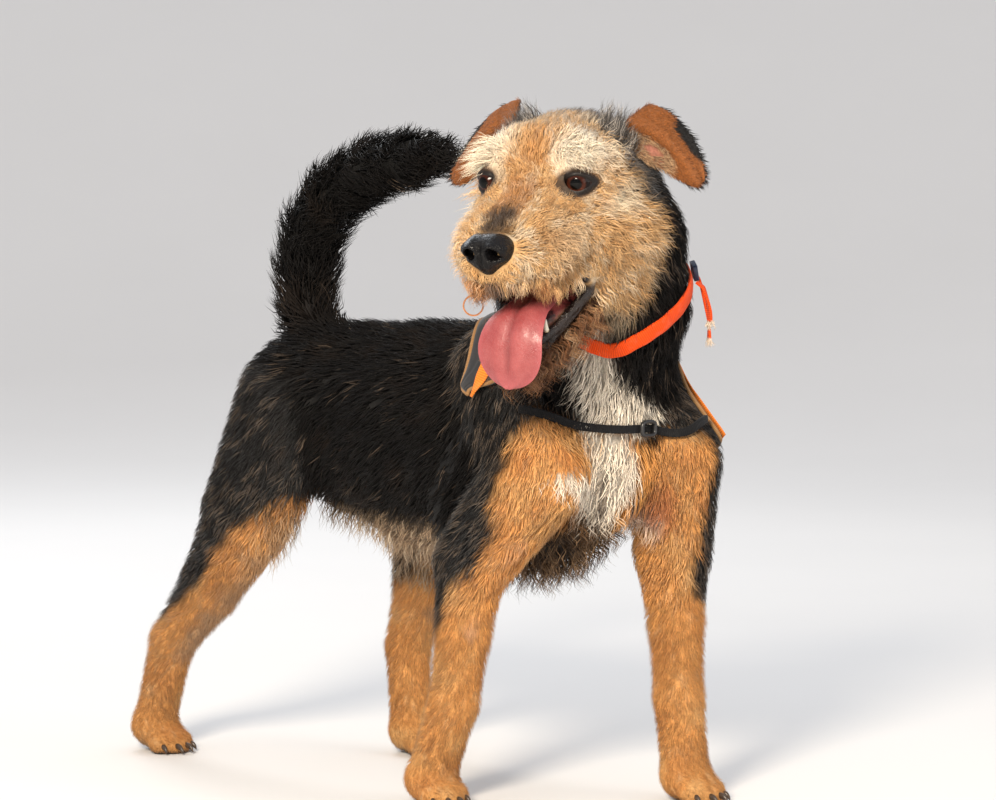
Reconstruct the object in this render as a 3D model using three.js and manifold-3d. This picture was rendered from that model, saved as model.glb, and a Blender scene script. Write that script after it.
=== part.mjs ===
// Terrier, standing, wearing a collar and a padded yoke harness. Millimetres, +Z up, the dog faces -Y, its left is +X.
// The solids follow the outside of the coat. One field of blended bones gives the whole surface; thin planar cuts part it.
import * as THREE from "three";
import { mergeVertices } from "three/addons/utils/BufferGeometryUtils.js";
import Module from "manifold-3d";

const wasm = await Module();
wasm.setup();
const { Manifold, Mesh } = wasm;

// ---------- driving sizes ----------
const GAP = 0.3;            // clear gap between neighbouring pieces
const FIT = 0.7;            // how far a worn thing's bed in the coat is grown, corner to corner
const TRUNK_CELL = 40;      // facet sizes
const NECK_CELL = 31;
const HEAD_CELL = 16.5;
const JAW_CELL = 14;
const TAIL_CELL = 18;
const UPPER_LEG_CELL = 27;
const LOWER_LEG_CELL = 18;
const PAW_CELL = 12.6;
const HEAD_AT = [-62.3, 180, 458.5]; // skull centre: left, forward, up
const HEAD_YAW = 72.1;      // the face is turned to the dog's right
const HEAD_PITCH = -11;
const JAW_START = 45;       // where the jaw is free of the cheeks
const EYE_R = 12;
const EYE_AT = [33, 36, 5];
const COLLAR_WIDTH = 11;
const COLLAR_THICK = 3.6;
const STRAP_WIDTH = 9;
const GIRTH_WIDTH = 18;
const STRAP_THICK = 4;
const STRAP_IN = -3.4;      // how far straps sink below the coat's surface
const YOKE_WIDTH = 50;
const YOKE_THICK = 7;
const SOLE_Z = 0;

// ---------- small vector helpers ----------
const add = (a, b) => [a[0] + b[0], a[1] + b[1], a[2] + b[2]];
const sub = (a, b) => [a[0] - b[0], a[1] - b[1], a[2] - b[2]];
const mul = (a, k) => [a[0] * k, a[1] * k, a[2] * k];
const dot = (a, b) => a[0] * b[0] + a[1] * b[1] + a[2] * b[2];
const cross = (a, b) => [a[1] * b[2] - a[2] * b[1], a[2] * b[0] - a[0] * b[2], a[0] * b[1] - a[1] * b[0]];
const len = (a) => Math.hypot(a[0], a[1], a[2]);
const unit = (a) => mul(a, 1 / len(a));
const mix = (a, b, t) => add(mul(a, 1 - t), mul(b, t));
const lerp = (a, b, t) => a + (b - a) * t;
const clamp = (x, a, b) => Math.min(b, Math.max(a, x));
const rad = (d) => (d * Math.PI) / 180;
// body point from left, forward, up
const P = (l, f, u) => [l, -f, u];
const X = [1, 0, 0], UP = [0, 0, 1];

// ---------- head frame ----------
const hy = rad(HEAD_YAW), hp = rad(HEAD_PITCH);
const level = P(-Math.sin(hy), Math.cos(hy), 0);
const HL = P(Math.cos(hy), Math.sin(hy), 0);
const HF = add(mul(level, Math.cos(hp)), mul(UP, Math.sin(hp)));
const HU = add(mul(level, -Math.sin(hp)), mul(UP, Math.cos(hp)));
const HO = P(...HEAD_AT);
const H = (x, y, z) => add(HO, add(mul(HL, x), add(mul(HF, y), mul(HU, z))));
const toHead = (p) => { const q = sub(p, HO); return [dot(q, HL), dot(q, HF), dot(q, HU)]; };

// ---------- bones: [start, end, [half width, half height] at each end, side direction] ----------
const chain = (stations, side = X) => stations.slice(1).map((b, i) => {
  const a = stations[i];
  return [a[0], b[0], [a[1], a[2]], [b[1], b[2]], side];
});

const trunk = chain([
  [P(4, 140, 255), 54, 68],
  [P(2, 104, 258), 71, 92],
  [P(1, 50, 257), 79, 94],
  [P(0, -20, 261), 76, 88],
  [P(-2, -85, 269), 65, 77],
  [P(-5, -130, 280), 61, 65],
  [P(-8, -156, 286), 48, 52],
]);
const neck = chain([
  [P(8, 104, 288), 70, 68],
  [P(9, 140, 326), 68, 62],
  [P(3, 174, 368), 54, 54],
  [P(-4, 182, 412), 48, 50],
  [P(-18, 178, 444), 46, 47],
]);
const tailLine = [P(-8, -136, 318), P(-8, -151, 350), P(-8, -153, 385), P(-8, -141, 418), P(-8, -114, 444), P(-8, -74, 461), P(-8, -30, 468), P(-8, 8, 471)];
const tailR = [26, 27, 28, 29, 29, 27, 24, 15];
const tail = chain(tailLine.map((p, i) => [p, tailR[i], tailR[i]]));

const fore = {
  left: { sc: P(44, 124, 318), sh: P(56, 178, 250), el: P(68, 166, 178), fm: P(65, 173, 128), ca: P(63, 178, 74), pa: P(62, 186, 18), to: P(61, 204, 9) },
  right: { sc: P(-40, 92, 322), sh: P(-56, 150, 244), el: P(-66, 92, 176), fm: P(-70, 88, 126), ca: P(-74, 82, 74), pa: P(-82, 66, 18), to: P(-86, 84, 9) },
};
const hind = {
  left: { hip: P(40, -112, 282), kn: P(60, -80, 188), mi: P(63, -98, 132), ho: P(64, -116, 84), me: P(64, -112, 18), to: P(64, -92, 9) },
  right: { hip: P(-46, -128, 278), kn: P(-66, -160, 190), mi: P(-68, -200, 134), ho: P(-70, -244, 88), me: P(-72, -264, 20), to: P(-72, -244, 9) },
};
// four toes fan out in front of the pad
const toes = (from, to) => {
  const d = unit(sub([to[0], to[1], 0], [from[0], from[1], 0]));
  const s = cross(UP, d);
  return [-1.5, -0.5, 0.5, 1.5].map((k) => {
    const reach = Math.abs(k) > 1 ? 3 : 10;
    const base = add([to[0], to[1], 8], mul(s, k * 9));
    return [base, add(add(base, mul(d, reach)), [0, 0, -3]), [7, 9], [6, 7], s];
  });
};
const foreBones = (q) => [
  [q.sc, q.sh, [32, 38], [36, 40], X],
  [q.sh, q.el, [34, 40], [28, 34], X],
  [q.el, q.fm, [26, 31], [22, 24], X],
  [q.fm, q.ca, [22, 24], [20, 21], X],
  [q.ca, q.pa, [20, 21], [20, 19], X],
  [q.pa, q.to, [22, 18], [20, 12], X],
  ...toes(q.pa, q.to),
];
const hindBones = (q) => [
  [q.hip, q.kn, [34, 56], [28, 46], X],
  [q.kn, q.mi, [27, 42], [22, 30], X],
  [q.mi, q.ho, [22, 29], [18, 22], X],
  [q.ho, q.me, [18, 22], [18, 18], X],
  [q.me, q.to, [21, 18], [19, 12], X],
  ...toes(q.me, q.to),
];
const head = [
  [H(0, -24, 0), H(0, 14, 4), [56, 46], [53, 42], HL],
  [H(0, 36, -20), H(0, 78, -33), [49, 36], [44, 28], HL],
  [H(0, 78, -33), H(0, 98, -37), [44, 28], [35, 23], HL],
  ...[1, -1].flatMap((s) => [
    [H(40 * s, -12, -40), H(37 * s, 22, -38), [30, 36], [27, 32], HL],
    [H(34 * s, -4, -72), H(28 * s, 22, -66), [24, 26], [20, 20], HL],
    [H(28 * s, 31, 23), H(21 * s, 24, 28), [16, 12], [16, 13], HL],
  ]),
];
const jaw = [
  [H(0, 10, -72), H(0, 50, -92), [30, 18], [28, 18], HL],
  [H(0, 50, -92), H(0, 78, -106), [28, 18], [19, 17], HL],
];

// ---------- field ----------
const prepare = ([a, b, ra, rb, side]) => {
  const ab = sub(b, a), L = len(ab), u = mul(ab, 1 / L);
  const s = unit(sub(side, mul(u, dot(side, u)))), n = cross(u, s);
  return { a, u, s, n, L, ra, rb, ma: Math.min(...ra), mb: Math.min(...rb) };
};
const boneDistance = (k, p) => {
  const q = sub(p, k.a), z = dot(q, k.u), t = clamp(z / k.L, 0, 1), xu = z - t * k.L;
  const w = lerp(k.ra[0], k.rb[0], t), h = lerp(k.ra[1], k.rb[1], t), m = z < 0 ? k.ma : k.mb;
  const a = dot(q, k.s) / w, b = dot(q, k.n) / h, c = xu / m;
  const k0 = Math.hypot(a, b, c), k1 = Math.hypot(a / w, b / h, c / m);
  return k1 > 1e-9 ? (k0 * (k0 - 1)) / k1 : -Math.min(w, h);
};
const smin = (a, b, k) => { const h = Math.max(k - Math.abs(a - b), 0) / k; return Math.min(a, b) - (h * h * k) / 4; };
const blend = (bones, k) => {
  const ready = bones.map(prepare);
  return (p) => { let d = 1e9; for (const b of ready) d = smin(d, boneDistance(b, p), k); return d; };
};
const mixFields = (parts) => (p) => { let d = 1e9; for (const [f, k] of parts) d = smin(d, f(p), k); return d; };
const trunkF = blend(trunk, 8), neckF = blend(neck, 8), tailF = blend(tail, 5), headF = blend(head, 14), jawF = blend(jaw, 10);
const legF = [blend(foreBones(fore.left), 6), blend(foreBones(fore.right), 6), blend(hindBones(hind.left), 6), blend(hindBones(hind.right), 6)];
const body = mixFields([[trunkF, 1], [neckF, 24], [tailF, 12], [legF[0], 14], [legF[1], 14], [legF[2], 16], [legF[3], 16]]);
const whole = mixFields([[body, 1], [headF, 14]]);
const gradient = (f, p, e = 0.4) => [0, 1, 2].map((i) => {
  const a = [...p], b = [...p];
  a[i] += e; b[i] -= e;
  return (f(a) - f(b)) / (2 * e);
});
const toSurface = (f, p, level = 0, steps = 4) => {
  for (let i = 0; i < steps; i++) {
    const g = gradient(f, p);
    p = sub(p, mul(g, (f(p) - level) / Math.max(dot(g, g), 0.2)));
  }
  return p;
};
// first crossing of the field going out from a point
const castOut = (f, from, dir, level = 0) => {
  let lo = 0, hi = 2;
  while (f(add(from, mul(dir, hi))) < level && hi < 300) { lo = hi; hi += 2; }
  for (let i = 0; i < 24; i++) { const m = (lo + hi) / 2; if (f(add(from, mul(dir, m))) < level) lo = m; else hi = m; }
  return add(from, mul(dir, lo));
};

// ---------- solids ----------
const toManifold = (verts, tris) => new Manifold(new Mesh({ numProp: 3, vertProperties: new Float32Array(verts.flat()), triVerts: new Uint32Array(tris.flat()) }));
const fromGeometry = (g) => {
  g.deleteAttribute("normal"); g.deleteAttribute("uv");
  const m = mergeVertices(g, 1e-4);
  const index = Uint32Array.from(m.index.array), pos = m.attributes.position.array, tris = [];
  for (let i = 0; i < index.length; i += 3) {
    const [a, b, c] = [index[i], index[i + 1], index[i + 2]];
    if (a !== b && b !== c && a !== c) tris.push(a, b, c);
  }
  return new Manifold(new Mesh({ numProp: 3, vertProperties: Float32Array.from(pos), triVerts: Uint32Array.from(tris) }));
};
// all of space on the far side of a plane from the way it faces
const behind = (point, normal, size = 1200) => {
  const g = new THREE.BoxGeometry(size, size, size);
  g.translate(0, 0, -size / 2);
  const n = new THREE.Vector3(...unit(normal));
  g.applyQuaternion(new THREE.Quaternion().setFromUnitVectors(new THREE.Vector3(0, 0, 1), n));
  g.translate(...point);
  return fromGeometry(g);
};
// surface nets on the field inside a box, corners pulled onto the surface
const blob = (f, lo, hi, cell) => {
  const inBox = (p) => Math.max(...[0, 1, 2].map((i) => Math.max(lo[i] - p[i], p[i] - hi[i])));
  const field = (p) => Math.max(f(p), inBox(p));
  for (let attempt = 0; attempt < 6; attempt++) {
    const shift = attempt * cell * 0.17;
    const start = lo.map((v) => v - cell * 1.5 - shift), n = lo.map((v, i) => Math.ceil((hi[i] - v + cell * 3.2 + shift) / cell) + 1);
    const at = (i, j, k) => i + n[0] * (j + n[1] * k);
    const S = new Float64Array(n[0] * n[1] * n[2]);
    for (let k = 0; k < n[2]; k++) for (let j = 0; j < n[1]; j++) for (let i = 0; i < n[0]; i++)
      S[at(i, j, k)] = field([start[0] + i * cell, start[1] + j * cell, start[2] + k * cell]);
    const id = new Map(), verts = [];
    for (let k = 0; k < n[2] - 1; k++) for (let j = 0; j < n[1] - 1; j++) for (let i = 0; i < n[0] - 1; i++) {
      const c = [], val = [];
      for (let m = 0; m < 8; m++) { const o = [m & 1, (m >> 1) & 1, m >> 2]; c.push(o); val.push(S[at(i + o[0], j + o[1], k + o[2])]); }
      const inside = val.filter((v) => v < 0).length;
      if (inside === 0 || inside === 8) continue;
      let sum = [0, 0, 0], count = 0;
      for (let a = 0; a < 8; a++) for (let bit = 1; bit < 8; bit <<= 1) {
        const b = a | bit;
        if (b === a || (val[a] < 0) === (val[b] < 0)) continue;
        sum = add(sum, mix(c[a], c[b], val[a] / (val[a] - val[b]))); count++;
      }
      const q = mul(sum, 1 / count);
      id.set(at(i, j, k), verts.length);
      verts.push([start[0] + (i + q[0]) * cell, start[1] + (j + q[1]) * cell, start[2] + (k + q[2]) * cell]);
    }
    const tris = [];
    const step = [[1, 0, 0], [0, 1, 0], [0, 0, 1]];
    for (let k = 1; k < n[2] - 1; k++) for (let j = 1; j < n[1] - 1; j++) for (let i = 1; i < n[0] - 1; i++) for (let d = 0; d < 3; d++) {
      const s0 = S[at(i, j, k)] < 0, s1 = S[at(i + step[d][0], j + step[d][1], k + step[d][2])] < 0;
      if (s0 === s1) continue;
      const [o1, o2] = d === 0 ? [1, 2] : d === 1 ? [2, 0] : [0, 1];
      const q = [[1, 1], [0, 1], [0, 0], [1, 0]].map(([a, b]) => {
        const g = [i, j, k]; g[o1] -= a; g[o2] -= b;
        return id.get(at(...g));
      });
      if (!s0) q.reverse();
      const shorter = len(sub(verts[q[0]], verts[q[2]])) <= len(sub(verts[q[1]], verts[q[3]]));
      if (shorter) tris.push([q[0], q[1], q[2]], [q[0], q[2], q[3]]);
      else tris.push([q[0], q[1], q[3]], [q[1], q[2], q[3]]);
    }
    const pulled = verts.map((p) => toSurface(field, p, 0, 2));
    let m;
    try { m = toManifold(pulled, tris); } catch (e) { continue; }
    if (m.isEmpty() || m.volume() <= 0) continue;
    return m;
  }
  throw new Error("no closed surface");
};
const keepLargest = (m) => {
  const parts = m.decompose();
  parts.sort((a, b) => b.volume() - a.volume());
  return parts[0];
};
// true when every edge joins exactly two faces
const clean = (m) => {
  const g = m.getMesh(), n = g.numProp, t = g.triVerts, key = (i) => [0, 1, 2].map((k) => g.vertProperties[i * n + k].toFixed(3)).join();
  const ids = new Map(), id = (i) => { const k = key(i); if (!ids.has(k)) ids.set(k, ids.size); return ids.get(k); };
  const edges = new Map();
  for (let i = 0; i < t.length; i += 3) {
    const v = [id(t[i]), id(t[i + 1]), id(t[i + 2])];
    if (v[0] === v[1] || v[1] === v[2] || v[0] === v[2]) continue;
    for (let c = 0; c < 3; c++) { const a = v[c], b = v[(c + 1) % 3], k = a < b ? a * 1e6 + b : b * 1e6 + a; edges.set(k, (edges.get(k) ?? 0) + 1); }
  }
  return [...edges.values()].every((c) => c === 2);
};
const make = (cell, build) => {
  let m;
  for (const k of [1, 1.04, 0.97, 1.08, 0.93, 1.12, 0.89]) { m = keepLargest(build(cell * k)); if (clean(m)) return m; }
  return m;
};
// the same solid with every corner moved outwards
const grow = (m, by) => {
  const g = m.getMesh(), n = g.numProp, count = g.vertProperties.length / n, pos = [], normal = [];
  for (let i = 0; i < count; i++) { pos.push([g.vertProperties[i * n], g.vertProperties[i * n + 1], g.vertProperties[i * n + 2]]); normal.push([0, 0, 0]); }
  const t = g.triVerts, tris = [];
  for (let i = 0; i < t.length; i += 3) {
    const v = [t[i], t[i + 1], t[i + 2]]; tris.push(v);
    const fn = cross(sub(pos[v[1]], pos[v[0]]), sub(pos[v[2]], pos[v[0]])), area = len(fn);
    if (area < 1e-9) continue;
    for (let c = 0; c < 3; c++) {
      const e1 = sub(pos[v[(c + 1) % 3]], pos[v[c]]), e2 = sub(pos[v[(c + 2) % 3]], pos[v[c]]);
      const angle = Math.acos(clamp(dot(e1, e2) / (len(e1) * len(e2) + 1e-12), -1, 1));
      normal[v[c]] = add(normal[v[c]], mul(fn, angle / area));
    }
  }
  return toManifold(pos.map((p, i) => add(p, mul(unit(normal[i]), by))), tris);
};
// closed or open band of rectangular section through points that each have an outward and a width direction
const band = (points, width, inner, outer, closed) => {
  const verts = [], tris = [], n = points.length;
  points.forEach(({ p, out, side, w }) => {
    const half = (w ?? width) / 2;
    for (const [s, r] of [[-1, inner], [1, inner], [1, outer], [-1, outer]]) verts.push(add(p, add(mul(side, s * half), mul(out, r))));
  });
  const last = closed ? n : n - 1;
  for (let i = 0; i < last; i++) {
    const j = (i + 1) % n;
    for (let k = 0; k < 4; k++) {
      const a = i * 4 + k, b = i * 4 + ((k + 1) % 4), c = j * 4 + ((k + 1) % 4), d = j * 4 + k;
      tris.push([a, b, c], [a, c, d]);
    }
  }
  if (!closed) {
    tris.push([0, 3, 2], [0, 2, 1]);
    const e = (n - 1) * 4;
    tris.push([e, e + 1, e + 2], [e, e + 2, e + 3]);
  }
  let volume = 0;
  for (const [a, b, c] of tris) volume += dot(verts[a], cross(verts[b], verts[c]));
  return { verts, tris: volume < 0 ? tris.map(([a, b, c]) => [a, c, b]) : tris };
};
const bandSolid = (...a) => { const b = band(...a); return toManifold(b.verts, b.tris); };
// ---------- cutting planes ----------
const neckBase = { p: P(0, 130, 318), n: unit(P(0, 0.46, 0.886)) };
const headBack = { p: H(0, 0, -110), n: add(mul(HF, 0.8), mul(HU, 0.6)) };
const tailCuts = [0.55, 3.1, 5.2].map((t) => {
  const i = Math.floor(t), q = mix(tailLine[i], tailLine[i + 1], t - i);
  return { p: q, n: unit(sub(tailLine[Math.min(i + 2, 7)], tailLine[Math.max(i - 1, 0)])) };
});
const flip = (c) => ({ p: c.p, n: mul(c.n, -1) });
const shifted = (c, d) => ({ p: add(c.p, mul(c.n, d)), n: c.n });
const near = (c) => behind(add(c.p, mul(c.n, -GAP / 2)), c.n);            // the side the normal points away from
const far = (c) => behind(add(c.p, mul(c.n, GAP / 2)), mul(c.n, -1));     // the side the normal points to
const wedge = (planes, grown) => planes.map((c) => behind(add(c.p, mul(c.n, -(grown ? -1 : 1) * GAP / 2)), c.n)).reduce((a, b) => a.intersect(b));
// planes face out of each leg's share of the trunk
const legPlanes = {
  fore_left: [{ p: P(32, 0, 0), n: [-1, 0, 0] }, { p: P(0, 120, 0), n: P(0, -1, 0) }, { p: P(0, 0, 296), n: UP }],
  fore_right: [{ p: P(-32, 0, 0), n: [1, 0, 0] }, { p: P(0, 72, 220), n: unit(P(0, -0.94, 0.34)) }, { p: P(0, 0, 296), n: UP }],
  hind_left: [{ p: P(26, 0, 0), n: [-1, 0, 0] }, { p: P(0, -42, 230), n: unit(P(0, 0.96, 0.26)) }, { p: P(0, 0, 306), n: UP }],
  hind_right: [{ p: P(-30, 0, 0), n: [1, 0, 0] }, { p: P(0, -82, 230), n: unit(P(0, 0.98, -0.18)) }, { p: P(0, 0, 304), n: UP }],
};
const legCuts = { fore_left: [151, 50], fore_right: [151, 50], hind_left: [147, 52], hind_right: [148, 56] };
const legBox = {
  fore_left: [P(8, 250, -4), P(130, 60, 340)], fore_right: [P(-130, 230, -4), P(-8, 10, 340)],
  hind_left: [P(6, -10, -4), P(120, -230, 345)], hind_right: [P(-130, -40, -4), P(-6, -320, 345)],
};

// ---------- collar ----------
// the collar leans to the dog's right, with the head: heights at eight bearings from straight ahead round by the left
const COLLAR_HEIGHTS = [358, 386, 402, 400, 392, 374, 347, 336];
const collarF = (p) => smin(neckF(p), trunkF(p), 20);
const collarPoints = [];
const COLLAR_N = 22;
for (let i = 0; i < COLLAR_N; i++) {
  const t = (i / COLLAR_N) * 8, k = Math.floor(t), e = t - k, at = (m) => COLLAR_HEIGHTS[(m + 8) % 8];
  const [p0, p1, p2, p3] = [at(k - 1), at(k), at(k + 1), at(k + 2)];
  const z = 0.5 * (2 * p1 + (p2 - p0) * e + (2 * p0 - 5 * p1 + 4 * p2 - p3) * e * e + (3 * p1 - p0 - 3 * p2 + p3) * e * e * e);
  const a = (t / 8) * 2 * Math.PI;
  collarPoints.push(castOut(collarF, P(2, 172, z), P(Math.sin(a), Math.cos(a), 0), -4));
}
const lay = (f, points, closed = false, sideHint = null) => points.map((p, i) => {
  const n = points.length, prev = points[closed ? (i + n - 1) % n : Math.max(i - 1, 0)], next = points[closed ? (i + 1) % n : Math.min(i + 1, n - 1)];
  const along = unit(sub(next, prev));
  let out = gradient(f, p, 2);
  out = unit(sub(out, mul(along, dot(out, along))));
  let side = unit(cross(out, along));
  if (sideHint) { side = unit(sub(sideHint, mul(along, dot(sideHint, along)))); out = unit(cross(along, side)); if (dot(out, gradient(f, p, 2)) < 0) out = mul(out, -1); }
  return { p, out, side };
});
const collarFrames = lay(collarF, collarPoints, true);
const collar = bandSolid(collarFrames, COLLAR_WIDTH, 0, COLLAR_THICK, true);
const collarRoom = grow(bandSolid(collarFrames, COLLAR_WIDTH, 0, COLLAR_THICK + 14, true), FIT);
// slider and two webbing ends on the left of the neck
const sliderAt = collarFrames[3];
const boxAt = (c, side, out, along, sizes) => {
  const g = new THREE.BoxGeometry(...sizes), m = new THREE.Matrix4().makeBasis(new THREE.Vector3(...side), new THREE.Vector3(...out), new THREE.Vector3(...along));
  m.setPosition(...c);
  g.applyMatrix4(m);
  return fromGeometry(g);
};
const sliderAlong = unit(cross(sliderAt.side, sliderAt.out));
const sliderCentre = add(sliderAt.p, mul(sliderAt.out, COLLAR_THICK + 2.6));
const slider = boxAt(sliderCentre, sliderAt.side, sliderAt.out, sliderAlong, [COLLAR_WIDTH + 2, 4, 9]);
const hang = (start, length, lean, width, steps = 6) => {
  const frames = [];
  for (let i = 0; i <= steps; i++) {
    const t = i / steps;
    const p = add(start, add(mul(UP, -length * t), mul(sliderAt.out, 1.5 + lean * t * (2 - t))));
    frames.push({ p, out: sliderAt.out, side: unit(cross(UP, sliderAt.out)), w: width * (1 - 0.25 * t) });
  }
  return bandSolid(frames, width, 0, 1.6, false);
};
const endTop = add(sliderCentre, add(mul(sliderAt.side, -COLLAR_WIDTH / 2 - 2), mul(sliderAt.out, 1)));
const longEnd = hang(add(endTop, mul(sliderAlong, 2)), 46, 8, 11);
const shortEnd = hang(add(endTop, mul(sliderAlong, -11)), 26, 5, 9, 4);

// ---------- harness ----------
// the yoke lies over the withers and both shoulders
const skin = whole;
const yokePath = [];
// bearing from straight up, positive to the left, and how far forward the yoke's middle lies there
const yokeArc = [[-78, 110], [-66, 117], [-50, 119], [-34, 113], [-18, 99], [0, 87], [23, 90], [46, 112], [68, 142], [86, 167], [104, 188]];
yokeArc.forEach(([deg, f]) => {
  const a = rad(deg);
  const from = P(0, f, 280);
  yokePath.push(castOut(skin, from, unit([Math.sin(a), 0, Math.cos(a)]), 0));
});
const yokeFrames = lay(skin, yokePath, false);
yokeFrames.forEach((c, i) => { const t = i / (yokeFrames.length - 1); c.w = YOKE_WIDTH * (0.86 + 0.14 * Math.sin(Math.PI * t)); });
// a yoke section is laid on the surface at five places across its width
const padded = (frames, inner, outer, extra = 0) => {
  const K = 3, verts = [], tris = [], n = frames.length;
  const rows = frames.map((c) => {
    const row = [];
    for (let k = 0; k <= K; k++) {
      const s = (k / K - 0.5) * (c.w + 2 * extra);
      row.push(toSurface(skin, add(c.p, mul(c.side, s)), 0, 5));
    }
    return row.map((p) => ({ p, out: unit(gradient(skin, p, 3)) }));
  });
  if (extra) {
    const d0 = unit(sub(rows[0][1].p, rows[1][1].p)), d1 = unit(sub(rows[n - 1][1].p, rows[n - 2][1].p));
    rows[0].forEach((c) => { c.p = add(c.p, mul(d0, extra)); });
    rows[n - 1].forEach((c) => { c.p = add(c.p, mul(d1, extra)); });
  }
  rows.forEach((row) => { row.forEach((c) => verts.push(add(c.p, mul(c.out, inner)))); row.forEach((c) => verts.push(add(c.p, mul(c.out, outer)))); });
  const W = 2 * (K + 1);
  const I = (i, k) => i * W + k, O = (i, k) => i * W + K + 1 + k;
  const quad = (a, b, c, d) => tris.push([a, b, c], [a, c, d]);
  for (let i = 0; i < n - 1; i++) {
    for (let k = 0; k < K; k++) { quad(I(i, k), I(i, k + 1), I(i + 1, k + 1), I(i + 1, k)); quad(O(i, k), O(i + 1, k), O(i + 1, k + 1), O(i, k + 1)); }
    quad(I(i, 0), I(i + 1, 0), O(i + 1, 0), O(i, 0));
    quad(I(i, K), O(i, K), O(i + 1, K), I(i + 1, K));
  }
  for (let k = 0; k < K; k++) { quad(I(0, k), O(0, k), O(0, k + 1), I(0, k + 1)); quad(I(n - 1, k), I(n - 1, k + 1), O(n - 1, k + 1), O(n - 1, k)); }
  let volume = 0;
  for (const [a, b, c] of tris) volume += dot(verts[a], cross(verts[b], verts[c]));
  return toManifold(verts, volume < 0 ? tris.map(([a, b, c]) => [a, c, b]) : tris);
};
const YOKE_IN = -4.5, YOKE_OUT = YOKE_IN + YOKE_THICK;
const yoke = padded(yokeFrames, YOKE_IN, YOKE_OUT);
// coloured strip down the middle of each side of the yoke
const stripe = (from, to, offset) => {
  const frames = yokeFrames.slice(from, to).map((c) => {
    const p = toSurface(skin, add(c.p, mul(c.side, offset)), 0, 5);
    return { p, out: unit(gradient(skin, p, 3)), side: c.side };
  });
  return bandSolid(frames, 10, YOKE_OUT + 0.35, YOKE_OUT + 1.9, false).subtract(grow(yoke, FIT));
};

// chest strap from the yoke's left front corner to its right one, across the chest
const run = (points, steps) => {
  const curve = new THREE.CatmullRomCurve3(points.map((p) => new THREE.Vector3(...p)));
  return curve.getSpacedPoints(steps).map((v) => [v.x, v.y, v.z]);
};
const onSkin = (pts, level = 0) => pts.map((p) => toSurface(skin, p, level, 8));
const chestPath = onSkin(run([P(66, 196, 276), P(43, 207, 274), P(12, 200, 276), P(-15, 192, 277), P(-39, 178, 280), P(-60, 166, 288), P(-76, 150, 294)], 11));
const chestFrames = lay(skin, chestPath, false, UP);
const chestStrap = bandSolid(chestFrames, STRAP_WIDTH, STRAP_IN, STRAP_IN + STRAP_THICK, false);
const chestRoom = grow(bandSolid(chestFrames, STRAP_WIDTH, STRAP_IN, STRAP_IN + STRAP_THICK + 3, false), FIT + 0.3);
// girth from the yoke's rear edges down behind the elbows and under the brisket
const girthPath = onSkin(run([P(-80, 98, 292), P(-86, 76, 246), P(-80, 52, 208), P(-55, 40, 178), P(-20, 42, 164), P(15, 50, 163), P(50, 76, 176), P(76, 104, 208), P(82, 124, 248), P(78, 146, 292)], 18));
const girthFrames = lay(skin, girthPath, false);
const girth0 = bandSolid(girthFrames, GIRTH_WIDTH, STRAP_IN, STRAP_IN + STRAP_THICK, false);
const girthRoom = grow(bandSolid(girthFrames, GIRTH_WIDTH, STRAP_IN, STRAP_IN + STRAP_THICK + 3, false), FIT + 0.3);
const ringAt = chestFrames[4];
const ringAlong = unit(cross(ringAt.side, ringAt.out));
const chestRing = boxAt(add(ringAt.p, mul(ringAt.out, 2.2)), ringAt.side, ringAt.out, ringAlong, [13, 4, 18]);
const girthAt = girthFrames[15];
const girthBuckle = boxAt(add(girthAt.p, mul(girthAt.out, 1.4)), girthAt.side, girthAt.out, unit(cross(girthAt.side, girthAt.out)), [GIRTH_WIDTH + 6, 4, 30]);

// ---------- head pieces ----------
const ellipsoid = (centre, radii, axes, w = 12, h = 8) => {
  const g = new THREE.SphereGeometry(1, w, h);
  g.rotateX(Math.PI / 2);
  g.scale(...radii);
  const m = new THREE.Matrix4().makeBasis(...axes.map((a) => new THREE.Vector3(...a)));
  m.setPosition(...centre);
  g.applyMatrix4(m);
  return fromGeometry(g);
};
const HEAD_AXES = [HL, HF, HU];
const eyeAxes = (s) => { const f = unit(add(HF, mul(HL, 0.42 * s))); const l = unit(cross(f, HU)); return [l, f, cross(l, f)]; };
const eye = (s) => ellipsoid(H(EYE_AT[0] * s, EYE_AT[1], EYE_AT[2]), [EYE_R, EYE_R, EYE_R], eyeAxes(s), 10, 7);
const noseBones = [
  [H(-7, 113, -27), H(7, 113, -27), [13, 11], [13, 11], HF],
  [H(-5, 119, -26), H(5, 119, -26), [10, 9.5], [10, 9.5], HF],
  [H(0, 115, -35), H(0, 119, -33), [9, 9], [8, 8], HL],
];
const nostril = (s) => blend([[H(7.5 * s, 132, -28), H(11.5 * s, 123, -28), [3.4, 3.4], [2.2, 4], HL]], 1);
const noseSolid = blob(blend(noseBones, 5), sub(H(0, 117, -29), [26, 26, 26]), add(H(0, 117, -29), [26, 26, 26]), 8.5);
const pit = (s) => blob(nostril(s), sub(H(9 * s, 127, -28), [14, 14, 14]), add(H(9 * s, 127, -28), [14, 14, 14]), 4);

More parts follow.
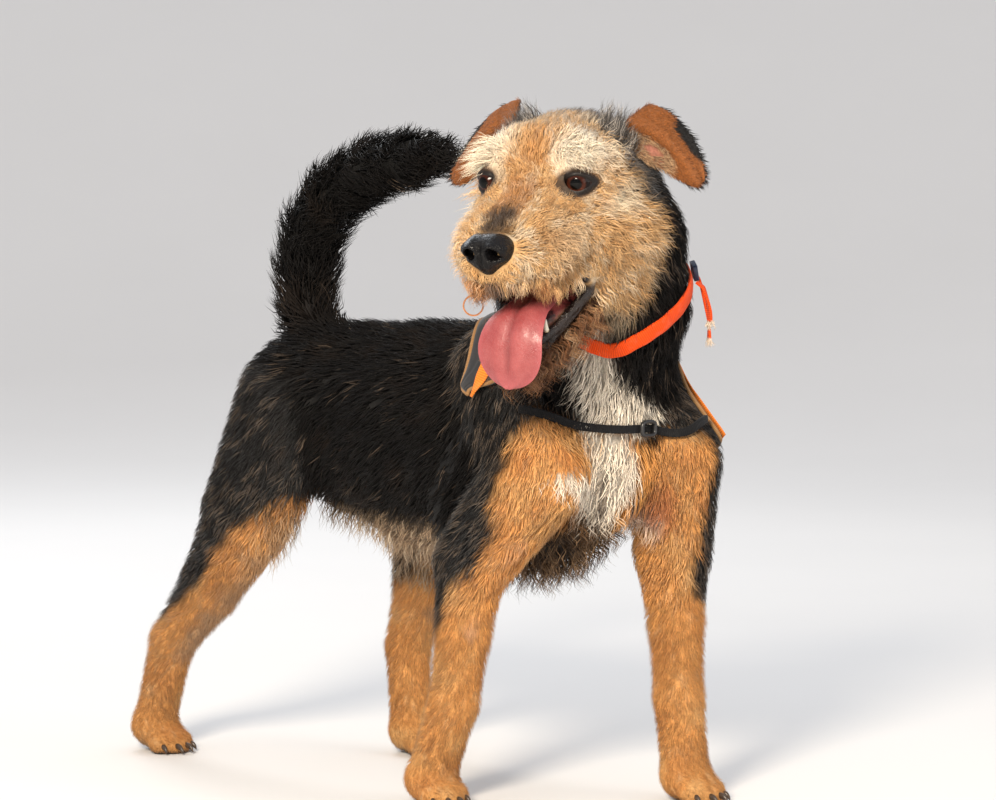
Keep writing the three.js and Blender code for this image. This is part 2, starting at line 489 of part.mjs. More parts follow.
// ear: a leaf held out sideways, its rear edge rolled back. rows run from the skull to the tip
const ear = (s, drop, reach, rise) => {
  const rows = 5, cols = 5, verts = [], tris = [];
  const point = (t, v) => {
    // v: 0 the lower front edge, 1 the rear edge rolled behind the top
    const base = mix([40, -30, 22 + rise], [44, -30, 24 + rise], v);
    const axis = [base[0] + (reach - 40) * t, base[1] + 16 * t, base[2] - (drop + 22) * t * t * 0.75 - 6 * t];
    const half = 23 * Math.sqrt(Math.max(0.03, 1 - t ** 2.6)) * (1 - 0.12 * t);
    const ang = lerp(-0.15, 1.0, Math.max(0, v - 0.55) / 0.45 * (v > 0.55 ? 1 : 0));
    const across = (v - 0.42) * 2 * half;
    const up = Math.min(across, half * 0.26), rest = Math.max(0, across - half * 0.26);
    const slant = 0.42 - 0.1 * t;
    return [axis[0] + (up + rest * 0.55) * slant, axis[1] - rest * 0.85 + 3 * Math.sin(Math.PI * v) * (1 - t), axis[2] + (up + rest * 0.35 * (ang > 0.5 ? 1 : 1)) * (1 - slant * 0.35)];
  };
  const thick = (t) => lerp(3.4, 1.9, t);
  for (let side = 0; side < 2; side++) for (let i = 0; i <= rows; i++) for (let j = 0; j <= cols; j++) {
    const t = i / rows, v = j / cols, e = 0.02;
    const p = point(t, v), du = sub(point(Math.min(t + e, 1), v), point(Math.max(t - e, 0), v)), dv = sub(point(t, Math.min(v + e, 1)), point(t, Math.max(v - e, 0)));
    const n = unit(cross(du, dv));
    const edge = j === 0 || j === cols ? 0.45 : 1;
    const q = add(p, mul(n, (side ? -1 : 1) * thick(t) * edge));
    verts.push(H(q[0] * s, q[1], q[2]));
  }
  const id = (side, i, j) => side * (rows + 1) * (cols + 1) + i * (cols + 1) + j;
  const quad = (a, b, c, d) => tris.push([a, b, c], [a, c, d]);
  for (let i = 0; i < rows; i++) for (let j = 0; j < cols; j++) { quad(id(0, i, j), id(0, i + 1, j), id(0, i + 1, j + 1), id(0, i, j + 1)); quad(id(1, i, j), id(1, i, j + 1), id(1, i + 1, j + 1), id(1, i + 1, j)); }
  for (let i = 0; i < rows; i++) { quad(id(0, i, 0), id(1, i, 0), id(1, i + 1, 0), id(0, i + 1, 0)); quad(id(0, i, cols), id(0, i + 1, cols), id(1, i + 1, cols), id(1, i, cols)); }
  for (let j = 0; j < cols; j++) { quad(id(0, 0, j), id(0, 0, j + 1), id(1, 0, j + 1), id(1, 0, j)); quad(id(0, rows, j), id(1, rows, j), id(1, rows, j + 1), id(0, rows, j + 1)); }
  let volume = 0;
  for (const [a, b, c] of tris) volume += dot(verts[a], cross(verts[b], verts[c]));
  return toManifold(verts, volume < 0 ? tris.map(([a, b, c]) => [a, c, b]) : tris);
};

// tongue: a flat tube along a line out of the mouth and down over the chin
const tongueLine = run([H(4, 40, -70), H(4, 66, -74), H(5, 90, -78), H(4, 103, -92), H(3, 106, -110), H(1, 105, -127)], 8);
const tongueHalf = (t) => (t < 0.42 ? lerp(15, 20, t / 0.42) : lerp(20, 25.5, Math.sin(((t - 0.42) / 0.36) * Math.PI * 0.5) * (t < 0.78 ? 1 : 0) + (t >= 0.78 ? 1 : 0)) * Math.sqrt(Math.max(0.05, 1 - Math.max(0, (t - 0.72) / 0.28) ** 2.2)));
const tongue = (() => {
  const verts = [], tris = [], N = 10, rows = tongueLine.length;
  tongueLine.forEach((p, i) => {
    const t = i / (rows - 1), along = unit(sub(tongueLine[Math.min(i + 1, rows - 1)], tongueLine[Math.max(i - 1, 0)]));
    const side = unit(sub(HL, mul(along, dot(HL, along)))), out = cross(side, along);
    const w = tongueHalf(t), h = lerp(5, 3.2, t);
    for (let k = 0; k < N; k++) {
      const a = (k / N) * 2 * Math.PI, x = Math.cos(a), y = Math.sin(a);
      const curl = -0.1 * w * x * x;
      verts.push(add(p, add(mul(side, w * x), mul(out, (h * y * (1 - 0.25 * (y > 0 ? Math.exp(-x * x * 14) : 0)) + curl) * -1))));
    }
  });
  for (let i = 0; i < rows - 1; i++) for (let k = 0; k < N; k++) {
    const a = i * N + k, b = i * N + ((k + 1) % N), c = (i + 1) * N + ((k + 1) % N), d = (i + 1) * N + k;
    tris.push([a, b, c], [a, c, d]);
  }
  const c0 = verts.length; verts.push(tongueLine[0]); const c1 = verts.length; verts.push(add(tongueLine[rows - 1], mul(HU, -1.5)));
  for (let k = 0; k < N; k++) { const k2 = (k + 1) % N; tris.push([c0, k2, k], [c1, (rows - 1) * N + k, (rows - 1) * N + k2]); }
  let volume = 0;
  for (const [a, b, c] of tris) volume += dot(verts[a], cross(verts[b], verts[c]));
  return toManifold(verts, volume < 0 ? tris.map(([a, b, c]) => [a, c, b]) : tris);
})();
const tooth = (root, tip, r) => {
  const d = sub(tip, root), g = new THREE.ConeGeometry(r, len(d), 6, 1);
  g.translate(0, len(d) / 2, 0);
  g.applyQuaternion(new THREE.Quaternion().setFromUnitVectors(new THREE.Vector3(0, 1, 0), new THREE.Vector3(...unit(d))));
  g.translate(...root);
  return fromGeometry(g);
};

// ---------- parting the animal ----------
const nodes = {};
const span = (a, b) => [a.map((v, i) => Math.min(v, b[i])), a.map((v, i) => Math.max(v, b[i]))];

// head
const eyeAt = (s) => H(EYE_AT[0] * s, EYE_AT[1], EYE_AT[2]);
const palate = blob(blend([[H(0, 34, -62), H(0, 88, -60), [22, 13], [18, 10], HL]], 1), sub(H(0, 61, -61), [60, 60, 40]), add(H(0, 61, -61), [60, 60, 40]), 8);
const skull = (cell) => keepLargest(blob(whole, ...span(P(-200, 90, 300), P(60, 300, 530)), cell).intersect(far(headBack))).subtract(palate).subtract(collarRoom);
const headRoom = grow(skull(HEAD_CELL), 0.45);
const eyes = { left: eye(1), right: eye(-1) };
const jawCut = { p: H(0, JAW_START, 0), n: HF };
const jawBlob = (cell) => blob(jawF, ...span(sub(H(0, 45, -90), [75, 75, 60]), add(H(0, 45, -90), [75, 75, 60])), cell);
nodes.head = [make(HEAD_CELL, (cell) => {
  let m = skull(cell);
  for (const s of [1, -1]) m = m.subtract(ellipsoid(eyeAt(s), [EYE_R + 0.5, EYE_R + 0.5, EYE_R + 0.5], eyeAxes(s), 10, 7));
  m = m.subtract(grow(noseSolid, 0.4)).add(jawBlob(JAW_CELL).intersect(near(jawCut)));
  for (const s of [1, -1]) m = m.add(tooth(H(20 * s, 84, -50), H(21 * s, 86, -66), 3));
  return keepLargest(m.subtract(grow(tongue, 0.4)).subtract(grow(yoke, FIT)));
}), "tan_coat"];
nodes.jaw = [make(JAW_CELL, (cell) => {
  let m = jawBlob(cell).intersect(far(jawCut));
  m = m.add(tooth(H(19, 74, -92), H(21, 77, -78), 3)).add(tooth(H(-17, 74, -92), H(-19, 77, -78), 3));
  return m.subtract(grow(tongue, 0.4));
}), "tan_coat"];
nodes.nose = [keepLargest(noseSolid.subtract(pit(1)).subtract(pit(-1))), "nose_leather"];
nodes.tongue = [tongue, "tongue_flesh"];
nodes.eye_left = [eyes.left, "eye"];
nodes.eye_right = [eyes.right, "eye"];
nodes.ear_left = [keepLargest(ear(1, 19, 101, 7).subtract(headRoom)), "rust_coat"];
nodes.ear_right = [keepLargest(ear(-1, 24, 92, 10).subtract(headRoom)), "rust_coat"];

// neck
const harnessRoom = [grow(yoke, FIT * 2), chestRoom];
nodes.neck = [make(NECK_CELL, (cell) => {
  let m = blob(body, ...span(P(-100, 30, 250), P(100, 270, 480)), cell).intersect(far(neckBase)).intersect(near(headBack));
  for (const r of [collarRoom, grow(slider, FIT), ...harnessRoom]) m = m.subtract(r);
  return m;
}), "black_coat"];

// tail
["tail_base", "tail_middle", "tail_tip"].forEach((name, i) => {
  nodes[name] = [make(TAIL_CELL, (cell) => {
    const m = blob(whole, ...span(P(-60, -230, 330), P(45, 40, 520)), cell).intersect(far(tailCuts[i]));
    return i < 2 ? m.intersect(near(tailCuts[i + 1])) : m;
  }), "black_coat"];
});

// trunk and legs
const girthSet = [girthRoom, grow(girthBuckle, FIT), grow(chestRing, FIT)];
nodes.trunk = [make(TRUNK_CELL, (cell) => {
  let m = blob(body, ...span(P(-120, -240, 120), P(120, 260, 400)), cell).intersect(near(neckBase)).intersect(near(tailCuts[0]));
  for (const planes of Object.values(legPlanes)) m = m.subtract(wedge(planes, true));
  for (const r of [...harnessRoom, ...girthSet]) m = m.subtract(r);
  return m;
}), "black_coat"];
const floor = behind([0, 0, SOLE_Z], [0, 0, -1]);
for (const [leg, planes] of Object.entries(legPlanes)) {
  const [z1, z2] = legCuts[leg], [lo, hi] = span(...legBox[leg]);
  const c1 = { p: [0, 0, z1], n: UP }, c2 = { p: [0, 0, z2], n: UP };
  const upper = make(UPPER_LEG_CELL, (cell) => {
    let m = blob(body, lo.map((v, i) => (i === 2 ? z1 - 25 : v)), hi, cell).intersect(wedge(planes, false)).intersect(far(c1)).intersect(near(neckBase));
    for (const r of leg.startsWith("fore") ? [...harnessRoom, ...girthSet] : []) m = m.subtract(r);
    return m;
  });
  nodes[leg + "_upper"] = [upper, leg.startsWith("fore") ? "tan_coat" : "black_coat"];
  nodes[leg + "_lower"] = [make(LOWER_LEG_CELL, (cell) => blob(body, lo.map((v, i) => (i === 2 ? z2 - 22 : v)), hi.map((v, i) => (i === 2 ? z1 + 22 : v)), cell).intersect(near(c1)).intersect(far(c2))), "tan_coat"];
  nodes[leg + "_paw"] = [make(PAW_CELL, (cell) => blob(body, lo.map((v, i) => (i === 2 ? -22 : v)), hi.map((v, i) => (i === 2 ? z2 + 16 : v)), cell).intersect(near(c2)).intersect(floor)), "tan_coat"];
}

// worn things
nodes.collar = [collar, "orange_webbing"];
nodes.collar_slider = [slider, "blue_plastic"];
nodes.collar_end_long = [longEnd.subtract(grow(slider, FIT)), "orange_webbing"];
nodes.collar_end_short = [shortEnd.subtract(grow(slider, FIT)), "orange_webbing"];
nodes.harness_yoke = [yoke, "black_webbing"];
nodes.harness_stripe_right = [keepLargest(stripe(0, 4, 2)), "orange_webbing"];
nodes.harness_stripe_left = [keepLargest(stripe(8, 11, -13)), "orange_webbing"];
nodes.harness_chest_strap = [keepLargest(chestStrap.subtract(grow(yoke, FIT)).subtract(grow(padded(yokeFrames, YOKE_IN - 8, YOKE_OUT + 8), FIT)).subtract(grow(chestRing, FIT))), "black_webbing"];
nodes.harness_chest_ring = [chestRing, "black_plastic"];
nodes.harness_girth = [keepLargest(girth0.subtract(grow(yoke, FIT)).subtract(grow(padded(yokeFrames, YOKE_IN - 8, YOKE_OUT + 8), FIT)).subtract(grow(girthBuckle, FIT))), "black_webbing"];
nodes.harness_girth_buckle = [girthBuckle, "black_plastic"];

// ---------- group ----------
const COLOURS = {
  black_coat: "#1b1714", tan_coat: "#b9783a", rust_coat: "#a8602a", nose_leather: "#141414", tongue_flesh: "#c96a70", eye: "#1c0f08",
  orange_webbing: "#f0500f", blue_plastic: "#101a30", black_webbing: "#1c1d20", black_plastic: "#111214",
};
const group = new THREE.Group();
let total = 0;
let box = new THREE.Box3();
for (const [name, [m, slot]] of Object.entries(nodes)) {
  const g = m.getMesh(), n = g.numProp, pos = [];
  for (let i = 0; i < g.vertProperties.length / n; i++) pos.push(g.vertProperties[i * n], g.vertProperties[i * n + 1], g.vertProperties[i * n + 2]);
  const geometry = new THREE.BufferGeometry();
  geometry.setAttribute("position", new THREE.Float32BufferAttribute(pos, 3));
  geometry.setIndex([...g.triVerts]);
  const mesh = new THREE.Mesh(geometry, new THREE.MeshStandardMaterial({ name: slot, color: COLOURS[slot], roughness: 0.8 }));
  mesh.name = name;
  total += g.triVerts.length / 3;
  geometry.computeBoundingBox();
  box.union(geometry.boundingBox);
  group.add(mesh);
}
// origin under the middle of the whole object, soles on the floor
const c = box.getCenter(new THREE.Vector3());
for (const mesh of group.children) mesh.geometry.translate(-c.x, -c.y, -box.min.z);
export default group;
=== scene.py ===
"""Looks for the standing terrier: skin, coat, eyes, mouth, collar and harness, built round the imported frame."""
import math

import bpy
import numpy as np
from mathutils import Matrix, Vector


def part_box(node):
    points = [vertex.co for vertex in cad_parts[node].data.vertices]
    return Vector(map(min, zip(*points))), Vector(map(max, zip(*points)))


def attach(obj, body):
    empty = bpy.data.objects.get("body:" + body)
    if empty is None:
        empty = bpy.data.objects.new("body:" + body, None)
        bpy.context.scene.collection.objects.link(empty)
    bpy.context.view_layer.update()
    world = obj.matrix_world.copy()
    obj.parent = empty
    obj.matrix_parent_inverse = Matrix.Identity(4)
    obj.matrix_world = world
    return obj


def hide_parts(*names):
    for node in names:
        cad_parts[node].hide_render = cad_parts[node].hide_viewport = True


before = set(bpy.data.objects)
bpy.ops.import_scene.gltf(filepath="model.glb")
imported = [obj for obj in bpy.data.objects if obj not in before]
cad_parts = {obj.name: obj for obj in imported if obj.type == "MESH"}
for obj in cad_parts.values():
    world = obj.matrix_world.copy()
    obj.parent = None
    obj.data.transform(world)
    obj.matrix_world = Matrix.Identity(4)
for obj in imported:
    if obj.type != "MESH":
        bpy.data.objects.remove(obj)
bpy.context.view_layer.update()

# ---------- vectors, head frame ----------
def unit(v):
    v = np.asarray(v, float)
    return v / np.maximum(np.linalg.norm(v, axis=-1, keepdims=True), 1e-12)


def P(l, f, u):
    """Body point from left, forward, up, in mm."""
    return np.array([l, -f, u], float)


X, UP = np.array([1.0, 0, 0]), np.array([0, 0, 1.0])
HO = P(-62.3, 180, 458.5)
_y, _p = math.radians(72.1), math.radians(-11)
_level = P(-math.sin(_y), math.cos(_y), 0)
HL = P(math.cos(_y), math.sin(_y), 0)
HF = _level * math.cos(_p) + UP * math.sin(_p)
HU = -_level * math.sin(_p) + UP * math.cos(_p)
HM = np.stack([HL, HF, HU])  # rows: left, forward, up


def H(x, y, z):
    return HO + HL * x + HF * y + HU * z


def HV(v):
    """Head-local directions or offsets to body axes."""
    return np.asarray(v, float) @ HM


def to_head(p):
    return (p - HO) @ HM.T


EYE_AT, EYE_R = (33.0, 36.0, 5.0), 12.0
_lo, _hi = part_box("eye_left")
SHIFT = (np.array(_lo) + np.array(_hi)) * 500 - H(*EYE_AT)  # the frame's origin, mm
SHIFT[2] = 0.0

# ---------- bones: start, end, half width and height at each end, side ----------
def chain(stations, side=X):
    return [(a[0], b[0], a[1:], b[1:], side) for a, b in zip(stations[:-1], stations[1:])]


TRUNK = chain([(P(4, 140, 255), 54, 68), (P(2, 104, 258), 71, 92), (P(1, 50, 257), 79, 94), (P(0, -20, 261), 76, 88),
               (P(-2, -85, 269), 65, 77), (P(-5, -130, 280), 61, 65), (P(-8, -156, 286), 48, 52)])
NECK = chain([(P(8, 104, 288), 70, 68), (P(9, 140, 326), 68, 62), (P(3, 174, 368), 54, 54), (P(-4, 182, 412), 48, 50),
              (P(-18, 178, 444), 46, 47)])
TAIL_LINE = [P(-8, -136, 318), P(-8, -151, 350), P(-8, -153, 385), P(-8, -141, 418), P(-8, -114, 444), P(-8, -74, 461),
             P(-8, -30, 468), P(-8, 8, 471)]
TAIL = chain([(p, r, r) for p, r in zip(TAIL_LINE, [26, 27, 28, 29, 29, 27, 24, 15])])
FORE = {
    "left": dict(sc=P(44, 124, 318), sh=P(56, 178, 250), el=P(68, 166, 178), fm=P(65, 173, 128), ca=P(63, 178, 74), pa=P(62, 186, 18), to=P(61, 204, 9)),
    "right": dict(sc=P(-40, 92, 322), sh=P(-56, 150, 244), el=P(-66, 92, 176), fm=P(-70, 88, 126), ca=P(-74, 82, 74), pa=P(-82, 66, 18), to=P(-86, 84, 9)),
}
HIND = {
    "left": dict(hip=P(40, -112, 282), kn=P(60, -80, 188), mi=P(63, -98, 132), ho=P(64, -116, 84), me=P(64, -112, 18), to=P(64, -92, 9)),
    "right": dict(hip=P(-46, -128, 278), kn=P(-66, -160, 190), mi=P(-68, -200, 134), ho=P(-70, -244, 88), me=P(-72, -264, 20), to=P(-72, -244, 9)),
}


def toe_line(a, b):
    d = unit(np.array([b[0] - a[0], b[1] - a[1], 0.0]))
    s = np.cross(UP, d)
    out = []
    for k in (-1.5, -0.5, 0.5, 1.5):
        base = np.array([b[0], b[1], 8.0]) + s * k * 9
        out.append((base, base + d * (3 if abs(k) > 1 else 10) + [0, 0, -3], s, d))
    return out


def toes(a, b):
    return [(p, q, (7, 9), (6, 7), s) for p, q, s, _ in toe_line(a, b)]


def fore_bones(q):
    return [(q["sc"], q["sh"], (32, 38), (36, 40), X), (q["sh"], q["el"], (34, 40), (28, 34), X), (q["el"], q["fm"], (26, 31), (22, 24), X),
            (q["fm"], q["ca"], (22, 24), (20, 21), X), (q["ca"], q["pa"], (20, 21), (20, 19), X), (q["pa"], q["to"], (22, 18), (20, 12), X)] + toes(q["pa"], q["to"])


def hind_bones(q):
    return [(q["hip"], q["kn"], (34, 56), (28, 46), X), (q["kn"], q["mi"], (27, 42), (22, 30), X), (q["mi"], q["ho"], (22, 29), (18, 22), X),
            (q["ho"], q["me"], (18, 22), (18, 18), X), (q["me"], q["to"], (21, 18), (19, 12), X)] + toes(q["me"], q["to"])


HEAD = [(H(0, -24, 0), H(0, 14, 4), (56, 46), (53, 42), HL), (H(0, 36, -20), H(0, 78, -33), (49, 36), (44, 28), HL),
        (H(0, 78, -33), H(0, 98, -37), (44, 28), (35, 23), HL)]
for _s in (1, -1):
    HEAD += [(H(40 * _s, -12, -40), H(37 * _s, 22, -38), (30, 36), (27, 32), HL), (H(34 * _s, -4, -72), H(28 * _s, 22, -66), (24, 26), (20, 20), HL),
             (H(28 * _s, 31, 23), H(21 * _s, 24, 28), (16, 12), (16, 13), HL)]
JAW = [(H(0, 10, -72), H(0, 50, -92), (30, 18), (28, 18), HL), (H(0, 50, -92), H(0, 78, -106), (28, 18), (19, 17), HL)]
PARTS = [("trunk", TRUNK, 8, 1), ("neck", NECK, 8, 24), ("tail", TAIL, 5, 12), ("fore_left", fore_bones(FORE["left"]), 6, 14),
         ("fore_right", fore_bones(FORE["right"]), 6, 14), ("hind_left", hind_bones(HIND["left"]), 6, 16), ("hind_right", hind_bones(HIND["right"]), 6, 16),
         ("head", HEAD, 14, 14), ("jaw", JAW, 10, 5)]
NAMES = [p[0] for p in PARTS]


def bone_d(bone, p):
    a, b, ra, rb, side = bone
    ab = b - a
    L = np.linalg.norm(ab)
    u = ab / L
    s = unit(side - u * (side @ u))
    n = np.cross(u, s)
    q = p - a
    z = q @ u
    t = np.clip(z / L, 0, 1)
    w, h = ra[0] + (rb[0] - ra[0]) * t, ra[1] + (rb[1] - ra[1]) * t
    m = np.where(z < 0, min(ra), min(rb))
    x, y, c = (q @ s) / w, (q @ n) / h, (z - t * L) / m
    k0 = np.sqrt(x * x + y * y + c * c)
    k1 = np.sqrt((x / w) ** 2 + (y / h) ** 2 + (c / m) ** 2)
    return np.where(k1 > 1e-9, k0 * (k0 - 1) / np.maximum(k1, 1e-9), -np.minimum(w, h))


def smin(a, b, k):
    h = np.maximum(k - np.abs(a - b), 0) / k
    return np.minimum(a, b) - h * h * k * 0.25


def smax(a, b, k):
    return -smin(-a, -b, k)


def smooth(a, b, x):
    t = np.clip((x - a) / (b - a), 0, 1)
    return t * t * (3 - 2 * t)


FAR = 60.0


def blend_d(bones, k, p):
    d = np.full(len(p), FAR)
    for bone in bones:
        r = max(*bone[2], *bone[3]) + 36
        lo, hi = np.minimum(bone[0], bone[1]) - r, np.maximum(bone[0], bone[1]) + r
        m = ((p > lo) & (p < hi)).all(1)
        if m.any():
            d[m] = smin(d[m], bone_d(bone, p[m]), k)
    return d


def part_ds(p):
    return [blend_d(b, k, p) for _, b, k, _ in PARTS]


def combine(ds):
    d = ds[0]
    for e, part in zip(ds[1:], PARTS[1:]):
        d = smin(d, e, part[3])
    return d


def outer(p):
    """The coat's outside: negative inside."""
    return combine(part_ds(p))


# ---------- noise ----------
def _hash(i, j, k, seed):
    h = (i * 73856093) ^ (j * 19349663) ^ (k * 83492791) ^ (seed * 374761393)
    h &= 0xFFFFFFFF
    h = ((h ^ (h >> 13)) * 1274126177) & 0xFFFFFFFF
    h = ((h ^ (h >> 16)) * 2246822519) & 0xFFFFFFFF
    return ((h >> 8) & 0xFFFF) / 65535.0


def noise(p, scale, seed=0):
    """Value noise, -1 to 1."""
    q = p / scale
    i = np.floor(q).astype(np.int64)
    f = q - i
    f = f * f * (3 - 2 * f)
    out = 0
    for a in (0, 1):
        for b in (0, 1):
            for c in (0, 1):
                w = (f[:, 0] if a else 1 - f[:, 0]) * (f[:, 1] if b else 1 - f[:, 1]) * (f[:, 2] if c else 1 - f[:, 2])
                out = out + w * _hash(i[:, 0] + a, i[:, 1] + b, i[:, 2] + c, seed)
    return out * 2 - 1


# ---------- the coat's outside on a grid ----------
STEP = 3.0
G_LO = np.array([-190.0, -292.0, -10.0])
G_N = np.array([100, 202, 178])
_axes = [G_LO[i] + STEP * np.arange(G_N[i]) for i in range(3)]


def grid_of(bones, k):
    d = np.full(G_N, FAR, np.float32)
    for bone in bones:
        r = max(*bone[2], *bone[3]) + 32
        lo = np.maximum(np.floor((np.minimum(bone[0], bone[1]) - r - G_LO) / STEP), 0).astype(int)
        hi = np.minimum(np.ceil((np.maximum(bone[0], bone[1]) + r - G_LO) / STEP) + 1, G_N).astype(int)
        if (hi <= lo).any():
            continue
        sl = tuple(slice(a, b) for a, b in zip(lo, hi))
        q = np.stack(np.meshgrid(*[_axes[i][sl[i]] for i in range(3)], indexing="ij"), -1).reshape(-1, 3)
        e = bone_d(bone, q).reshape(tuple(hi - lo))
        d[sl] = smin(d[sl], e, k)
    return d


_grids = [grid_of(b, k) for _, b, k, _ in PARTS]
D = _grids[0]
for _g, _part in zip(_grids[1:], PARTS[1:]):
    D = smin(D, _g, _part[3])
DG = np.stack(np.gradient(D, STEP), -1).astype(np.float32)


def sample(grid, p):
    q = np.clip((p - G_LO) / STEP, 0, G_N - 1.001)
    i = q.astype(int)
    f = (q - i)
    out = 0
    for a in (0, 1):
        for b in (0, 1):
            for c in (0, 1):
                w = (f[:, 0] if a else 1 - f[:, 0]) * (f[:, 1] if b else 1 - f[:, 1]) * (f[:, 2] if c else 1 - f[:, 2])
                v = grid[i[:, 0] + a, i[:, 1] + b, i[:, 2] + c]
                out = out + (w[:, None] * v if grid.ndim == 4 else w * v)
    return out


# ---------- how deep the coat is: mm from its outside down to the skin ----------
PART_DEPTH = np.array([7.5, 8.0, 11.0, 5.5, 5.5, 5.5, 5.5, 7.0, 6.5])


def weights(ds, soft=7.0):
    a = np.stack(ds, 1)
    w = np.exp(-(a - a.min(1, keepdims=True)) / soft)
    return w / w.sum(1, keepdims=True)


LIP_UP = [(0, 101, -54.5), (12, 97, -56), (21, 89, -57), (27, 77, -57.5), (30.5, 64, -57.5), (35.5, 52, -59.5), (39, 43, -63)]
LIP_LOW = [(39, 43, -63), (36.5, 41, -71), (31, 48, -79), (26, 56, -86), (21, 65, -93), (13, 79, -100), (0, 87, -104)]
LIP_FOLD = [(36.5, 39, -74), (31, 49, -83), (26, 58, -91), (20, 67, -99), (14, 74, -107), (8, 78, -113), (0, 80, -116)]
CORNER = [(35, 33, -60), (31, 32, -73), (23, 38, -84)]
CHOPS = [(24, 66, -48.5), (30, 54, -50.5), (35.5, 41, -55)]


def line_d(q, pts):
    """Distance to a polyline, in the same coordinates."""
    best = np.full(len(q), 1e9)
    for a, b in zip(pts[:-1], pts[1:]):
        a, b = np.array(a, float), np.array(b, float)
        ab = b - a
        t = np.clip(((q - a) @ ab) / (ab @ ab), 0, 1)
        best = np.minimum(best, np.linalg.norm(q - a - t[:, None] * ab, axis=1))
    return best


def lips(q):
    q = q * [1, 1, 1]
    q[:, 0] = np.abs(q[:, 0])
    return line_d(q, LIP_UP), np.minimum(line_d(q, LIP_LOW), line_d(q, LIP_FOLD) + 1.4)


def mouth_mask(q):
    """Bare wet skin inside the lips, in head coordinates."""
    x, y, z = np.abs(q[:, 0]), q[:, 1], q[:, 2]
    half = np.interp(y, [28, 43, 52, 64, 77, 89, 97, 102], [36, 37, 33, 28, 24.5, 18.5, 10, 0])
    edge = np.interp(y, [43, 52, 64, 77, 89, 97, 101], [-63, -59.5, -57.5, -57.5, -57, -56, -54.5])
    half = half - 11 * smooth(edge - 1.5, edge + 2.5, z)
    roof = smooth(half + 0.5, half - 3, x) * smooth(28, 40, y) * smooth(103, 97, y) * smooth(-50, -55, z) * smooth(-80, -72, z + 0.35 * (y - 60))
    return roof


def jaw_floor(q):
    """Inside of the lower jaw, between the lower lips."""
    x, y, z = np.abs(q[:, 0]), q[:, 1], q[:, 2]
    half = np.interp(y, [30, 41, 48, 56, 65, 79, 87], [36, 36, 31, 26, 21, 13, 1])
    line = np.interp(y, [30, 41, 48, 56, 65, 79, 87], [-66, -71, -79, -86, -93, -100, -104])
    return smooth(half + 1, half - 3, x) * smooth(26, 36, y) * smooth(96, 90, y) * smooth(line - 9, line - 4, z) * smooth(-52, -56, z)


def depth_of(p, ds=None):
    ds = part_ds(p) if ds is None else ds
    dep = (weights(ds) * PART_DEPTH).sum(1)
    z = p[:, 2]
    legs = np.minimum.reduce([ds[3], ds[4], ds[5], ds[6]]) < np.minimum.reduce([ds[0], ds[1], ds[2]])
    low = smooth(230, 110, z) * np.where(legs | (z < 140), 1, 0)
    dep = dep * (1 - low) + low * np.interp(z, [0, 14, 50, 110, 160], [1.2, 2.6, 3.6, 4.6, 5.5])
    q = to_head(p)
    near = smooth(62, 40, np.linalg.norm(q - [0, 60, -40], axis=1))
    short = smooth(-22, -4, q[:, 2]) * smooth(34, 60, q[:, 1])  # the bridge of the muzzle
    dep = dep * (1 - near * short * 0.55)
    nose = smooth(26, 12, np.linalg.norm(q - [0, 113, -29], axis=1))
    dep = dep * (1 - nose * 0.8)
    wet = np.maximum(mouth_mask(q), jaw_floor(q))
    dep = dep * (1 - 0.85 * wet)
    eye = np.minimum(*[np.linalg.norm(q - [s * EYE_AT[0], EYE_AT[1] + 8, EYE_AT[2]], axis=1) for s in (1, -1)])
    dep = dep * (1 - 0.55 * smooth(26, 15, eye))
    return dep


PALATE = (H(0, 34, -62), H(0, 88, -60), (22, 13), (18, 10), HL)


def skin_d(p):
    ds = part_ds(p)
    d = combine(ds) + depth_of(p, ds)
    near = np.linalg.norm(p - H(0, 50, -50), axis=1) < 95
    if near.any():
        pn = p[near]
        q = to_head(pn)
        e = smax(d[near], -(bone_d(PALATE, pn) + 1.0), 4)
        up, low = lips(q)
        thin = smooth(96, 82, q[:, 1])
        e = smin(e, up - 1.2 - 1.5 * thin, 4)
        q2 = np.abs(q) * [1, 0, 0] + q * [0, 1, 1]
        e = smin(e, line_d(q2, CORNER) - 6.5, 7)
        e = smin(e, line_d(q2, CHOPS) - 6.0, 7)
        e = smin(e, low - 3.7, 4)
        for s in (1, -1):
            ball = np.linalg.norm(q - [s * EYE_AT[0], EYE_AT[1], EYE_AT[2]], axis=1)
            e = smax(e, -(ball - EYE_R - 0.5), 3)
        d[near] = e
    return d


def grad_of(f, p, e=0.6):
    g = np.zeros_like(p)
    for i in range(3):
        d = np.zeros(3)
        d[i] = e
        g[:, i] = (f(p + d) - f(p - d)) / (2 * e)
    return g


def project(f, p, level=0.0, it=3, most=4.0):
    for _ in range(it):
        g = grad_of(f, p)
        move = -(f(p) - level)[:, None] * g / np.maximum((g * g).sum(1), 0.2)[:, None]
        size = np.linalg.norm(move, axis=1, keepdims=True)
        p = p + move * np.minimum(1, most / np.maximum(size, 1e-9))
    return p


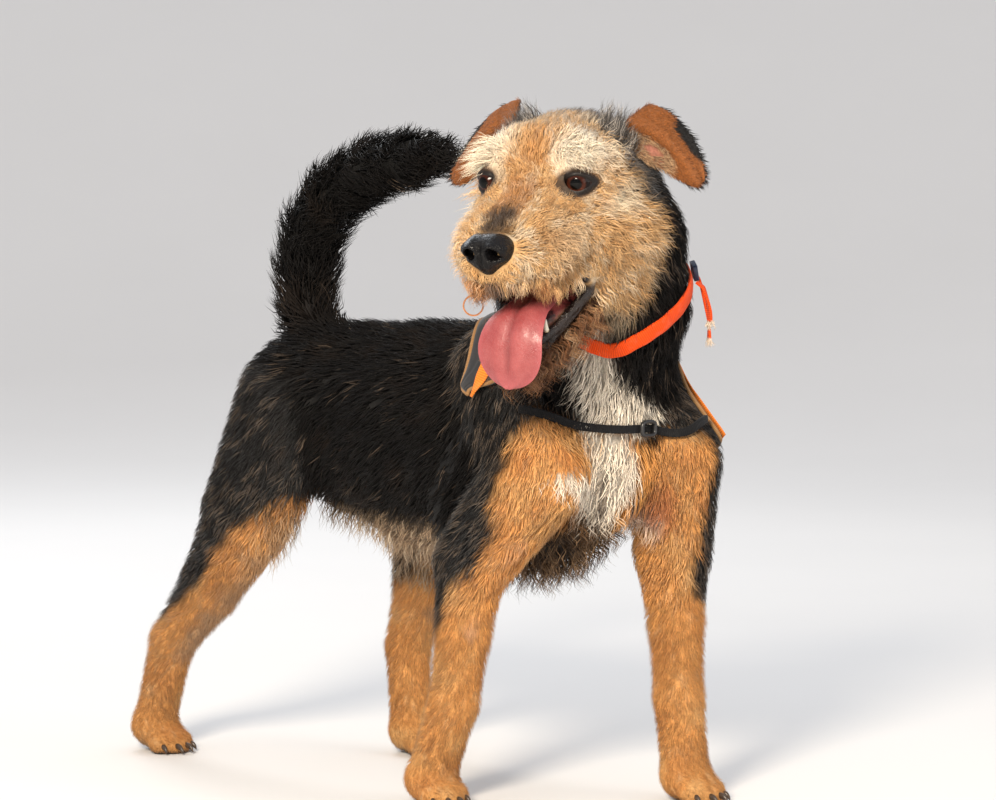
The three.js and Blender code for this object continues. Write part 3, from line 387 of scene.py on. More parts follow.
# ---------- surface nets ----------
def surface_nets(S, lo, cell):
    n = np.array(S.shape)
    inside = S < 0
    corners = [(i, j, k) for i in (0, 1) for j in (0, 1) for k in (0, 1)]
    cnt = sum(inside[i:n[0] - 1 + i, j:n[1] - 1 + j, k:n[2] - 1 + k].astype(np.int8) for i, j, k in corners)
    act = (cnt > 0) & (cnt < 8)
    cid = np.full(act.shape, -1)
    ci = np.argwhere(act)
    cid[act] = np.arange(len(ci))
    acc, num = np.zeros((len(ci), 3)), np.zeros(len(ci))
    for a in corners:
        for b in corners:
            if sum(abs(x - y) for x, y in zip(a, b)) != 1 or a > b:
                continue
            va, vb = S[tuple((ci + a).T)], S[tuple((ci + b).T)]
            cr = (va < 0) != (vb < 0)
            t = np.where(cr, va / np.where(cr, va - vb, 1), 0)
            acc += (np.array(a) + t[:, None] * (np.array(b) - np.array(a))) * cr[:, None]
            num += cr
    V = np.array(lo) + (ci + acc / num[:, None]) * cell
    Q = []
    for d in range(3):
        o = [i for i in range(3) if i != d]
        s0, s1 = [slice(None)] * 3, [slice(None)] * 3
        s0[d], s1[d] = slice(0, n[d] - 1), slice(1, n[d])
        x0, x1 = inside[tuple(s0)], inside[tuple(s1)]
        e = np.argwhere(x0 != x1)
        e = e[(e[:, o[0]] > 0) & (e[:, o[1]] > 0) & (e[:, o[0]] < n[o[0]] - 1) & (e[:, o[1]] < n[o[1]] - 1)]
        flip = ~x0[tuple(e.T)]

        def at(da, db):
            q = e.copy()
            q[:, o[0]] -= da
            q[:, o[1]] -= db
            return cid[tuple(q.T)]

        quad = np.stack([at(1, 1), at(0, 1), at(0, 0), at(1, 0)], 1)
        if d == 1:
            flip = ~flip
        quad[flip] = quad[flip][:, ::-1]
        Q.append(quad)
    return V, np.concatenate(Q)


def net_of(f, lo, hi, cell):
    lo, hi = np.array(lo, float), np.array(hi, float)
    n = np.ceil((hi - lo) / cell).astype(int) + 1
    q = np.stack(np.meshgrid(*[lo[i] + cell * np.arange(n[i]) for i in range(3)], indexing="ij"), -1).reshape(-1, 3)
    return surface_nets(f(q).reshape(tuple(n)), lo, cell)


def split_quads(V, Q, pick):
    """Each picked quad becomes four; its neighbours take the new edge points into a fan."""
    E = np.stack([Q, np.roll(Q, -1, 1)], -1)
    key = np.sort(E, -1)
    code = key[..., 0].astype(np.int64) * (len(V) + 1) + key[..., 1]
    marked = np.unique(code[pick])
    a, b = marked // (len(V) + 1), marked % (len(V) + 1)
    edge_v = len(V) + np.arange(len(marked))
    mids = (V[a] + V[b]) / 2
    pos = np.searchsorted(marked, code)
    pos = np.minimum(pos, len(marked) - 1)
    has = marked[pos] == code
    touched = pick | has.any(1)
    centre_id = np.full(len(Q), -1)
    centre_id[touched] = len(V) + len(marked) + np.arange(touched.sum())
    centres = V[Q[touched]].mean(1)
    NV = np.concatenate([V, mids, centres])
    mid = np.where(has, edge_v[pos], -1)
    quads = [Q[~touched]]
    for k in range(4):
        quads.append(np.stack([Q[pick, k], mid[pick, k], centre_id[pick], mid[pick, k - 1]], 1))
    fan = np.where(touched & ~pick)[0]
    tris = []
    for k in range(4):
        m = has[fan, k]
        f1, f0 = fan[m], fan[~m]
        tris.append(np.stack([Q[f1, k], mid[f1, k], centre_id[f1]], 1))
        tris.append(np.stack([mid[f1, k], Q[f1, (k + 1) % 4], centre_id[f1]], 1))
        tris.append(np.stack([Q[f0, k], Q[f0, (k + 1) % 4], centre_id[f0]], 1))
    return NV, np.concatenate(quads), np.concatenate(tris)


# ---------- meshes ----------
def link(ob):
    bpy.context.scene.collection.objects.link(ob)
    return ob


def make(name, V, faces, smooth_shade=True, body="root"):
    """faces: list of arrays of equal-length faces. V in body mm."""
    me = bpy.data.meshes.new(name)
    faces = [np.asarray(f, np.int32) for f in faces if len(f)]
    me.vertices.add(len(V))
    me.vertices.foreach_set("co", ((np.asarray(V) + SHIFT) / 1000).astype(np.float32).ravel())
    loops = np.concatenate([f.ravel() for f in faces])
    total = np.concatenate([np.full(len(f), f.shape[1], np.int32) for f in faces])
    me.loops.add(len(loops))
    me.loops.foreach_set("vertex_index", loops)
    me.polygons.add(len(total))
    me.polygons.foreach_set("loop_start", (np.cumsum(total) - total).astype(np.int32))
    me.polygons.foreach_set("use_smooth", np.full(len(total), smooth_shade))
    me.update(calc_edges=True)
    me.validate()
    return link(bpy.data.objects.new(name, me))


def put_color(ob, name, rgb):
    a = ob.data.attributes.new(name, "FLOAT_COLOR", "POINT")
    rgba = np.ones((len(rgb), 4), np.float32)
    rgba[:, :rgb.shape[1]] = rgb
    a.data.foreach_set("color", rgba.ravel())


def put_float(ob, name, v):
    a = ob.data.attributes.new(name, "FLOAT", "POINT")
    a.data.foreach_set("value", np.asarray(v, np.float32))


def put_uv(ob, uv_vertex, name="OFBake"):
    layer = ob.data.uv_layers.new(name=name)
    idx = np.empty(len(ob.data.loops), np.int32)
    ob.data.loops.foreach_get("vertex_index", idx)
    layer.data.foreach_set("uv", uv_vertex[idx].astype(np.float32).ravel())


def put_uv_loops(ob, uv, name="OFBake"):
    layer = ob.data.uv_layers.new(name=name)
    layer.data.foreach_set("uv", uv.astype(np.float32).ravel())


# ---------- unwrap: each body part as a sleeve round its own line ----------
def polyline(pts):
    pts = np.array(pts, float)
    seg = np.linalg.norm(np.diff(pts, axis=0), axis=1)
    return pts, np.concatenate([[0], np.cumsum(seg)])


SLEEVES = {
    "trunk": polyline([P(4, 190, 262), P(1, 50, 257), P(0, -20, 261), P(-5, -130, 280), P(-8, -215, 290)]),
    "neck": polyline([P(8, 90, 260), P(9, 140, 326), P(3, 174, 368), P(-4, 182, 412), P(-18, 178, 470)]),
    "tail": polyline([P(-8, -120, 290)] + TAIL_LINE + [P(-8, 30, 472)]),
    "fore_left": polyline([P(30, 90, 360)] + [FORE["left"][k] for k in ("sc", "sh", "el", "fm", "ca", "pa")] + [P(60, 225, -4)]),
    "fore_right": polyline([P(-28, 60, 360)] + [FORE["right"][k] for k in ("sc", "sh", "el", "fm", "ca", "pa")] + [P(-88, 104, -4)]),
    "hind_left": polyline([P(30, -130, 340)] + [HIND["left"][k] for k in ("hip", "kn", "mi", "ho", "me")] + [P(64, -70, -4)]),
    "hind_right": polyline([P(-36, -110, 340)] + [HIND["right"][k] for k in ("hip", "kn", "mi", "ho", "me")] + [P(-72, -222, -4)]),
    "head": polyline([H(0, -110, -20), H(0, -24, -10), H(0, 60, -40), H(0, 135, -50)]),
}


def sleeve(name, p):
    """(turn, along) of each point round and along a part's line; turn in turns."""
    pts, run = SLEEVES[name]
    best, along, rel, ax = np.full(len(p), 1e9), np.zeros(len(p)), np.zeros_like(p), np.zeros_like(p)
    for i in range(len(pts) - 1):
        a, ab = pts[i], pts[i + 1] - pts[i]
        t = np.clip(((p - a) @ ab) / (ab @ ab), 0, 1)
        r = p - a - t[:, None] * ab
        d = np.linalg.norm(r, axis=1)
        m = d < best
        best[m], along[m], rel[m], ax[m] = d[m], run[i] + t[m] * (run[i + 1] - run[i]), r[m], unit(ab)
    ref = HL if name == "head" else X
    s = unit(ref - ax * (ax @ ref)[:, None])
    n = np.cross(ax, s)
    turn = np.arctan2((rel * n).sum(1), (rel * s).sum(1)) / (2 * math.pi)
    return turn, along / run[-1]


TILES = ["trunk", "neck", "tail", "head", "fore_left", "fore_right", "hind_left", "hind_right"]


def rest_name(i):
    return "head" if NAMES[i] == "jaw" else NAMES[i]


# ---------- skin ----------
def build_skin():
    g = D.copy()
    idx = np.argwhere(np.abs(g + 8) < 16)
    pts = G_LO + idx * STEP
    g[g > -8] = 30
    g[(g <= -8) & (g < 0)] = np.where(g[(g <= -8) & (g < 0)] < -24, -30, g[(g <= -8) & (g < 0)])
    g[tuple(idx.T)] = skin_d(pts)
    V, Q = surface_nets(g, G_LO, STEP)
    V = project(skin_d, V, it=2)
    q = to_head(V)
    face = (np.linalg.norm((q - [0, 48, -38]) / [62, 72, 78], axis=1) < 1)
    V, Q4, T = split_quads(V, Q, face[Q].all(1))
    faces = [Q4, T]
    for _ in range(2):  # relax, then back onto the surface
        V = project(skin_d, relax(V, faces, 0.5), it=1, most=1.5)
    V[:, 2] = np.maximum(V[:, 2], 0.0)
    return V, faces


def relax(V, faces, amount):
    acc, n = np.zeros_like(V), np.zeros(len(V))
    for F in faces:
        k = F.shape[1]
        for i in range(k):
            j = (i + 1) % k
            np.add.at(acc, F[:, i], V[F[:, j]])
            np.add.at(n, F[:, i], 1)
            np.add.at(acc, F[:, j], V[F[:, i]])
            np.add.at(n, F[:, j], 1)
    return V + (acc / np.maximum(n, 1)[:, None] - V) * amount


# ---------- markings ----------
BLACK, BLACK_TIP = np.array([0.0054, 0.0045, 0.0041]), np.array([0.026, 0.019, 0.014])
TAN, GOLD, CREAM = np.array([0.68, 0.32, 0.096]), np.array([0.70, 0.43, 0.195]), np.array([0.86, 0.72, 0.53])
WHITE, GREY, RUST = np.array([0.84, 0.755, 0.635]), np.array([0.22, 0.20, 0.185]), np.array([0.27, 0.088, 0.019])
BROWN, BEIGE, DARK = np.array([0.23, 0.092, 0.034]), np.array([0.42, 0.31, 0.21]), np.array([0.040, 0.025, 0.017])


def lay_on(base, mask, colour):
    return base * (1 - mask[:, None]) + colour * mask[:, None]


def markings(p, n, ds):
    """The coat's colour at a root, from where it is on the animal."""
    w = weights(ds, 5.0)
    l, f, u = p[:, 0], -p[:, 1], p[:, 2]
    n1, n2, n3 = noise(p, 16, 3), noise(p, 6, 4), noise(p, 34, 5)
    j = 7 * n1 + 3 * n2
    col = np.tile(BLACK, (len(p), 1))
    col = lay_on(col, 0.30 * smooth(0.1, 0.9, noise(p, 22, 8) + 0.35 * n2) , np.array([0.030, 0.019, 0.012]))
    fore = np.maximum(w[:, 3], w[:, 4])
    hind = np.maximum(w[:, 5], w[:, 6])
    # fore legs: tan in front and below, black behind the shoulder
    edge_r = np.interp(u, [100, 137, 160, 182, 204, 230, 252, 271, 286], [60, 82, 96, 117, 134, 139, 147, 152, 153])
    edge_l = np.interp(u, [100, 137, 182, 212, 248, 285], [60, 80, 98, 112, 122, 148]) + 84
    edge = np.where(l < 0, edge_r, edge_l)
    front = smooth(edge - 7, edge + 7, f + j) * smooth(9, -6, u + 0.6 * j - np.interp(l, [-60, -20, 16, 60], [292, 289, 275, 272]))
    outer_l = smooth(5, -5, l + 0.6 * j - np.interp(u, [150, 208, 238, 260, 285], [66, 59, 54, 51, 48])) * (l > 0) + (l <= 0)
    low = smooth(140, 112, u + j)
    inner_leg = smooth(52, 34, np.abs(l)) * smooth(250, 215, u)
    tan = fore * np.maximum.reduce([front * np.where(u > 150, outer_l, 1), low, 0.9 * inner_leg * (np.abs(l) > 18)])
    # chest: tan each side of the blaze
    chest = (w[:, 0] + w[:, 1] + fore) * smooth(130, 158, f + 0.5 * j) * smooth(7, -6, u + 0.5 * j - np.interp(l, [-60, -20, 16, 60], [290, 288, 274, 271])) * smooth(60, 50, np.abs(l - 4) + 0.4 * j)
    tan = np.maximum(tan, chest)
    # hind legs
    up_edge = np.where(l < 0, np.interp(-f, [60, 100, 124, 152, 187, 211, 262], [216, 208, 198, 182, 148, 124, 106]),
                       np.interp(-f, [20, 50, 78, 104, 140, 190], [214, 186, 158, 140, 120, 110]))
    inside = smooth(46, 26, np.abs(l + 3)) * 55
    tan = np.maximum(tan, hind * smooth(up_edge + inside + 8, up_edge + inside - 8, u + j))
    # seat under the tail
    seat = smooth(-160, -178, f + 0.4 * j) * smooth(292, 276, u) * smooth(44, 28, np.abs(l + 6) + 0.4 * j)
    tan = np.maximum(tan, seat * 0.85)
    leg_col = TAN * (1 + 0.16 * n3[:, None]) * (1 - 0.10 * smooth(70, 10, u))[:, None]
    leg_col = lay_on(leg_col, 0.45 * smooth(0.0, 0.8, n1), np.array([0.78, 0.48, 0.20]))
    leg_col = lay_on(leg_col, 0.32 * smooth(0.0, 0.8, -n1), np.array([0.46, 0.17, 0.045]))
    leg_col = lay_on(leg_col, 0.35 * smooth(0.3, 0.9, noise(p, 5, 17)), np.array([0.80, 0.56, 0.31]))
    col = lay_on(col, np.clip(tan, 0, 1), leg_col)
    # belly and flank folds: greyish beige
    under = (w[:, 0] + 0.6 * hind) * smooth(-0.35, -0.75, n[:, 2] + 0.15 * n1) * smooth(120, 96, f + j) * smooth(214, 196, u + 0.4 * j)
    col = lay_on(col, 0.85 * np.clip(under, 0, 1), BEIGE * (1 + 0.2 * n2[:, None]))
    fringe = (w[:, 0] + hind * smooth(150, 172, u)) * smooth(205, 184, u + 1.2 * j) * smooth(60, 20, f + j) * smooth(-130, -100, f)
    col = lay_on(col, 0.6 * np.clip(fringe, 0, 1), np.array([0.36, 0.24, 0.14]) * (1 + 0.25 * n2[:, None]))
    # white blaze on the chest, a little left of the middle, with an arm to each side
    bu = [196, 203, 215, 228, 234, 241, 246, 249, 252, 263, 270, 275, 284, 297, 312, 329, 350, 366]
    near_r = np.interp(u, bu, [-2, -9, -18, -28, -47, -68, -80, -57, -27, -29, -34, -40, -31, -31, -37, -40, -44, -50])
    near_l = np.interp(u, bu, [6, 4, 3, 8, 11, 13, 13, 12, 11, 5, 1, 1, 19, 33, 0, -23, -36, -44])
    blaze = smooth(-5, 5, l - near_r - 0.5 * j) * smooth(-4, 4, near_l - l - 0.5 * j) * smooth(112, 130, f) * smooth(194, 202, u + 0.4 * j) * smooth(372, 356, u + 0.5 * j)
    tuft = smooth(1, 0.4, np.linalg.norm(np.stack([l + 16 - 0.10 * (u - 214), u - 208], 1) / [20, 25], axis=1) + 0.04 * j) * smooth(100, 128, f)
    col = lay_on(col, 0.80 * tuft, np.array([0.060, 0.040, 0.027]) * (1 + 1.6 * smooth(-0.1, 0.8, n2))[:, None])
    grizzle = smooth(1, 0.4, np.linalg.norm(np.stack([l + 47, u - 214], 1) / [26, 18], axis=1) + 0.04 * j) * smooth(120, 140, f)
    col = lay_on(col, 0.62 * grizzle * smooth(-0.5, 0.5, noise(p, 4, 16)), np.array([0.15, 0.080, 0.040]))
    rusty = np.minimum.reduce([np.linalg.norm((p - P(*c)) / r, axis=1) for c, r in (((-78, 180, 224), 17), ((-84, 168, 262), 14), ((-80, 150, 232), 13), ((-60, 182, 262), 12), ((52, 205, 226), 13))])
    col = lay_on(col, 0.50 * smooth(1.1, 0.2, rusty + 0.05 * j) * np.clip(tan, 0, 1), np.array([0.47, 0.165, 0.045]))
    # painted highlight: a pale streak down the front of the right foreleg, where the light falls
    foreleg_highlight_d = line_d(p, [P(-70, 158, 200), P(-77, 140, 180), P(-80, 120, 156), P(-80, 108, 130)])
    col = lay_on(col, 0.55 * smooth(9, 2, foreleg_highlight_d + 0.3 * j) * np.clip(tan, 0, 1), np.array([0.76, 0.47, 0.29]))
    # painted shadow of the chest strap: the white blaze is held back on a band along the strap, leaving the darker
    # colour under it
    strap_shadow = 1 - 0.6 * smooth(6, 3, np.abs(u - 277 + 0.5 * n1))
    col = lay_on(col, np.clip(blaze * strap_shadow, 0, 1) * 0.94, WHITE * (1 + 0.06 * n2[:, None]))
    # painted shade: a dark line down the white of the chest, along its middle groove
    midline_shade = smooth(4.5, 2.0, np.abs(l + 17 - 0.24 * (242 - u) + 1.6 * n2)) * smooth(250, 240, u) * smooth(188, 200, u) * smooth(112, 130, f)
    col = lay_on(col, 0.80 * midline_shade, np.array([0.075, 0.050, 0.034]))
    over = smooth(7, 1, np.abs(u - 283 - 0.25 * (l - 10) + 0.5 * j)) * smooth(-2, 14, l + 0.5 * j) * smooth(62, 50, l) * (f > 140)
    col = lay_on(col, 0.80 * over, np.array([0.050, 0.036, 0.026]) * (1 + 2.2 * smooth(0.0, 0.8, n2))[:, None])
    inner_pale = smooth(14, 7, np.linalg.norm((p - P(27, 170, 194)) / [0.9, 1.6, 2.2], axis=1) - 4 + 0.5 * j)
    col = lay_on(col, 0.85 * np.clip(inner_pale, 0, 1), WHITE * 0.88)
    reddish = smooth(1, 0.3, np.linalg.norm((p - P(31, 185, 217)) / [17, 30, 22], axis=1) + 0.03 * j)
    col = lay_on(col, 0.72 * reddish * np.clip(tan, 0, 1), np.array([0.43, 0.135, 0.055]))
    # head
    q = to_head(p)
    x, y, z = q[:, 0], q[:, 1], q[:, 2]
    ax = np.abs(x)
    hw = np.clip(w[:, 7] + w[:, 8], 0, 1)
    back = np.interp(z, [-110, -80, -40, -10, 10, 30, 60], [-2, -16, -26, -14, -12, -20, -30]) + 14 * smooth(20, 36, ax) * smooth(-2, 12, z) + 0.16 * np.maximum(ax - 50, 0) + 6 * n1 + 3 * n2
    face = hw * smooth(back - 5, back + 6, y)
    col = lay_on(col, hw * smooth(back - 26, back - 2, y) * smooth(-30, 10, z) * 0.75, GREY * (1 + 0.4 * n2[:, None]))
    fc = np.tile(GOLD, (len(p), 1)) * (1 + 0.12 * n3[:, None] + 0.10 * n2[:, None])
    streak = noise(p * [1, 1, 1], 7, 11) + 0.6 * noise(p, 3.4, 12)
    fc = lay_on(fc, 0.70 * smooth(0.0, 0.7, streak), CREAM * 0.98)
    fc = lay_on(fc, 0.55 * smooth(0.15, 0.8, -streak), TAN * 0.72)
    brow = smooth(22, 8, np.linalg.norm((q - [0, 34, 24]) * [0.0, 0.8, 1.0] + np.stack([(ax - 30) * 0.85, 0 * x, 0 * x], 1), axis=1) + 0.3 * j)
    fc = lay_on(fc, 0.9 * brow, CREAM * [1.06, 1.12, 1.22])
    under_eye = smooth(1, 0.3, np.linalg.norm((np.stack([ax, y, z], 1) - [54, 18, -10]) / [22, 32, 14], axis=1) + 0.04 * j)
    fc = lay_on(fc, 0.9 * under_eye, CREAM * 1.10)
    temple = smooth(1, 0.4, np.linalg.norm((np.stack([ax, y, z], 1) - [46, 8, 22]) / [16, 22, 16], axis=1) + 0.03 * j)
    fc = lay_on(fc, 0.75 * temple, CREAM * [1.0, 1.04, 1.1])
    forehead = smooth(1, 0.1, np.linalg.norm((q - [0, 44, 20]) / [21, 36, 30], axis=1) + 0.05 * j)
    fc = lay_on(fc, 0.85 * forehead, np.array([0.60, 0.29, 0.095]))
    top = smooth(34, 50, z + 0.3 * j) * smooth(24, 8, y)
    fc = lay_on(fc, 0.70 * top, np.array([0.62, 0.53, 0.44]) * (1 + 0.35 * n2[:, None]))
    fc = lay_on(fc, 0.45 * top * smooth(0.1, 0.6, noise(p, 3.0, 15)), np.array([0.16, 0.13, 0.115]))
    bridge = smooth(16, 8, ax + 0.4 * j) * smooth(-18, -8, z) * smooth(48, 62, y)
    fc = lay_on(fc, 0.65 * bridge, np.array([0.46, 0.19, 0.055]))
    smudge = smooth(1, 0.05, np.linalg.norm((q - [0, 98, -12]) / [18, 34, 19], axis=1) + 0.05 * j)
    fc = lay_on(fc, 0.95 * smudge, DARK * 0.95)
    side = smooth(1, 0.4, np.linalg.norm((np.stack([ax, y, z], 1) - [32, 74, -30]) / [20, 26, 22], axis=1) + 0.03 * j)
    fc = lay_on(fc, 0.45 * side, np.array([0.62, 0.48, 0.33]))
    tear = smooth(12, 3, np.linalg.norm((np.stack([ax, y, z], 1) - [23, 50, -2]) / [1, 1.2, 1.3], axis=1) + 0.2 * j)
    fc = lay_on(fc, 0.65 * tear, np.array([0.26, 0.10, 0.035]))
    up, low_l = lips(q)
    tache = smooth(13, 4, up + 0.4 * j) * smooth(70, 84, y)
    fc = lay_on(fc, 0.40 * tache, BROWN * 1.6)
    beard = w[:, 8] * smooth(-78, -92, z + 0.2 * j) * smooth(24, 46, y)
    fc = lay_on(fc, 0.75 * np.clip(beard * 1.5, 0, 1) * smooth(-0.5, 0.5, n2 + 0.3), BROWN * 1.25)
    throat = smooth(-84, -100, z) * smooth(50, 20, y) * (1 - beard)
    fc = lay_on(fc, 0.85 * throat, CREAM)
    col = lay_on(col, np.clip(face, 0, 1), fc)
    return np.clip(col, 0.003, 0.95)


def bare(p, q=None):
    """0 to 1 where skin shows bare: inside the mouth, the lips and round the eyes."""
    q = to_head(p) if q is None else q
    up, low = lips(q)
    wet = np.maximum(mouth_mask(q), jaw_floor(q))
    lip = np.maximum(smooth(4.6, 3.0, up) * smooth(-58.5, -61, q[:, 2]), smooth(4.8, 3.6, low))
    eye = np.minimum(*[np.linalg.norm((q - [s * EYE_AT[0], EYE_AT[1] + 8, EYE_AT[2]]), axis=1) for s in (1, -1)])
    return wet, lip, smooth(15.5, 12.5, eye)


# ---------- worn things: their lines on the coat ----------
def neck_f(p):
    return smin(blend_d(NECK, 8, p), blend_d(TRUNK, 8, p), 20)


def cast_out(f, start, way, level):
    """First crossing of a level going out from each start."""
    t = np.zeros(len(start))
    live = np.ones(len(start), bool)
    for _ in range(120):
        q = start + way * (t + 2)[:, None]
        out = f(q) >= level
        live &= ~out
        t[live] += 2
        if not live.any():
            break
    lo, hi = t.copy(), t + 2
    for _ in range(14):
        m = (lo + hi) / 2
        inside = f(start + way * m[:, None]) < level
        lo, hi = np.where(inside, m, lo), np.where(inside, hi, m)
    return start + way * lo[:, None]


def catmull(pts, t, closed=False):
    pts = np.array(pts, float)
    n = len(pts)
    k = np.floor(t).astype(int)
    k = k if closed else np.minimum(k, n - 2)
    e = (t - k)[:, None]

    def at(m):
        return pts[m % n] if closed else np.where(((m < 0) | (m > n - 1))[:, None], 2 * pts[np.clip(m, 0, n - 1)] - pts[np.clip(2 * np.clip(m, 0, n - 1) - m, 0, n - 1)], pts[np.clip(m, 0, n - 1)])

    p0, p1, p2, p3 = at(k - 1), at(k), at(k + 1), at(k + 2)
    return 0.5 * (2 * p1 + (p2 - p0) * e + (2 * p0 - 5 * p1 + 4 * p2 - p3) * e ** 2 + (3 * p1 - p0 - 3 * p2 + p3) * e ** 3)


def spaced(pts, count, closed=False):
    """Evenly spaced points on a smooth curve through pts."""
    span = len(pts) if closed else len(pts) - 1
    c = catmull(pts, np.linspace(0, span, 1200, endpoint=not closed), closed)
    run = np.concatenate([[0], np.cumsum(np.linalg.norm(np.diff(c, axis=0), axis=1))])
    at = np.linspace(0, run[-1], count, endpoint=not closed)
    return np.stack([np.interp(at, run, c[:, i]) for i in range(3)], 1)


def frames_on(f, pts, closed=False, side_hint=None):
    """Outward and sideways directions of a strap lying along pts on the surface f."""
    n = len(pts)
    if closed:
        along = unit(np.roll(pts, -1, 0) - np.roll(pts, 1, 0))
    else:
        along = unit(np.gradient(pts, axis=0))
    g = grad_of(f, pts, 2.0)
    out = unit(g - along * (g * along).sum(1, keepdims=True))
    side = unit(np.cross(out, along))
    if side_hint is not None:
        side = unit(side_hint - along * (along @ side_hint)[:, None])
        out = unit(np.cross(along, side))
        out *= np.where((out * g).sum(1, keepdims=True) < 0, -1, 1)
    return along, out, side


COLLAR_HEIGHTS = [358, 386, 402, 400, 392, 374, 347, 336]
COLLAR_W, COLLAR_T, STRAP_W, STRAP_T, STRAP_IN, GIRTH_W = 11.0, 3.6, 9.0, 4.0, -3.4, 18.0
_t = np.linspace(0, 8, 144, endpoint=False)
_z = catmull(np.array(COLLAR_HEIGHTS, float)[:, None], _t, True)[:, 0]
_a = _t / 8 * 2 * math.pi
COLLAR = cast_out(neck_f, np.stack([np.full(144, 2.0), np.full(144, -172.0), _z], 1), np.stack([np.sin(_a), -np.cos(_a), 0 * _a], 1), -4.0)
COLLAR_FR = frames_on(neck_f, COLLAR, True)
CHEST_PTS = [P(66, 196, 276), P(43, 207, 274), P(12, 200, 276), P(-15, 192, 277), P(-39, 178, 280), P(-60, 166, 288), P(-76, 150, 294)]
CHEST = project(outer, spaced(CHEST_PTS, 70), it=6)
CHEST_FR = frames_on(outer, CHEST, side_hint=UP)
GIRTH_PTS = [P(-80, 98, 292), P(-86, 76, 246), P(-80, 52, 208), P(-55, 40, 178), P(-20, 42, 164), P(15, 50, 163), P(50, 76, 176), P(76, 104, 208), P(82, 124, 248), P(78, 146, 292)]
GIRTH = project(outer, spaced(GIRTH_PTS, 110), it=6)
GIRTH_FR = frames_on(outer, GIRTH)
YOKE_ARC = np.array([[-78, 110], [-66, 117], [-50, 119], [-34, 113], [-18, 99], [0, 87], [23, 90], [46, 112], [68, 142], [86, 167], [104, 188]], float)
_arc = catmull(YOKE_ARC, np.linspace(0, 10, 91))
_a = np.radians(_arc[:, 0])
YOKE = cast_out(outer, np.stack([0 * _a, -_arc[:, 1], np.full(91, 280.0)], 1), np.stack([np.sin(_a), 0 * _a, np.cos(_a)], 1), 0.0)
YOKE_FR = frames_on(outer, YOKE)
YOKE_HALF = 25.0 * (0.86 + 0.14 * np.sin(math.pi * np.linspace(0, 1, 91)))
YOKE_WAY = np.where((YOKE_FR[2] @ P(0, 1, 0)) > 0, 1.0, -1.0)  # which side of the line is in front
YOKE_FRONT = np.minimum(1.0, -0.62 + 1.62 * smooth(-0.02, 0.20, np.linspace(0, 1, 91)))


def covered(p):
    """True where a strap, the yoke or the collar lies on the coat."""
    def close(line, half, closed=False):
        pts = np.concatenate([line, line[:1]]) if closed else line
        best = np.full(len(p), 1e9)
        for i in range(0, len(pts) - 1, 2):
            a, ab = pts[i], pts[min(i + 2, len(pts) - 1)] - pts[i]
            L2 = max(ab @ ab, 1e-9)
            t = np.clip(((p - a) @ ab) / L2, 0, 1)
            h = half if np.isscalar(half) else half[i]
            best = np.minimum(best, np.linalg.norm(p - a - t[:, None] * ab, axis=1) - h)
        return best < 0
    deep = 8.0
    m = close(COLLAR, math.hypot(COLLAR_W / 2 - 1, deep - 4), True)
    m |= close(CHEST, math.hypot(STRAP_W / 2 - 0.5, deep)) & (np.abs(sample_line(p, CHEST, CHEST_FR[2])) < STRAP_W / 2 - 1.0) & (p[:, 0] > -36)
    m |= close(GIRTH, math.hypot(GIRTH_W / 2, deep)) & (np.abs(sample_line(p, GIRTH, GIRTH_FR[2])) < np.where(p[:, 0] < -40, GIRTH_W / 2 - 8.2, GIRTH_W / 2 - 6.0))
    i = np.zeros(len(p), int)
    best = np.full(len(p), 1e18)
    for k in range(len(YOKE)):
        d = ((p - YOKE[k]) ** 2).sum(1)
        hit = d < best
        best[hit], i[hit] = d[hit], k
    ahead = ((p - YOKE[i]) * YOKE_FR[2][i]).sum(1) * YOKE_WAY[i]
    m |= close(YOKE, YOKE_HALF - 2.0) & (ahead < YOKE_FRONT[i] * YOKE_HALF[i] - 1.5)
    return m


def sample_line(p, line, side):
    """Signed offset of p across a strap, at its nearest point."""
    i = np.zeros(len(p), int)
    best = np.full(len(p), 1e18)
    for k in range(0, len(line), 2):
        d = ((p - line[k]) ** 2).sum(1)
        m = d < best
        best[m], i[m] = d[m], k
    return ((p - line[i]) * side[i]).sum(1)


# ---------- the lie of the coat ----------
def bone_ways(p, names):
    """Direction from root to tip of the nearest bones of some parts."""
    way, tot = np.zeros_like(p), np.zeros(len(p))
    for name, bones, k, _ in PARTS:
        if name not in names:
            continue
        for bone in bones[:8]:
            u = unit(bone[1] - bone[0])
            d = bone_d(bone, p)
            w = np.exp(-np.clip(d + 20, 0, 200) / 7.0) + 1e-9
            way += w[:, None] * u
            tot += w
    return unit(way)


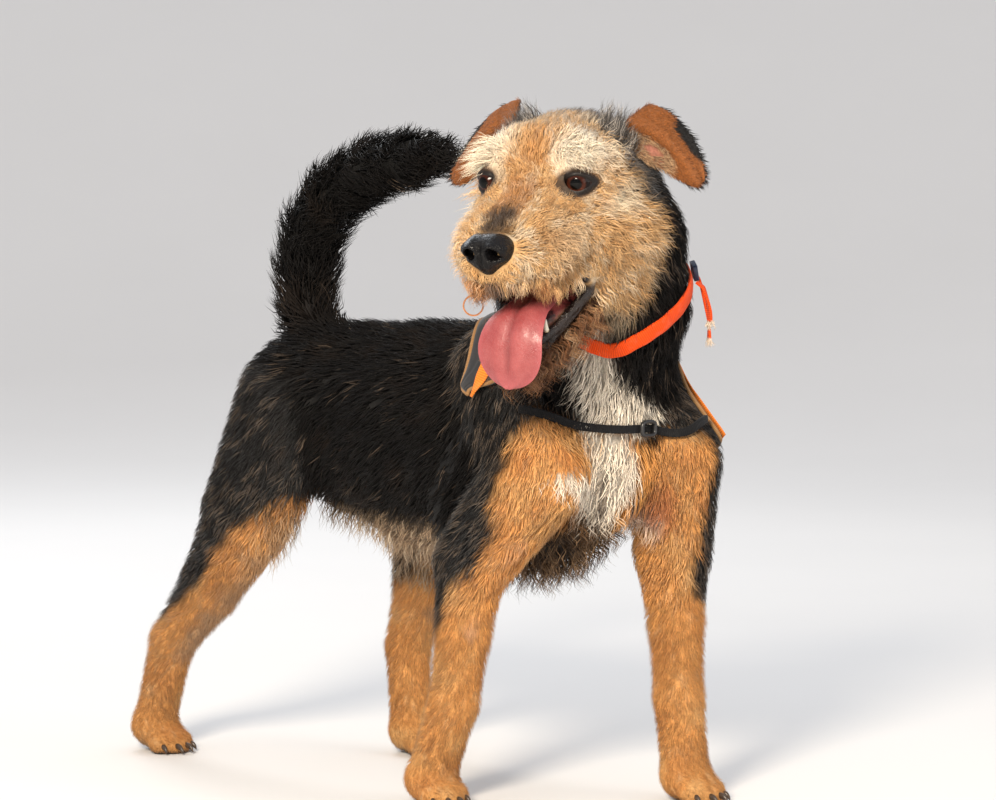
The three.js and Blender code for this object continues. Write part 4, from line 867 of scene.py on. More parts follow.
def flow(p, n, ds):
    w = weights(ds, 8.0)
    f, u, l = -p[:, 1], p[:, 2], p[:, 0]
    flank = np.abs(n[:, 0])
    front = np.clip(-n[:, 1], 0, 1)
    belly = np.clip(-n[:, 2], 0, 1)
    trunk = np.stack([0.25 * n[:, 0] * belly, np.ones(len(p)), -(0.10 + 0.62 * flank + 1.5 * front) - 0.2 * belly], 1)
    rump = smooth(-150, -185, f)
    trunk += rump[:, None] * np.array([0, 0, -1.2])
    neck = unit(-bone_ways(p, ["neck"])) + np.array([0, 0, -0.35])
    tail = bone_ways(p, ["tail"]) + np.array([0, 0, -0.25])
    legs = bone_ways(p, ["fore_left", "fore_right", "hind_left", "hind_right"])
    legs = legs * [1, 1, 1] + np.array([0, 0.22, -0.35])
    paw = smooth(34, 12, u)[:, None]
    legs = legs * (1 - 0.7 * paw) + paw * np.array([0, -0.8, -0.55])
    q, m = to_head(p), n @ HM.T
    x, y, z = q[:, 0], q[:, 1], q[:, 2]
    sx = np.sign(x) * smooth(0, 10, np.abs(x))
    down = smooth(14, -46, z)
    h = np.stack([0.30 * sx * smooth(20, 60, y), -1.0 - 0.0 * x, 0.25 - 1.15 * down], 1)
    mz = (smooth(50, 72, y) * smooth(-26, -44, z))[:, None]  # moustache
    h = h * (1 - mz) + mz * np.stack([0.35 * sx, np.full(len(p), -0.42), np.full(len(p), -1.0)], 1)
    nosef = (smooth(92, 106, y) * smooth(-30, -40, z))[:, None]
    h = h * (1 - nosef) + nosef * np.stack([0.5 * sx, 0 * x, np.full(len(p), -1.0)], 1)
    jowl = (smooth(-40, -78, z) * smooth(40, 20, y))[:, None]
    h = h * (1 - jowl) + jowl * np.stack([0.1 * sx, np.full(len(p), -0.55), np.full(len(p), -1.0)], 1)
    brow = (smooth(17, 8, np.linalg.norm(np.stack([np.abs(x) - 27, y - 38, z - 21], 1), axis=1)))[:, None]
    h = h * (1 - brow) + brow * np.stack([0.75 * sx, np.full(len(p), 0.15), np.full(len(p), 0.55)], 1)
    head = h @ HM
    jl = np.stack([0.15 * sx, 0.45 + 0 * x, -1.0 + 0 * x], 1) @ HM
    bear = w[:, 8] * smooth(-66, -84, z)
    wl = w[:, 3:7].sum(1)
    out = (unit(trunk) * w[:, :1] + neck * w[:, 1:2] + unit(tail) * w[:, 2:3] + unit(legs) * wl[:, None] + unit(head) * w[:, 7:8]
           + unit(head) * (w[:, 8] - bear)[:, None] + jl * bear[:, None])
    # round each eye the hair runs away from the lids
    for s in (1, -1):
        c = np.array([s * EYE_AT[0], EYE_AT[1] + 8, EYE_AT[2]])
        r = q - c
        d = np.linalg.norm(r, axis=1)
        k = (0.9 * smooth(24, 14, d))[:, None]
        out = out * (1 - k) + k * ((r / np.maximum(d, 1e-6)[:, None]) @ HM + 0.5 * unit(head))
    out = out - n * (out * n).sum(1, keepdims=True)
    return unit(out)


def turn_about(v, axis, angle):
    c, s = np.cos(angle)[:, None], np.sin(angle)[:, None]
    return v * c + np.cross(axis, v) * s + axis * (axis * v).sum(1, keepdims=True) * (1 - c)


def features(p, cell, seed):
    """Nearest point of a jittered lattice and two numbers that belong to it."""
    size = np.asarray(cell, float)
    size = np.full(len(p), size) if size.ndim == 0 else size
    q = p / size[:, None]
    i = np.floor(q).astype(np.int64)
    best = np.full(len(p), 1e9)
    where, r1, r2 = np.zeros_like(p), np.zeros(len(p)), np.zeros(len(p))
    for a in (-1, 0, 1):
        for b in (-1, 0, 1):
            for c in (-1, 0, 1):
                k = i + [a, b, c]
                pt = k + np.stack([_hash(k[:, 0], k[:, 1], k[:, 2], seed + s) for s in (1, 2, 3)], 1)
                d = ((pt - q) ** 2).sum(1)
                m = d < best
                best[m], where[m] = d[m], pt[m]
                r1[m], r2[m] = _hash(k[m, 0], k[m, 1], k[m, 2], seed + 4), _hash(k[m, 0], k[m, 1], k[m, 2], seed + 5)
    return where * size[:, None], r1, r2


def hair_mesh(name, nodes, side, norm, width, colour, uv, tip_gain=1.1, root_gain=0.55):
    """Closed tapered tufts of three sides. nodes: (segments + 1, N, 3)."""
    seg, N = len(nodes) - 1, nodes.shape[1]
    per = 3 * seg + 1
    V = np.zeros((N, per, 3))
    C = np.zeros((N, per, 3))
    T = np.zeros((N, per, 2))
    # painted shade: each tuft's colour is darkened towards its root, as in the shade deep in the coat; pale hair lets
    # the light through, so it stays bright down to its root
    root = root_gain + max(0.0, 0.92 - root_gain) * smooth(0.38, 0.66, colour.mean(1))[:, None]
    for i in range(seg):
        s = i / seg
        r = (width * (1 - s ** 1.7) * (0.86 if i == 0 else 1.0))[:, None] * 0.5
        V[:, 3 * i] = nodes[i] - side[i] * r
        V[:, 3 * i + 1] = nodes[i] + side[i] * r
        V[:, 3 * i + 2] = nodes[i] + norm[i] * r * 0.8
        gain = root + (1 - root) * min(1.0, s * 1.9)
        for k in range(3):
            C[:, 3 * i + k] = colour * gain
            T[:, 3 * i + k] = uv + np.array([(k - 1) * 0.0014, (s - 0.5) * 0.0028])
    V[:, per - 1], C[:, per - 1] = nodes[seg], colour * tip_gain
    T[:, per - 1] = uv + np.array([0, 0.0014])
    base = (np.arange(N) * per)[:, None]
    quads, tris = [], [base + [0, 2, 1]]
    for i in range(seg - 1):
        o, m = 3 * i, 3 * i + 3
        for a, b in ((0, 1), (1, 2), (2, 0)):
            quads.append(base + [o + a, o + b, m + b, m + a])
    o = 3 * (seg - 1)
    for a, b in ((0, 1), (1, 2), (2, 0)):
        tris.append(base + [o + a, o + b, per - 1])
    V, C, T = V.reshape(-1, 3), C.reshape(-1, 3), T.reshape(-1, 2)
    V[:, 2] = np.maximum(V[:, 2], 0.15)
    ob = make(name, V, ([np.concatenate(quads)] if quads else []) + [np.concatenate(tris)])
    put_color(ob, "coat", np.clip(C, 0.002, 1))
    put_uv(ob, np.clip(T, 0.001, 0.999))
    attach(ob, "root")
    return ob


def comb(root, n0, way, L, W, depth, seg, wave, lam, clump, pull, seed, lift=None, sway=0.22, follow=True):
    """Nodes, sides and normals of tufts that lie along the coat. Everything per tuft; nodes in body mm."""
    N = len(root)
    rng = np.random.default_rng(seed)
    fp, r1, r2 = features(root, clump, seed)
    d = turn_about(way, n0, (r1 - 0.5) * 2 * sway * 1.6 + rng.normal(0, sway * 0.5, N) + 0.5 * sway * noise(root, 26, seed + 9))
    L = L * (0.84 + 0.32 * r2) * rng.uniform(0.82, 1.14, N)
    top = rng.uniform(0.62, 1.04, N) if lift is None else lift * rng.uniform(0.8, 1.1, N)
    phase = r1 * 6.28 + rng.normal(0, 0.5, N)
    p, n = root - n0 * 0.8, n0
    nodes, sides, norms = [p], [np.cross(n0, d)], [n0]
    pullv = (fp - root)
    pullv -= n0 * (pullv * n0).sum(1, keepdims=True)
    size = np.linalg.norm(pullv, axis=1, keepdims=True)
    pullv *= np.minimum(1, (clump if np.isscalar(clump) else clump[:, None]) / np.maximum(size, 1e-6))
    spine = root.copy()
    dd = d
    for i in range(1, seg + 1):
        s = i / seg
        spine = spine + dd * (L / seg)[:, None]
        if follow:
            g = sample(DG, spine)
            gl = np.linalg.norm(g, axis=1, keepdims=True)
            n = g / np.maximum(gl, 1e-6)
            want = -depth * (1 - top * s ** 0.85)
            have = sample(D, spine)
            step = np.clip((want - have) / np.clip(gl[:, 0], 0.5, 2.0), -6, 6)
            spine = spine + n * step[:, None]
        else:
            n = n0
            spine = spine + n0 * (depth * top / seg)[:, None]
        dd = unit(dd - n * (dd * n).sum(1, keepdims=True))
        sd = np.cross(n, dd)
        ang = phase + s * L / lam * 6.28
        q = spine + pullv * (pull * s ** 1.3)[:, None] if not np.isscalar(pull) else spine + pullv * (pull * s ** 1.3)
        q = q + sd * (wave * s ** 0.7 * np.sin(ang))[:, None] + n * (wave * 0.6 * s ** 0.7 * (np.cos(ang) - 0.6))[:, None]
        nodes.append(q)
        sides.append(sd)
        norms.append(n)
    return np.array(nodes), np.array(sides), np.array(norms), r1, r2, rng


def curls(root, n0, way, L, rise, droop, curl, pitch, clump, pull, seed, seg):
    """Nodes, sides and normals of hair that leaves the skin, droops and winds round its own line."""
    N = len(root)
    rng = np.random.default_rng(seed)
    fp, r1, r2 = features(root, clump, seed)
    full = lambda v: np.asarray(v, float) if np.ndim(v) else np.full(N, float(v))
    L = full(L) * (0.82 + 0.36 * r2) * rng.uniform(0.78, 1.12, N)
    dd = unit(unit(way) + n0 * full(rise)[:, None] + rng.normal(0, 0.13, (N, 3)) + 0.35 * (np.stack([r1, r2, (r1 * 7.3) % 1], 1) - 0.5))
    ph = r1 * 6.28 + rng.normal(0, 0.45, N)
    turn = np.where(r2 > 0.5, 1.0, -1.0)
    R0, lam = full(curl) * rng.uniform(0.8, 1.2, N), full(pitch) * (0.85 + 0.3 * r1)
    pullv = fp - root
    pullv -= n0 * (pullv * n0).sum(1, keepdims=True)
    size = np.linalg.norm(pullv, axis=1, keepdims=True)
    pullv *= np.minimum(1, clump / np.maximum(size, 1e-6))
    a = unit(np.cross(dd, n0 + 1e-4))
    nodes, sides, norms = [root - n0 * 0.8], [a], [n0]
    pos = root.copy()
    drop = full(droop)
    for i in range(1, seg + 1):
        t = i / seg
        dd = unit(dd + np.stack([0 * drop, 0 * drop, -drop / seg], 1))
        pos = pos + dd * (L / seg)[:, None]
        a = unit(np.cross(dd, n0 + 1e-4))
        b = np.cross(a, dd)
        ang = ph + turn * t * L / lam * 6.28
        R = R0 * min(1.0, t * 2.2)
        q = pos + pullv * (pull * t ** 1.2) + a * (R * (np.cos(ang) - np.cos(ph)))[:, None] + b * (R * (np.sin(ang) - np.sin(ph)))[:, None]
        nodes.append(q)
        sides.append(a)
        norms.append(unit(b + 0.001))
    return np.array(nodes), np.array(sides), np.array(norms), r1, r2, rng


def sample_faces(V, faces, density, seed, spacing=None):
    """Random points on faces, each face's share by its area times density."""
    rng = np.random.default_rng(seed)
    T = np.concatenate([F if F.shape[1] == 3 else np.concatenate([F[:, [0, 1, 2]], F[:, [0, 2, 3]]]) for F in faces])
    a, b, c = V[T[:, 0]], V[T[:, 1]], V[T[:, 2]]
    area = np.linalg.norm(np.cross(b - a, c - a), axis=1) / 2
    want = area * density((a + b + c) / 3)
    run = np.cumsum(want)
    N = int(run[-1])
    pick = np.searchsorted(run, (np.arange(N) + rng.random(N)) * run[-1] / N)
    pick = np.minimum(pick, len(T) - 1)
    r = rng.random((N, 2))
    flip = r.sum(1) > 1
    r[flip] = 1 - r[flip]
    p = a[pick] + r[:, :1] * (b - a)[pick] + r[:, 1:] * (c - a)[pick]
    return p, unit(np.cross(b - a, c - a))[pick]


# ---------- materials ----------
class Look:
    """A node-built material: short names for the nodes it needs."""
    def __init__(self, name):
        self.m = bpy.data.materials.new(name)
        self.m.use_nodes = True
        self.t = self.m.node_tree
        self.b = self.t.nodes["Principled BSDF"]

    def node(self, kind, **inputs):
        n = self.t.nodes.new(kind)
        for k, v in inputs.items():
            key = k.replace("_", " ")
            if key in n.inputs:
                s = n.inputs[key]
                if isinstance(v, bpy.types.NodeSocket):
                    self.t.links.new(v, s)
                else:
                    s.default_value = v
            else:
                setattr(n, k, v)
        return n

    def set(self, **inputs):
        for k, v in inputs.items():
            s = self.b.inputs[k.replace("_", " ")]
            if isinstance(v, bpy.types.NodeSocket):
                self.t.links.new(v, s)
            else:
                s.default_value = v
        return self

    def attr(self, name):
        n = self.t.nodes.new("ShaderNodeAttribute")
        n.attribute_name = name
        return n

    def math(self, op, a, b=0.5, clamp=False):
        n = self.t.nodes.new("ShaderNodeMath")
        n.operation, n.use_clamp = op, clamp
        for s, v in zip(n.inputs, (a, b)):
            if isinstance(v, bpy.types.NodeSocket):
                self.t.links.new(v, s)
            else:
                s.default_value = v
        return n.outputs[0]

    def mix(self, f, a, b, blend="MIX"):
        n = self.t.nodes.new("ShaderNodeMix")
        n.data_type, n.blend_type = "RGBA", blend
        for s, v in zip((n.inputs[0], n.inputs[6], n.inputs[7]), (f, a, b)):
            if isinstance(v, bpy.types.NodeSocket):
                self.t.links.new(v, s)
            else:
                s.default_value = v if isinstance(v, (int, float)) else (*v, 1)[:4]
        return n.outputs[2]

    def noise(self, scale, detail=3.0, rough=0.55, vector=None, dist=0.0):
        n = self.t.nodes.new("ShaderNodeTexNoise")
        n.inputs["Scale"].default_value, n.inputs["Detail"].default_value = scale, detail
        n.inputs["Roughness"].default_value, n.inputs["Distortion"].default_value = rough, dist
        if vector is None:
            vector = self.t.nodes.new("ShaderNodeTexCoord").outputs["Object"]
        self.t.links.new(vector, n.inputs["Vector"])
        return n.outputs["Fac"]

    def ramp(self, fac, lo, hi):
        n = self.t.nodes.new("ShaderNodeMapRange")
        self.t.links.new(fac, n.inputs["Value"])
        n.inputs["From Min"].default_value, n.inputs["From Max"].default_value = lo[0], hi[0]
        n.inputs["To Min"].default_value, n.inputs["To Max"].default_value = lo[1], hi[1]
        return n.outputs["Result"]

    def bump(self, height, strength, distance=0.001, normal=None):
        n = self.t.nodes.new("ShaderNodeBump")
        n.inputs["Distance"].default_value = distance
        if isinstance(strength, (int, float)):
            n.inputs["Strength"].default_value = strength
        else:
            self.t.links.new(strength, n.inputs["Strength"])
        self.t.links.new(height, n.inputs["Height"])
        if normal is not None:
            self.t.links.new(normal, n.inputs["Normal"])
        return n.outputs["Normal"]


def coat_look(name, rough, sheen, gloss):
    k = Look(name)
    col = k.attr("coat").outputs["Color"]
    vary = k.ramp(k.noise(900, 2), (0.3, 0.78), (0.75, 1.18))
    k.set(Base_Color=k.mix(1.0, col, vary, "MULTIPLY"), Roughness=rough, Specular_IOR_Level=gloss, Sheen_Weight=sheen, Sheen_Roughness=0.45)
    k.set(Normal=k.bump(k.noise(2600, 2), 0.25, 0.0004))
    return k.m


def skin_look():
    k = Look("skin")
    col = k.attr("skin").outputs["Color"]
    wet, lip = k.attr("wet").outputs["Fac"], k.attr("lip").outputs["Fac"]
    furry = k.mix(1.0, col, k.ramp(k.noise(420, 4, 0.7), (0.3, 0.55), (0.75, 1.15)), "MULTIPLY")
    ridges = k.noise(260, 4, 0.6)
    pink = k.mix(ridges, (0.20, 0.036, 0.034), (0.30, 0.075, 0.065))
    pink = k.mix(k.ramp(k.noise(95, 3, 0.6), (0.42, 0.0), (0.55, 0.92)), pink, (0.016, 0.010, 0.011))
    dark = k.mix(k.noise(300, 3), (0.004, 0.0035, 0.004), (0.020, 0.014, 0.014))
    out = k.mix(wet, furry, pink)
    out = k.mix(lip, out, dark)
    shine = k.math("MAXIMUM", wet, lip)
    k.set(Base_Color=out, Roughness=k.ramp(shine, (0, 0.85), (1, 0.16)), Specular_IOR_Level=0.4)
    k.set(Normal=k.bump(k.noise(700, 4, 0.6), 0.5, 0.0009, k.bump(k.noise(170, 4, 0.65), k.math("MULTIPLY", lip, 0.9), 0.0030)))
    return k.m


def eye_look():
    k = Look("eye")
    col = k.attr("eye").outputs["Color"]
    k.set(Base_Color=k.mix(1.0, col, k.ramp(k.noise(1600, 3), (0.3, 0.7), (0.7, 1.2)), "MULTIPLY"), Roughness=0.07, Specular_IOR_Level=0.11, Coat_Weight=0.09, Coat_Roughness=0.02)
    return k.m


def lid_look():
    k = Look("eyelid")
    col = k.attr("skin").outputs["Color"]
    rim = k.attr("rim").outputs["Fac"]
    k.set(Base_Color=k.mix(rim, k.mix(1.0, col, k.ramp(k.noise(800, 3), (0.3, 0.6), (0.7, 1.15)), "MULTIPLY"), (0.010, 0.007, 0.006)), Roughness=k.ramp(rim, (0, 0.8), (1, 0.38)), Specular_IOR_Level=0.22)
    k.set(Normal=k.bump(k.noise(1300, 4, 0.6), 0.5, 0.0005))
    return k.m


def nose_look():
    k = Look("nose_leather")
    v = k.t.nodes.new("ShaderNodeTexVoronoi")
    v.feature = "DISTANCE_TO_EDGE"
    v.inputs["Scale"].default_value = 900
    k.t.links.new(k.t.nodes.new("ShaderNodeTexCoord").outputs["Object"], v.inputs["Vector"])
    cells = k.ramp(v.outputs["Distance"], (0.0, 0.0), (0.22, 1.0))
    wetness = k.noise(160, 3)
    k.set(Base_Color=k.mix(cells, (0.0018, 0.0017, 0.0020), (0.0060, 0.0055, 0.0060)), Roughness=k.ramp(wetness, (0.35, 0.20), (0.65, 0.36)), Specular_IOR_Level=0.13,
          Coat_Weight=0.08, Coat_Roughness=0.08)
    k.set(Normal=k.bump(cells, 0.42, 0.0006, k.bump(k.noise(300, 3), 0.25, 0.0012)))
    return k.m


def tongue_look():
    k = Look("tongue_flesh")
    edge, mid = k.attr("edge").outputs["Fac"], k.attr("mid").outputs["Fac"]
    big = k.noise(70, 4, 0.6)
    c = k.mix(k.ramp(big, (0.35, 0.0), (0.65, 1.0)), (0.25, 0.046, 0.048), (0.33, 0.078, 0.078))
    # painted shade: darker along the groove down the middle of the tongue
    c = k.mix(k.math("MULTIPLY", mid, 0.62), c, (0.15, 0.028, 0.030))
    c = k.mix(k.math("MULTIPLY", edge, 0.50), c, (0.36, 0.085, 0.095))
    pap = k.t.nodes.new("ShaderNodeTexVoronoi")
    pap.inputs["Scale"].default_value = 1150
    k.t.links.new(k.t.nodes.new("ShaderNodeTexCoord").outputs["Object"], pap.inputs["Vector"])
    dots = k.ramp(pap.outputs["Distance"], (0.1, 1.0), (0.55, 0.0))
    c = k.mix(k.math("MULTIPLY", dots, 0.16), c, (0.52, 0.20, 0.20))
    k.set(Base_Color=c, Roughness=k.ramp(k.noise(240, 3), (0.35, 0.30), (0.7, 0.50)), Specular_IOR_Level=0.35, Subsurface_Weight=0.12, Subsurface_Scale=0.003,
          Coat_Weight=0.10, Coat_Roughness=0.22)
    k.b.inputs["Subsurface Radius"].default_value = (1.0, 0.3, 0.25)
    k.set(Normal=k.bump(dots, 0.35, 0.0005, k.bump(k.noise(130, 4), 0.35, 0.0016)))
    return k.m


def tooth_look():
    k = Look("tooth")
    root = k.attr("root").outputs["Fac"]
    k.set(Base_Color=k.mix(root, k.mix(k.noise(300, 3), (0.74, 0.68, 0.53), (0.84, 0.80, 0.68)), (0.52, 0.38, 0.20)), Roughness=0.22, Coat_Weight=0.4, Coat_Roughness=0.1)
    k.set(Normal=k.bump(k.noise(500, 2), 0.15, 0.0005))
    return k.m


def claw_look():
    k = Look("claw")
    k.set(Base_Color=k.mix(k.noise(380, 3, 0.6), (0.018, 0.012, 0.009), (0.085, 0.055, 0.035)), Roughness=0.34)
    k.set(Normal=k.bump(k.noise(700, 3), 0.3, 0.0006))
    return k.m


def pad_look():
    k = Look("pad_leather")
    k.set(Base_Color=k.mix(k.noise(500, 3), (0.018, 0.014, 0.013), (0.05, 0.04, 0.036)), Roughness=0.75)
    k.set(Normal=k.bump(k.noise(900, 3), 0.7, 0.001))
    return k.m


def webbing_look(name, colour, deep, rough=0.62, pitch=1.15, edge_colour=None, worn=0.05):
    """Woven tape: su and sv are mm across and along it."""
    k = Look(name)
    su, sv = k.attr("su").outputs["Fac"], k.attr("sv").outputs["Fac"]
    a = k.math("SINE", k.math("MULTIPLY", su, 2 * math.pi / pitch))
    diag = k.math("ADD", k.math("MULTIPLY", sv, 2 * math.pi / (pitch * 1.25)), k.math("MULTIPLY", a, 1.1))
    b = k.math("SINE", diag)
    weave = k.math("MULTIPLY_ADD", k.math("MULTIPLY", a, b), 0.5)
    wear = k.noise(140, 4, 0.6)
    c = k.mix(k.ramp(weave, (0.15, 0.0), (0.75, 1.0)), deep, colour)
    c = k.mix(k.math("MULTIPLY", k.ramp(wear, (0.52, 0.0), (0.75, 0.5)), 1.0), c, tuple(min(1, v * 0.75 + worn) for v in colour))
    if edge_colour:
        c = k.mix(k.attr("edge").outputs["Fac"], c, edge_colour)
    k.set(Base_Color=c, Roughness=rough, Sheen_Weight=0.05, Sheen_Roughness=0.4, Specular_IOR_Level=0.18)
    k.set(Normal=k.bump(weave, 0.6, 0.0006, k.bump(wear, 0.2, 0.0015)))
    return k.m


def yoke_look():
    k = Look("padded_mesh")
    su, sv = k.attr("su").outputs["Fac"], k.attr("sv").outputs["Fac"]
    a = k.math("SINE", k.math("MULTIPLY", su, 2 * math.pi / 2.1))
    b = k.math("SINE", k.math("MULTIPLY", sv, 2 * math.pi / 2.1))
    holes = k.math("MULTIPLY", a, b)
    c = k.mix(k.ramp(holes, (0.1, 0.0), (0.7, 1.0)), (0.020, 0.020, 0.023), (0.007, 0.007, 0.008))
    c = k.mix(k.ramp(k.noise(60, 4), (0.5, 0.0), (0.8, 0.35)), c, (0.050, 0.046, 0.042))
    k.set(Base_Color=c, Roughness=0.72, Sheen_Weight=0.2, Specular_IOR_Level=0.25)
    k.set(Normal=k.bump(holes, -0.5, 0.0007, k.bump(k.noise(45, 3), 0.25, 0.002)))
    return k.m


def plastic_look(name, colour, rough):
    k = Look(name)
    k.set(Base_Color=k.mix(k.noise(120, 4), tuple(v * 0.8 for v in colour), tuple(min(1, v * 1.25 + 0.004) for v in colour)), Roughness=k.ramp(k.noise(220, 3), (0.3, rough * 0.8), (0.7, rough * 1.25)))
    k.set(Normal=k.bump(k.noise(1500, 2), 0.12, 0.0003))
    return k.m


def floor_look():
    k = Look("floor")
    k.set(Base_Color=k.mix(k.noise(3, 3), (0.71, 0.70, 0.685), (0.74, 0.73, 0.715)), Roughness=0.85, Specular_IOR_Level=0.2)
    return k.m


def dress(ob, look, *nodes):
    ob.data.materials.clear()
    ob.data.materials.append(look)
    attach(ob, "root")
    if nodes:
        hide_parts(*nodes)
    return ob


# ---------- general builders ----------
def grid_faces(n, m, wrap_m=True, offset=0):
    """Quads of a grid of n rows and m columns."""
    i, j = np.meshgrid(np.arange(n - 1), np.arange(m if wrap_m else m - 1), indexing="ij")
    i, j = i.ravel(), j.ravel()
    k = (j + 1) % m
    return np.stack([i * m + j, i * m + k, (i + 1) * m + k, (i + 1) * m + j], 1) + offset


def outward(V, faces):
    """Turns closed faces so that they look out."""
    vol = 0
    for F in faces:
        for i in range(1, F.shape[1] - 1):
            vol += (V[F[:, 0]] * np.cross(V[F[:, i]], V[F[:, i + 1]])).sum()
    return faces if vol > 0 else [F[:, ::-1] for F in faces]


def sweep(pts, side, out, prof, closed=False, scale=None, lift=None):
    """A closed ring profile of (side, out) carried along pts. Returns V, faces."""
    n, m = len(pts), len(prof)
    sc = np.ones(n) if scale is None else scale
    lf = np.zeros(n) if lift is None else lift
    V = pts[:, None] + side[:, None] * (prof[:, 0] * sc[:, None])[..., None] + out[:, None] * (prof[:, 1] + lf[:, None])[..., None]
    V = V.reshape(-1, 3)
    Q = grid_faces(n, m)
    tris = []
    if closed:
        j = np.arange(m)
        k = (j + 1) % m
        Q = np.concatenate([Q, np.stack([(n - 1) * m + j, (n - 1) * m + k, k, j], 1)])
    else:
        for end, row in ((0, 0), (1, n - 1)):
            c = len(V)
            V = np.concatenate([V, V[row * m:(row + 1) * m].mean(0, keepdims=True)])
            j = np.arange(m)
            k = (j + 1) % m
            t = np.stack([row * m + j, row * m + k, np.full(m, c)], 1)
            tris.append(t[:, ::-1] if end == 0 else t)
    faces = [Q] + ([np.concatenate(tris)] if tris else [])
    return V, outward(V, faces)


def tape_profile(w, t, cols=9, crown=0.3):
    """Flat tape's cross section, rounded at its edges."""
    s = np.linspace(-1, 1, cols)
    top = np.stack([s * w / 2 * 0.97, t / 2 + crown * (1 - s ** 2) * 0.5], 1)
    bot = np.stack([s[::-1] * w / 2 * 0.97, np.full(cols, -t / 2)], 1)
    r = [[w / 2, t * 0.25], [w / 2, -t * 0.25]]
    l = [[-w / 2, -t * 0.25], [-w / 2, t * 0.25]]
    return np.concatenate([top, r, bot, l])


def put_tape(ob, pts, prof, closed, extra=0):
    """su, sv (mm across and along) and an edge mark for woven looks."""
    step = np.linalg.norm(np.diff(pts, axis=0), axis=1)
    run = np.concatenate([[0], np.cumsum(step)])
    su = np.tile(prof[:, 0], len(pts))
    sv = np.repeat(run, len(prof))
    w = np.abs(prof[:, 0]).max()
    ed = np.tile(smooth(0.80, 0.97, np.abs(prof[:, 0]) / w), len(pts))
    pad = len(ob.data.vertices) - len(su)
    put_float(ob, "su", np.concatenate([su, np.zeros(pad)]))
    put_float(ob, "sv", np.concatenate([sv, np.zeros(pad)]))
    put_float(ob, "edge", np.concatenate([ed, np.zeros(pad)]))


def join_meshes(name, parts):
    """parts: (V, faces) lists. One object."""
    Vs, by = [], {}
    o = 0
    for V, faces in parts:
        Vs.append(V)
        for F in faces:
            by.setdefault(F.shape[1], []).append(F + o)
        o += len(V)
    return make(name, np.concatenate(Vs), [np.concatenate(v) for v in by.values()])


def soft_box(c, axes, size, r=0.9, n=3):
    """A box with rounded edges. axes: rows."""
    k = 2 * n + 2
    u = np.concatenate([-np.cos(np.linspace(0, math.pi / 2, n + 1)), np.cos(np.linspace(math.pi / 2, 0, n + 1))])
    half = np.array(size) / 2
    V, faces, o = [], [], 0
    for ax in range(3):
        for sg in (1, -1):
            i, j = (ax + 1) % 3, (ax + 2) % 3
            a, b = np.meshgrid(u, u, indexing="ij")
            q = np.zeros((k, k, 3))
            inner = half - r
            q[..., i] = np.sign(a) * inner[i]
            q[..., j] = np.sign(b) * inner[j]
            q[..., ax] = sg * inner[ax]
            d = np.zeros((k, k, 3))
            ta, tb = np.sign(a) * np.tan(np.abs(a) * math.pi / 4), np.sign(b) * np.tan(np.abs(b) * math.pi / 4)
            d[..., i], d[..., j] = ta, tb
            d[..., ax] = sg
            d = unit(d)
            q = q + d * r
            V.append(q.reshape(-1, 3))
            F = grid_faces(k, k, False, o)
            faces.append(F if sg > 0 else F[:, ::-1])
            o += k * k
    V = np.concatenate(V) @ np.array(axes) + c
    return V, [np.concatenate(faces)]


# ---------- head pieces ----------
def eye_axes(s, turn=0.42):
    f = unit(HF + turn * s * HL)
    left = unit(np.cross(f, HU))
    return left, f, np.cross(left, f)


def eyeball(s):
    left, f, up = eye_axes(s, 0.30)
    f = unit(f + 0.02 * up)
    left = unit(np.cross(f, HU))
    up = np.cross(left, f)
    c = H(EYE_AT[0] * s, EYE_AT[1], EYE_AT[2])
    n, m = 44, 56
    phi = np.concatenate([np.linspace(0.02, 0.62, 30), np.linspace(0.66, 1.9, n - 30)])
    th = np.arange(m) / m * 2 * math.pi
    r = EYE_R - 0.15 + 0.75 * (1 - smooth(0.30, 0.64, phi))
    d = f * np.cos(phi)[:, None, None] + (left * np.cos(th)[:, None] + up * np.sin(th)[:, None])[None] * np.sin(phi)[:, None, None]
    V = (c + d * r[:, None, None]).reshape(-1, 3)
    faces = [grid_faces(n, m)]
    V = np.concatenate([V, [c + f * (EYE_R + 0.6)], [V[-m:].mean(0)]])
    j = np.arange(m)
    k = (j + 1) % m
    faces.append(np.concatenate([np.stack([k, j, np.full(m, n * m)], 1), np.stack([(n - 1) * m + j, (n - 1) * m + k, np.full(m, n * m + 1)], 1)]))
    faces = outward(V, faces)
    ob = make("eye_left_ball" if s > 0 else "eye_right_ball", V, faces)
    ph, tt = np.repeat(phi, m), np.tile(th, n)
    streak = 0.5 + 0.5 * np.sin(tt * 23 + 2.0 * np.sin(tt * 7)) * np.sin(tt * 41 + 1.3)
    iris = np.array([0.024, 0.0062, 0.0030]) * (0.75 + 0.7 * streak[:, None])
    # painted light: the iris is painted up to twice as bright on its lower side, where the light coming through the
    # cornea falls
    iris = iris * (0.5 + 0.9 * smooth(0.28, 0.42, ph) * smooth(0.68, 0.52, ph))[:, None] * (1.0 + 1.1 * smooth(0.3, -0.9, np.sin(tt)))[:, None]
    col = lay_on(np.full((n * m, 3), 0.0015), smooth(0.27, 0.40, ph), iris)
    col = lay_on(col, smooth(0.54, 0.68, ph), np.array([0.006, 0.0035, 0.003]))
    col = lay_on(col, smooth(0.86, 1.00, ph), np.array([0.030, 0.016, 0.012]))
    put_color(ob, "eye", np.concatenate([col, [[0.0015] * 3], [[0.05, 0.03, 0.02]]]))
    return ob


def skin_cast(o, way, far=30.0):
    """Where rays from o first meet the skin under the coat, socket left out. Distance along the ray."""
    def f(p):
        ds = part_ds(p)
        return combine(ds) + depth_of(p, ds)
    t = np.full(len(o), 0.0)
    for _ in range(40):
        d = f(o + way * t[:, None])
        t = np.minimum(t + np.clip(d * 0.8, -3, 3), far)
    return t


LID_ROWS = np.array([-0.9, 0.0, 0.5, 1.0, 1.7, 2.5, 3.4, 4.4, 5.6, 7.0, 8.6, 10.4, 12.4])


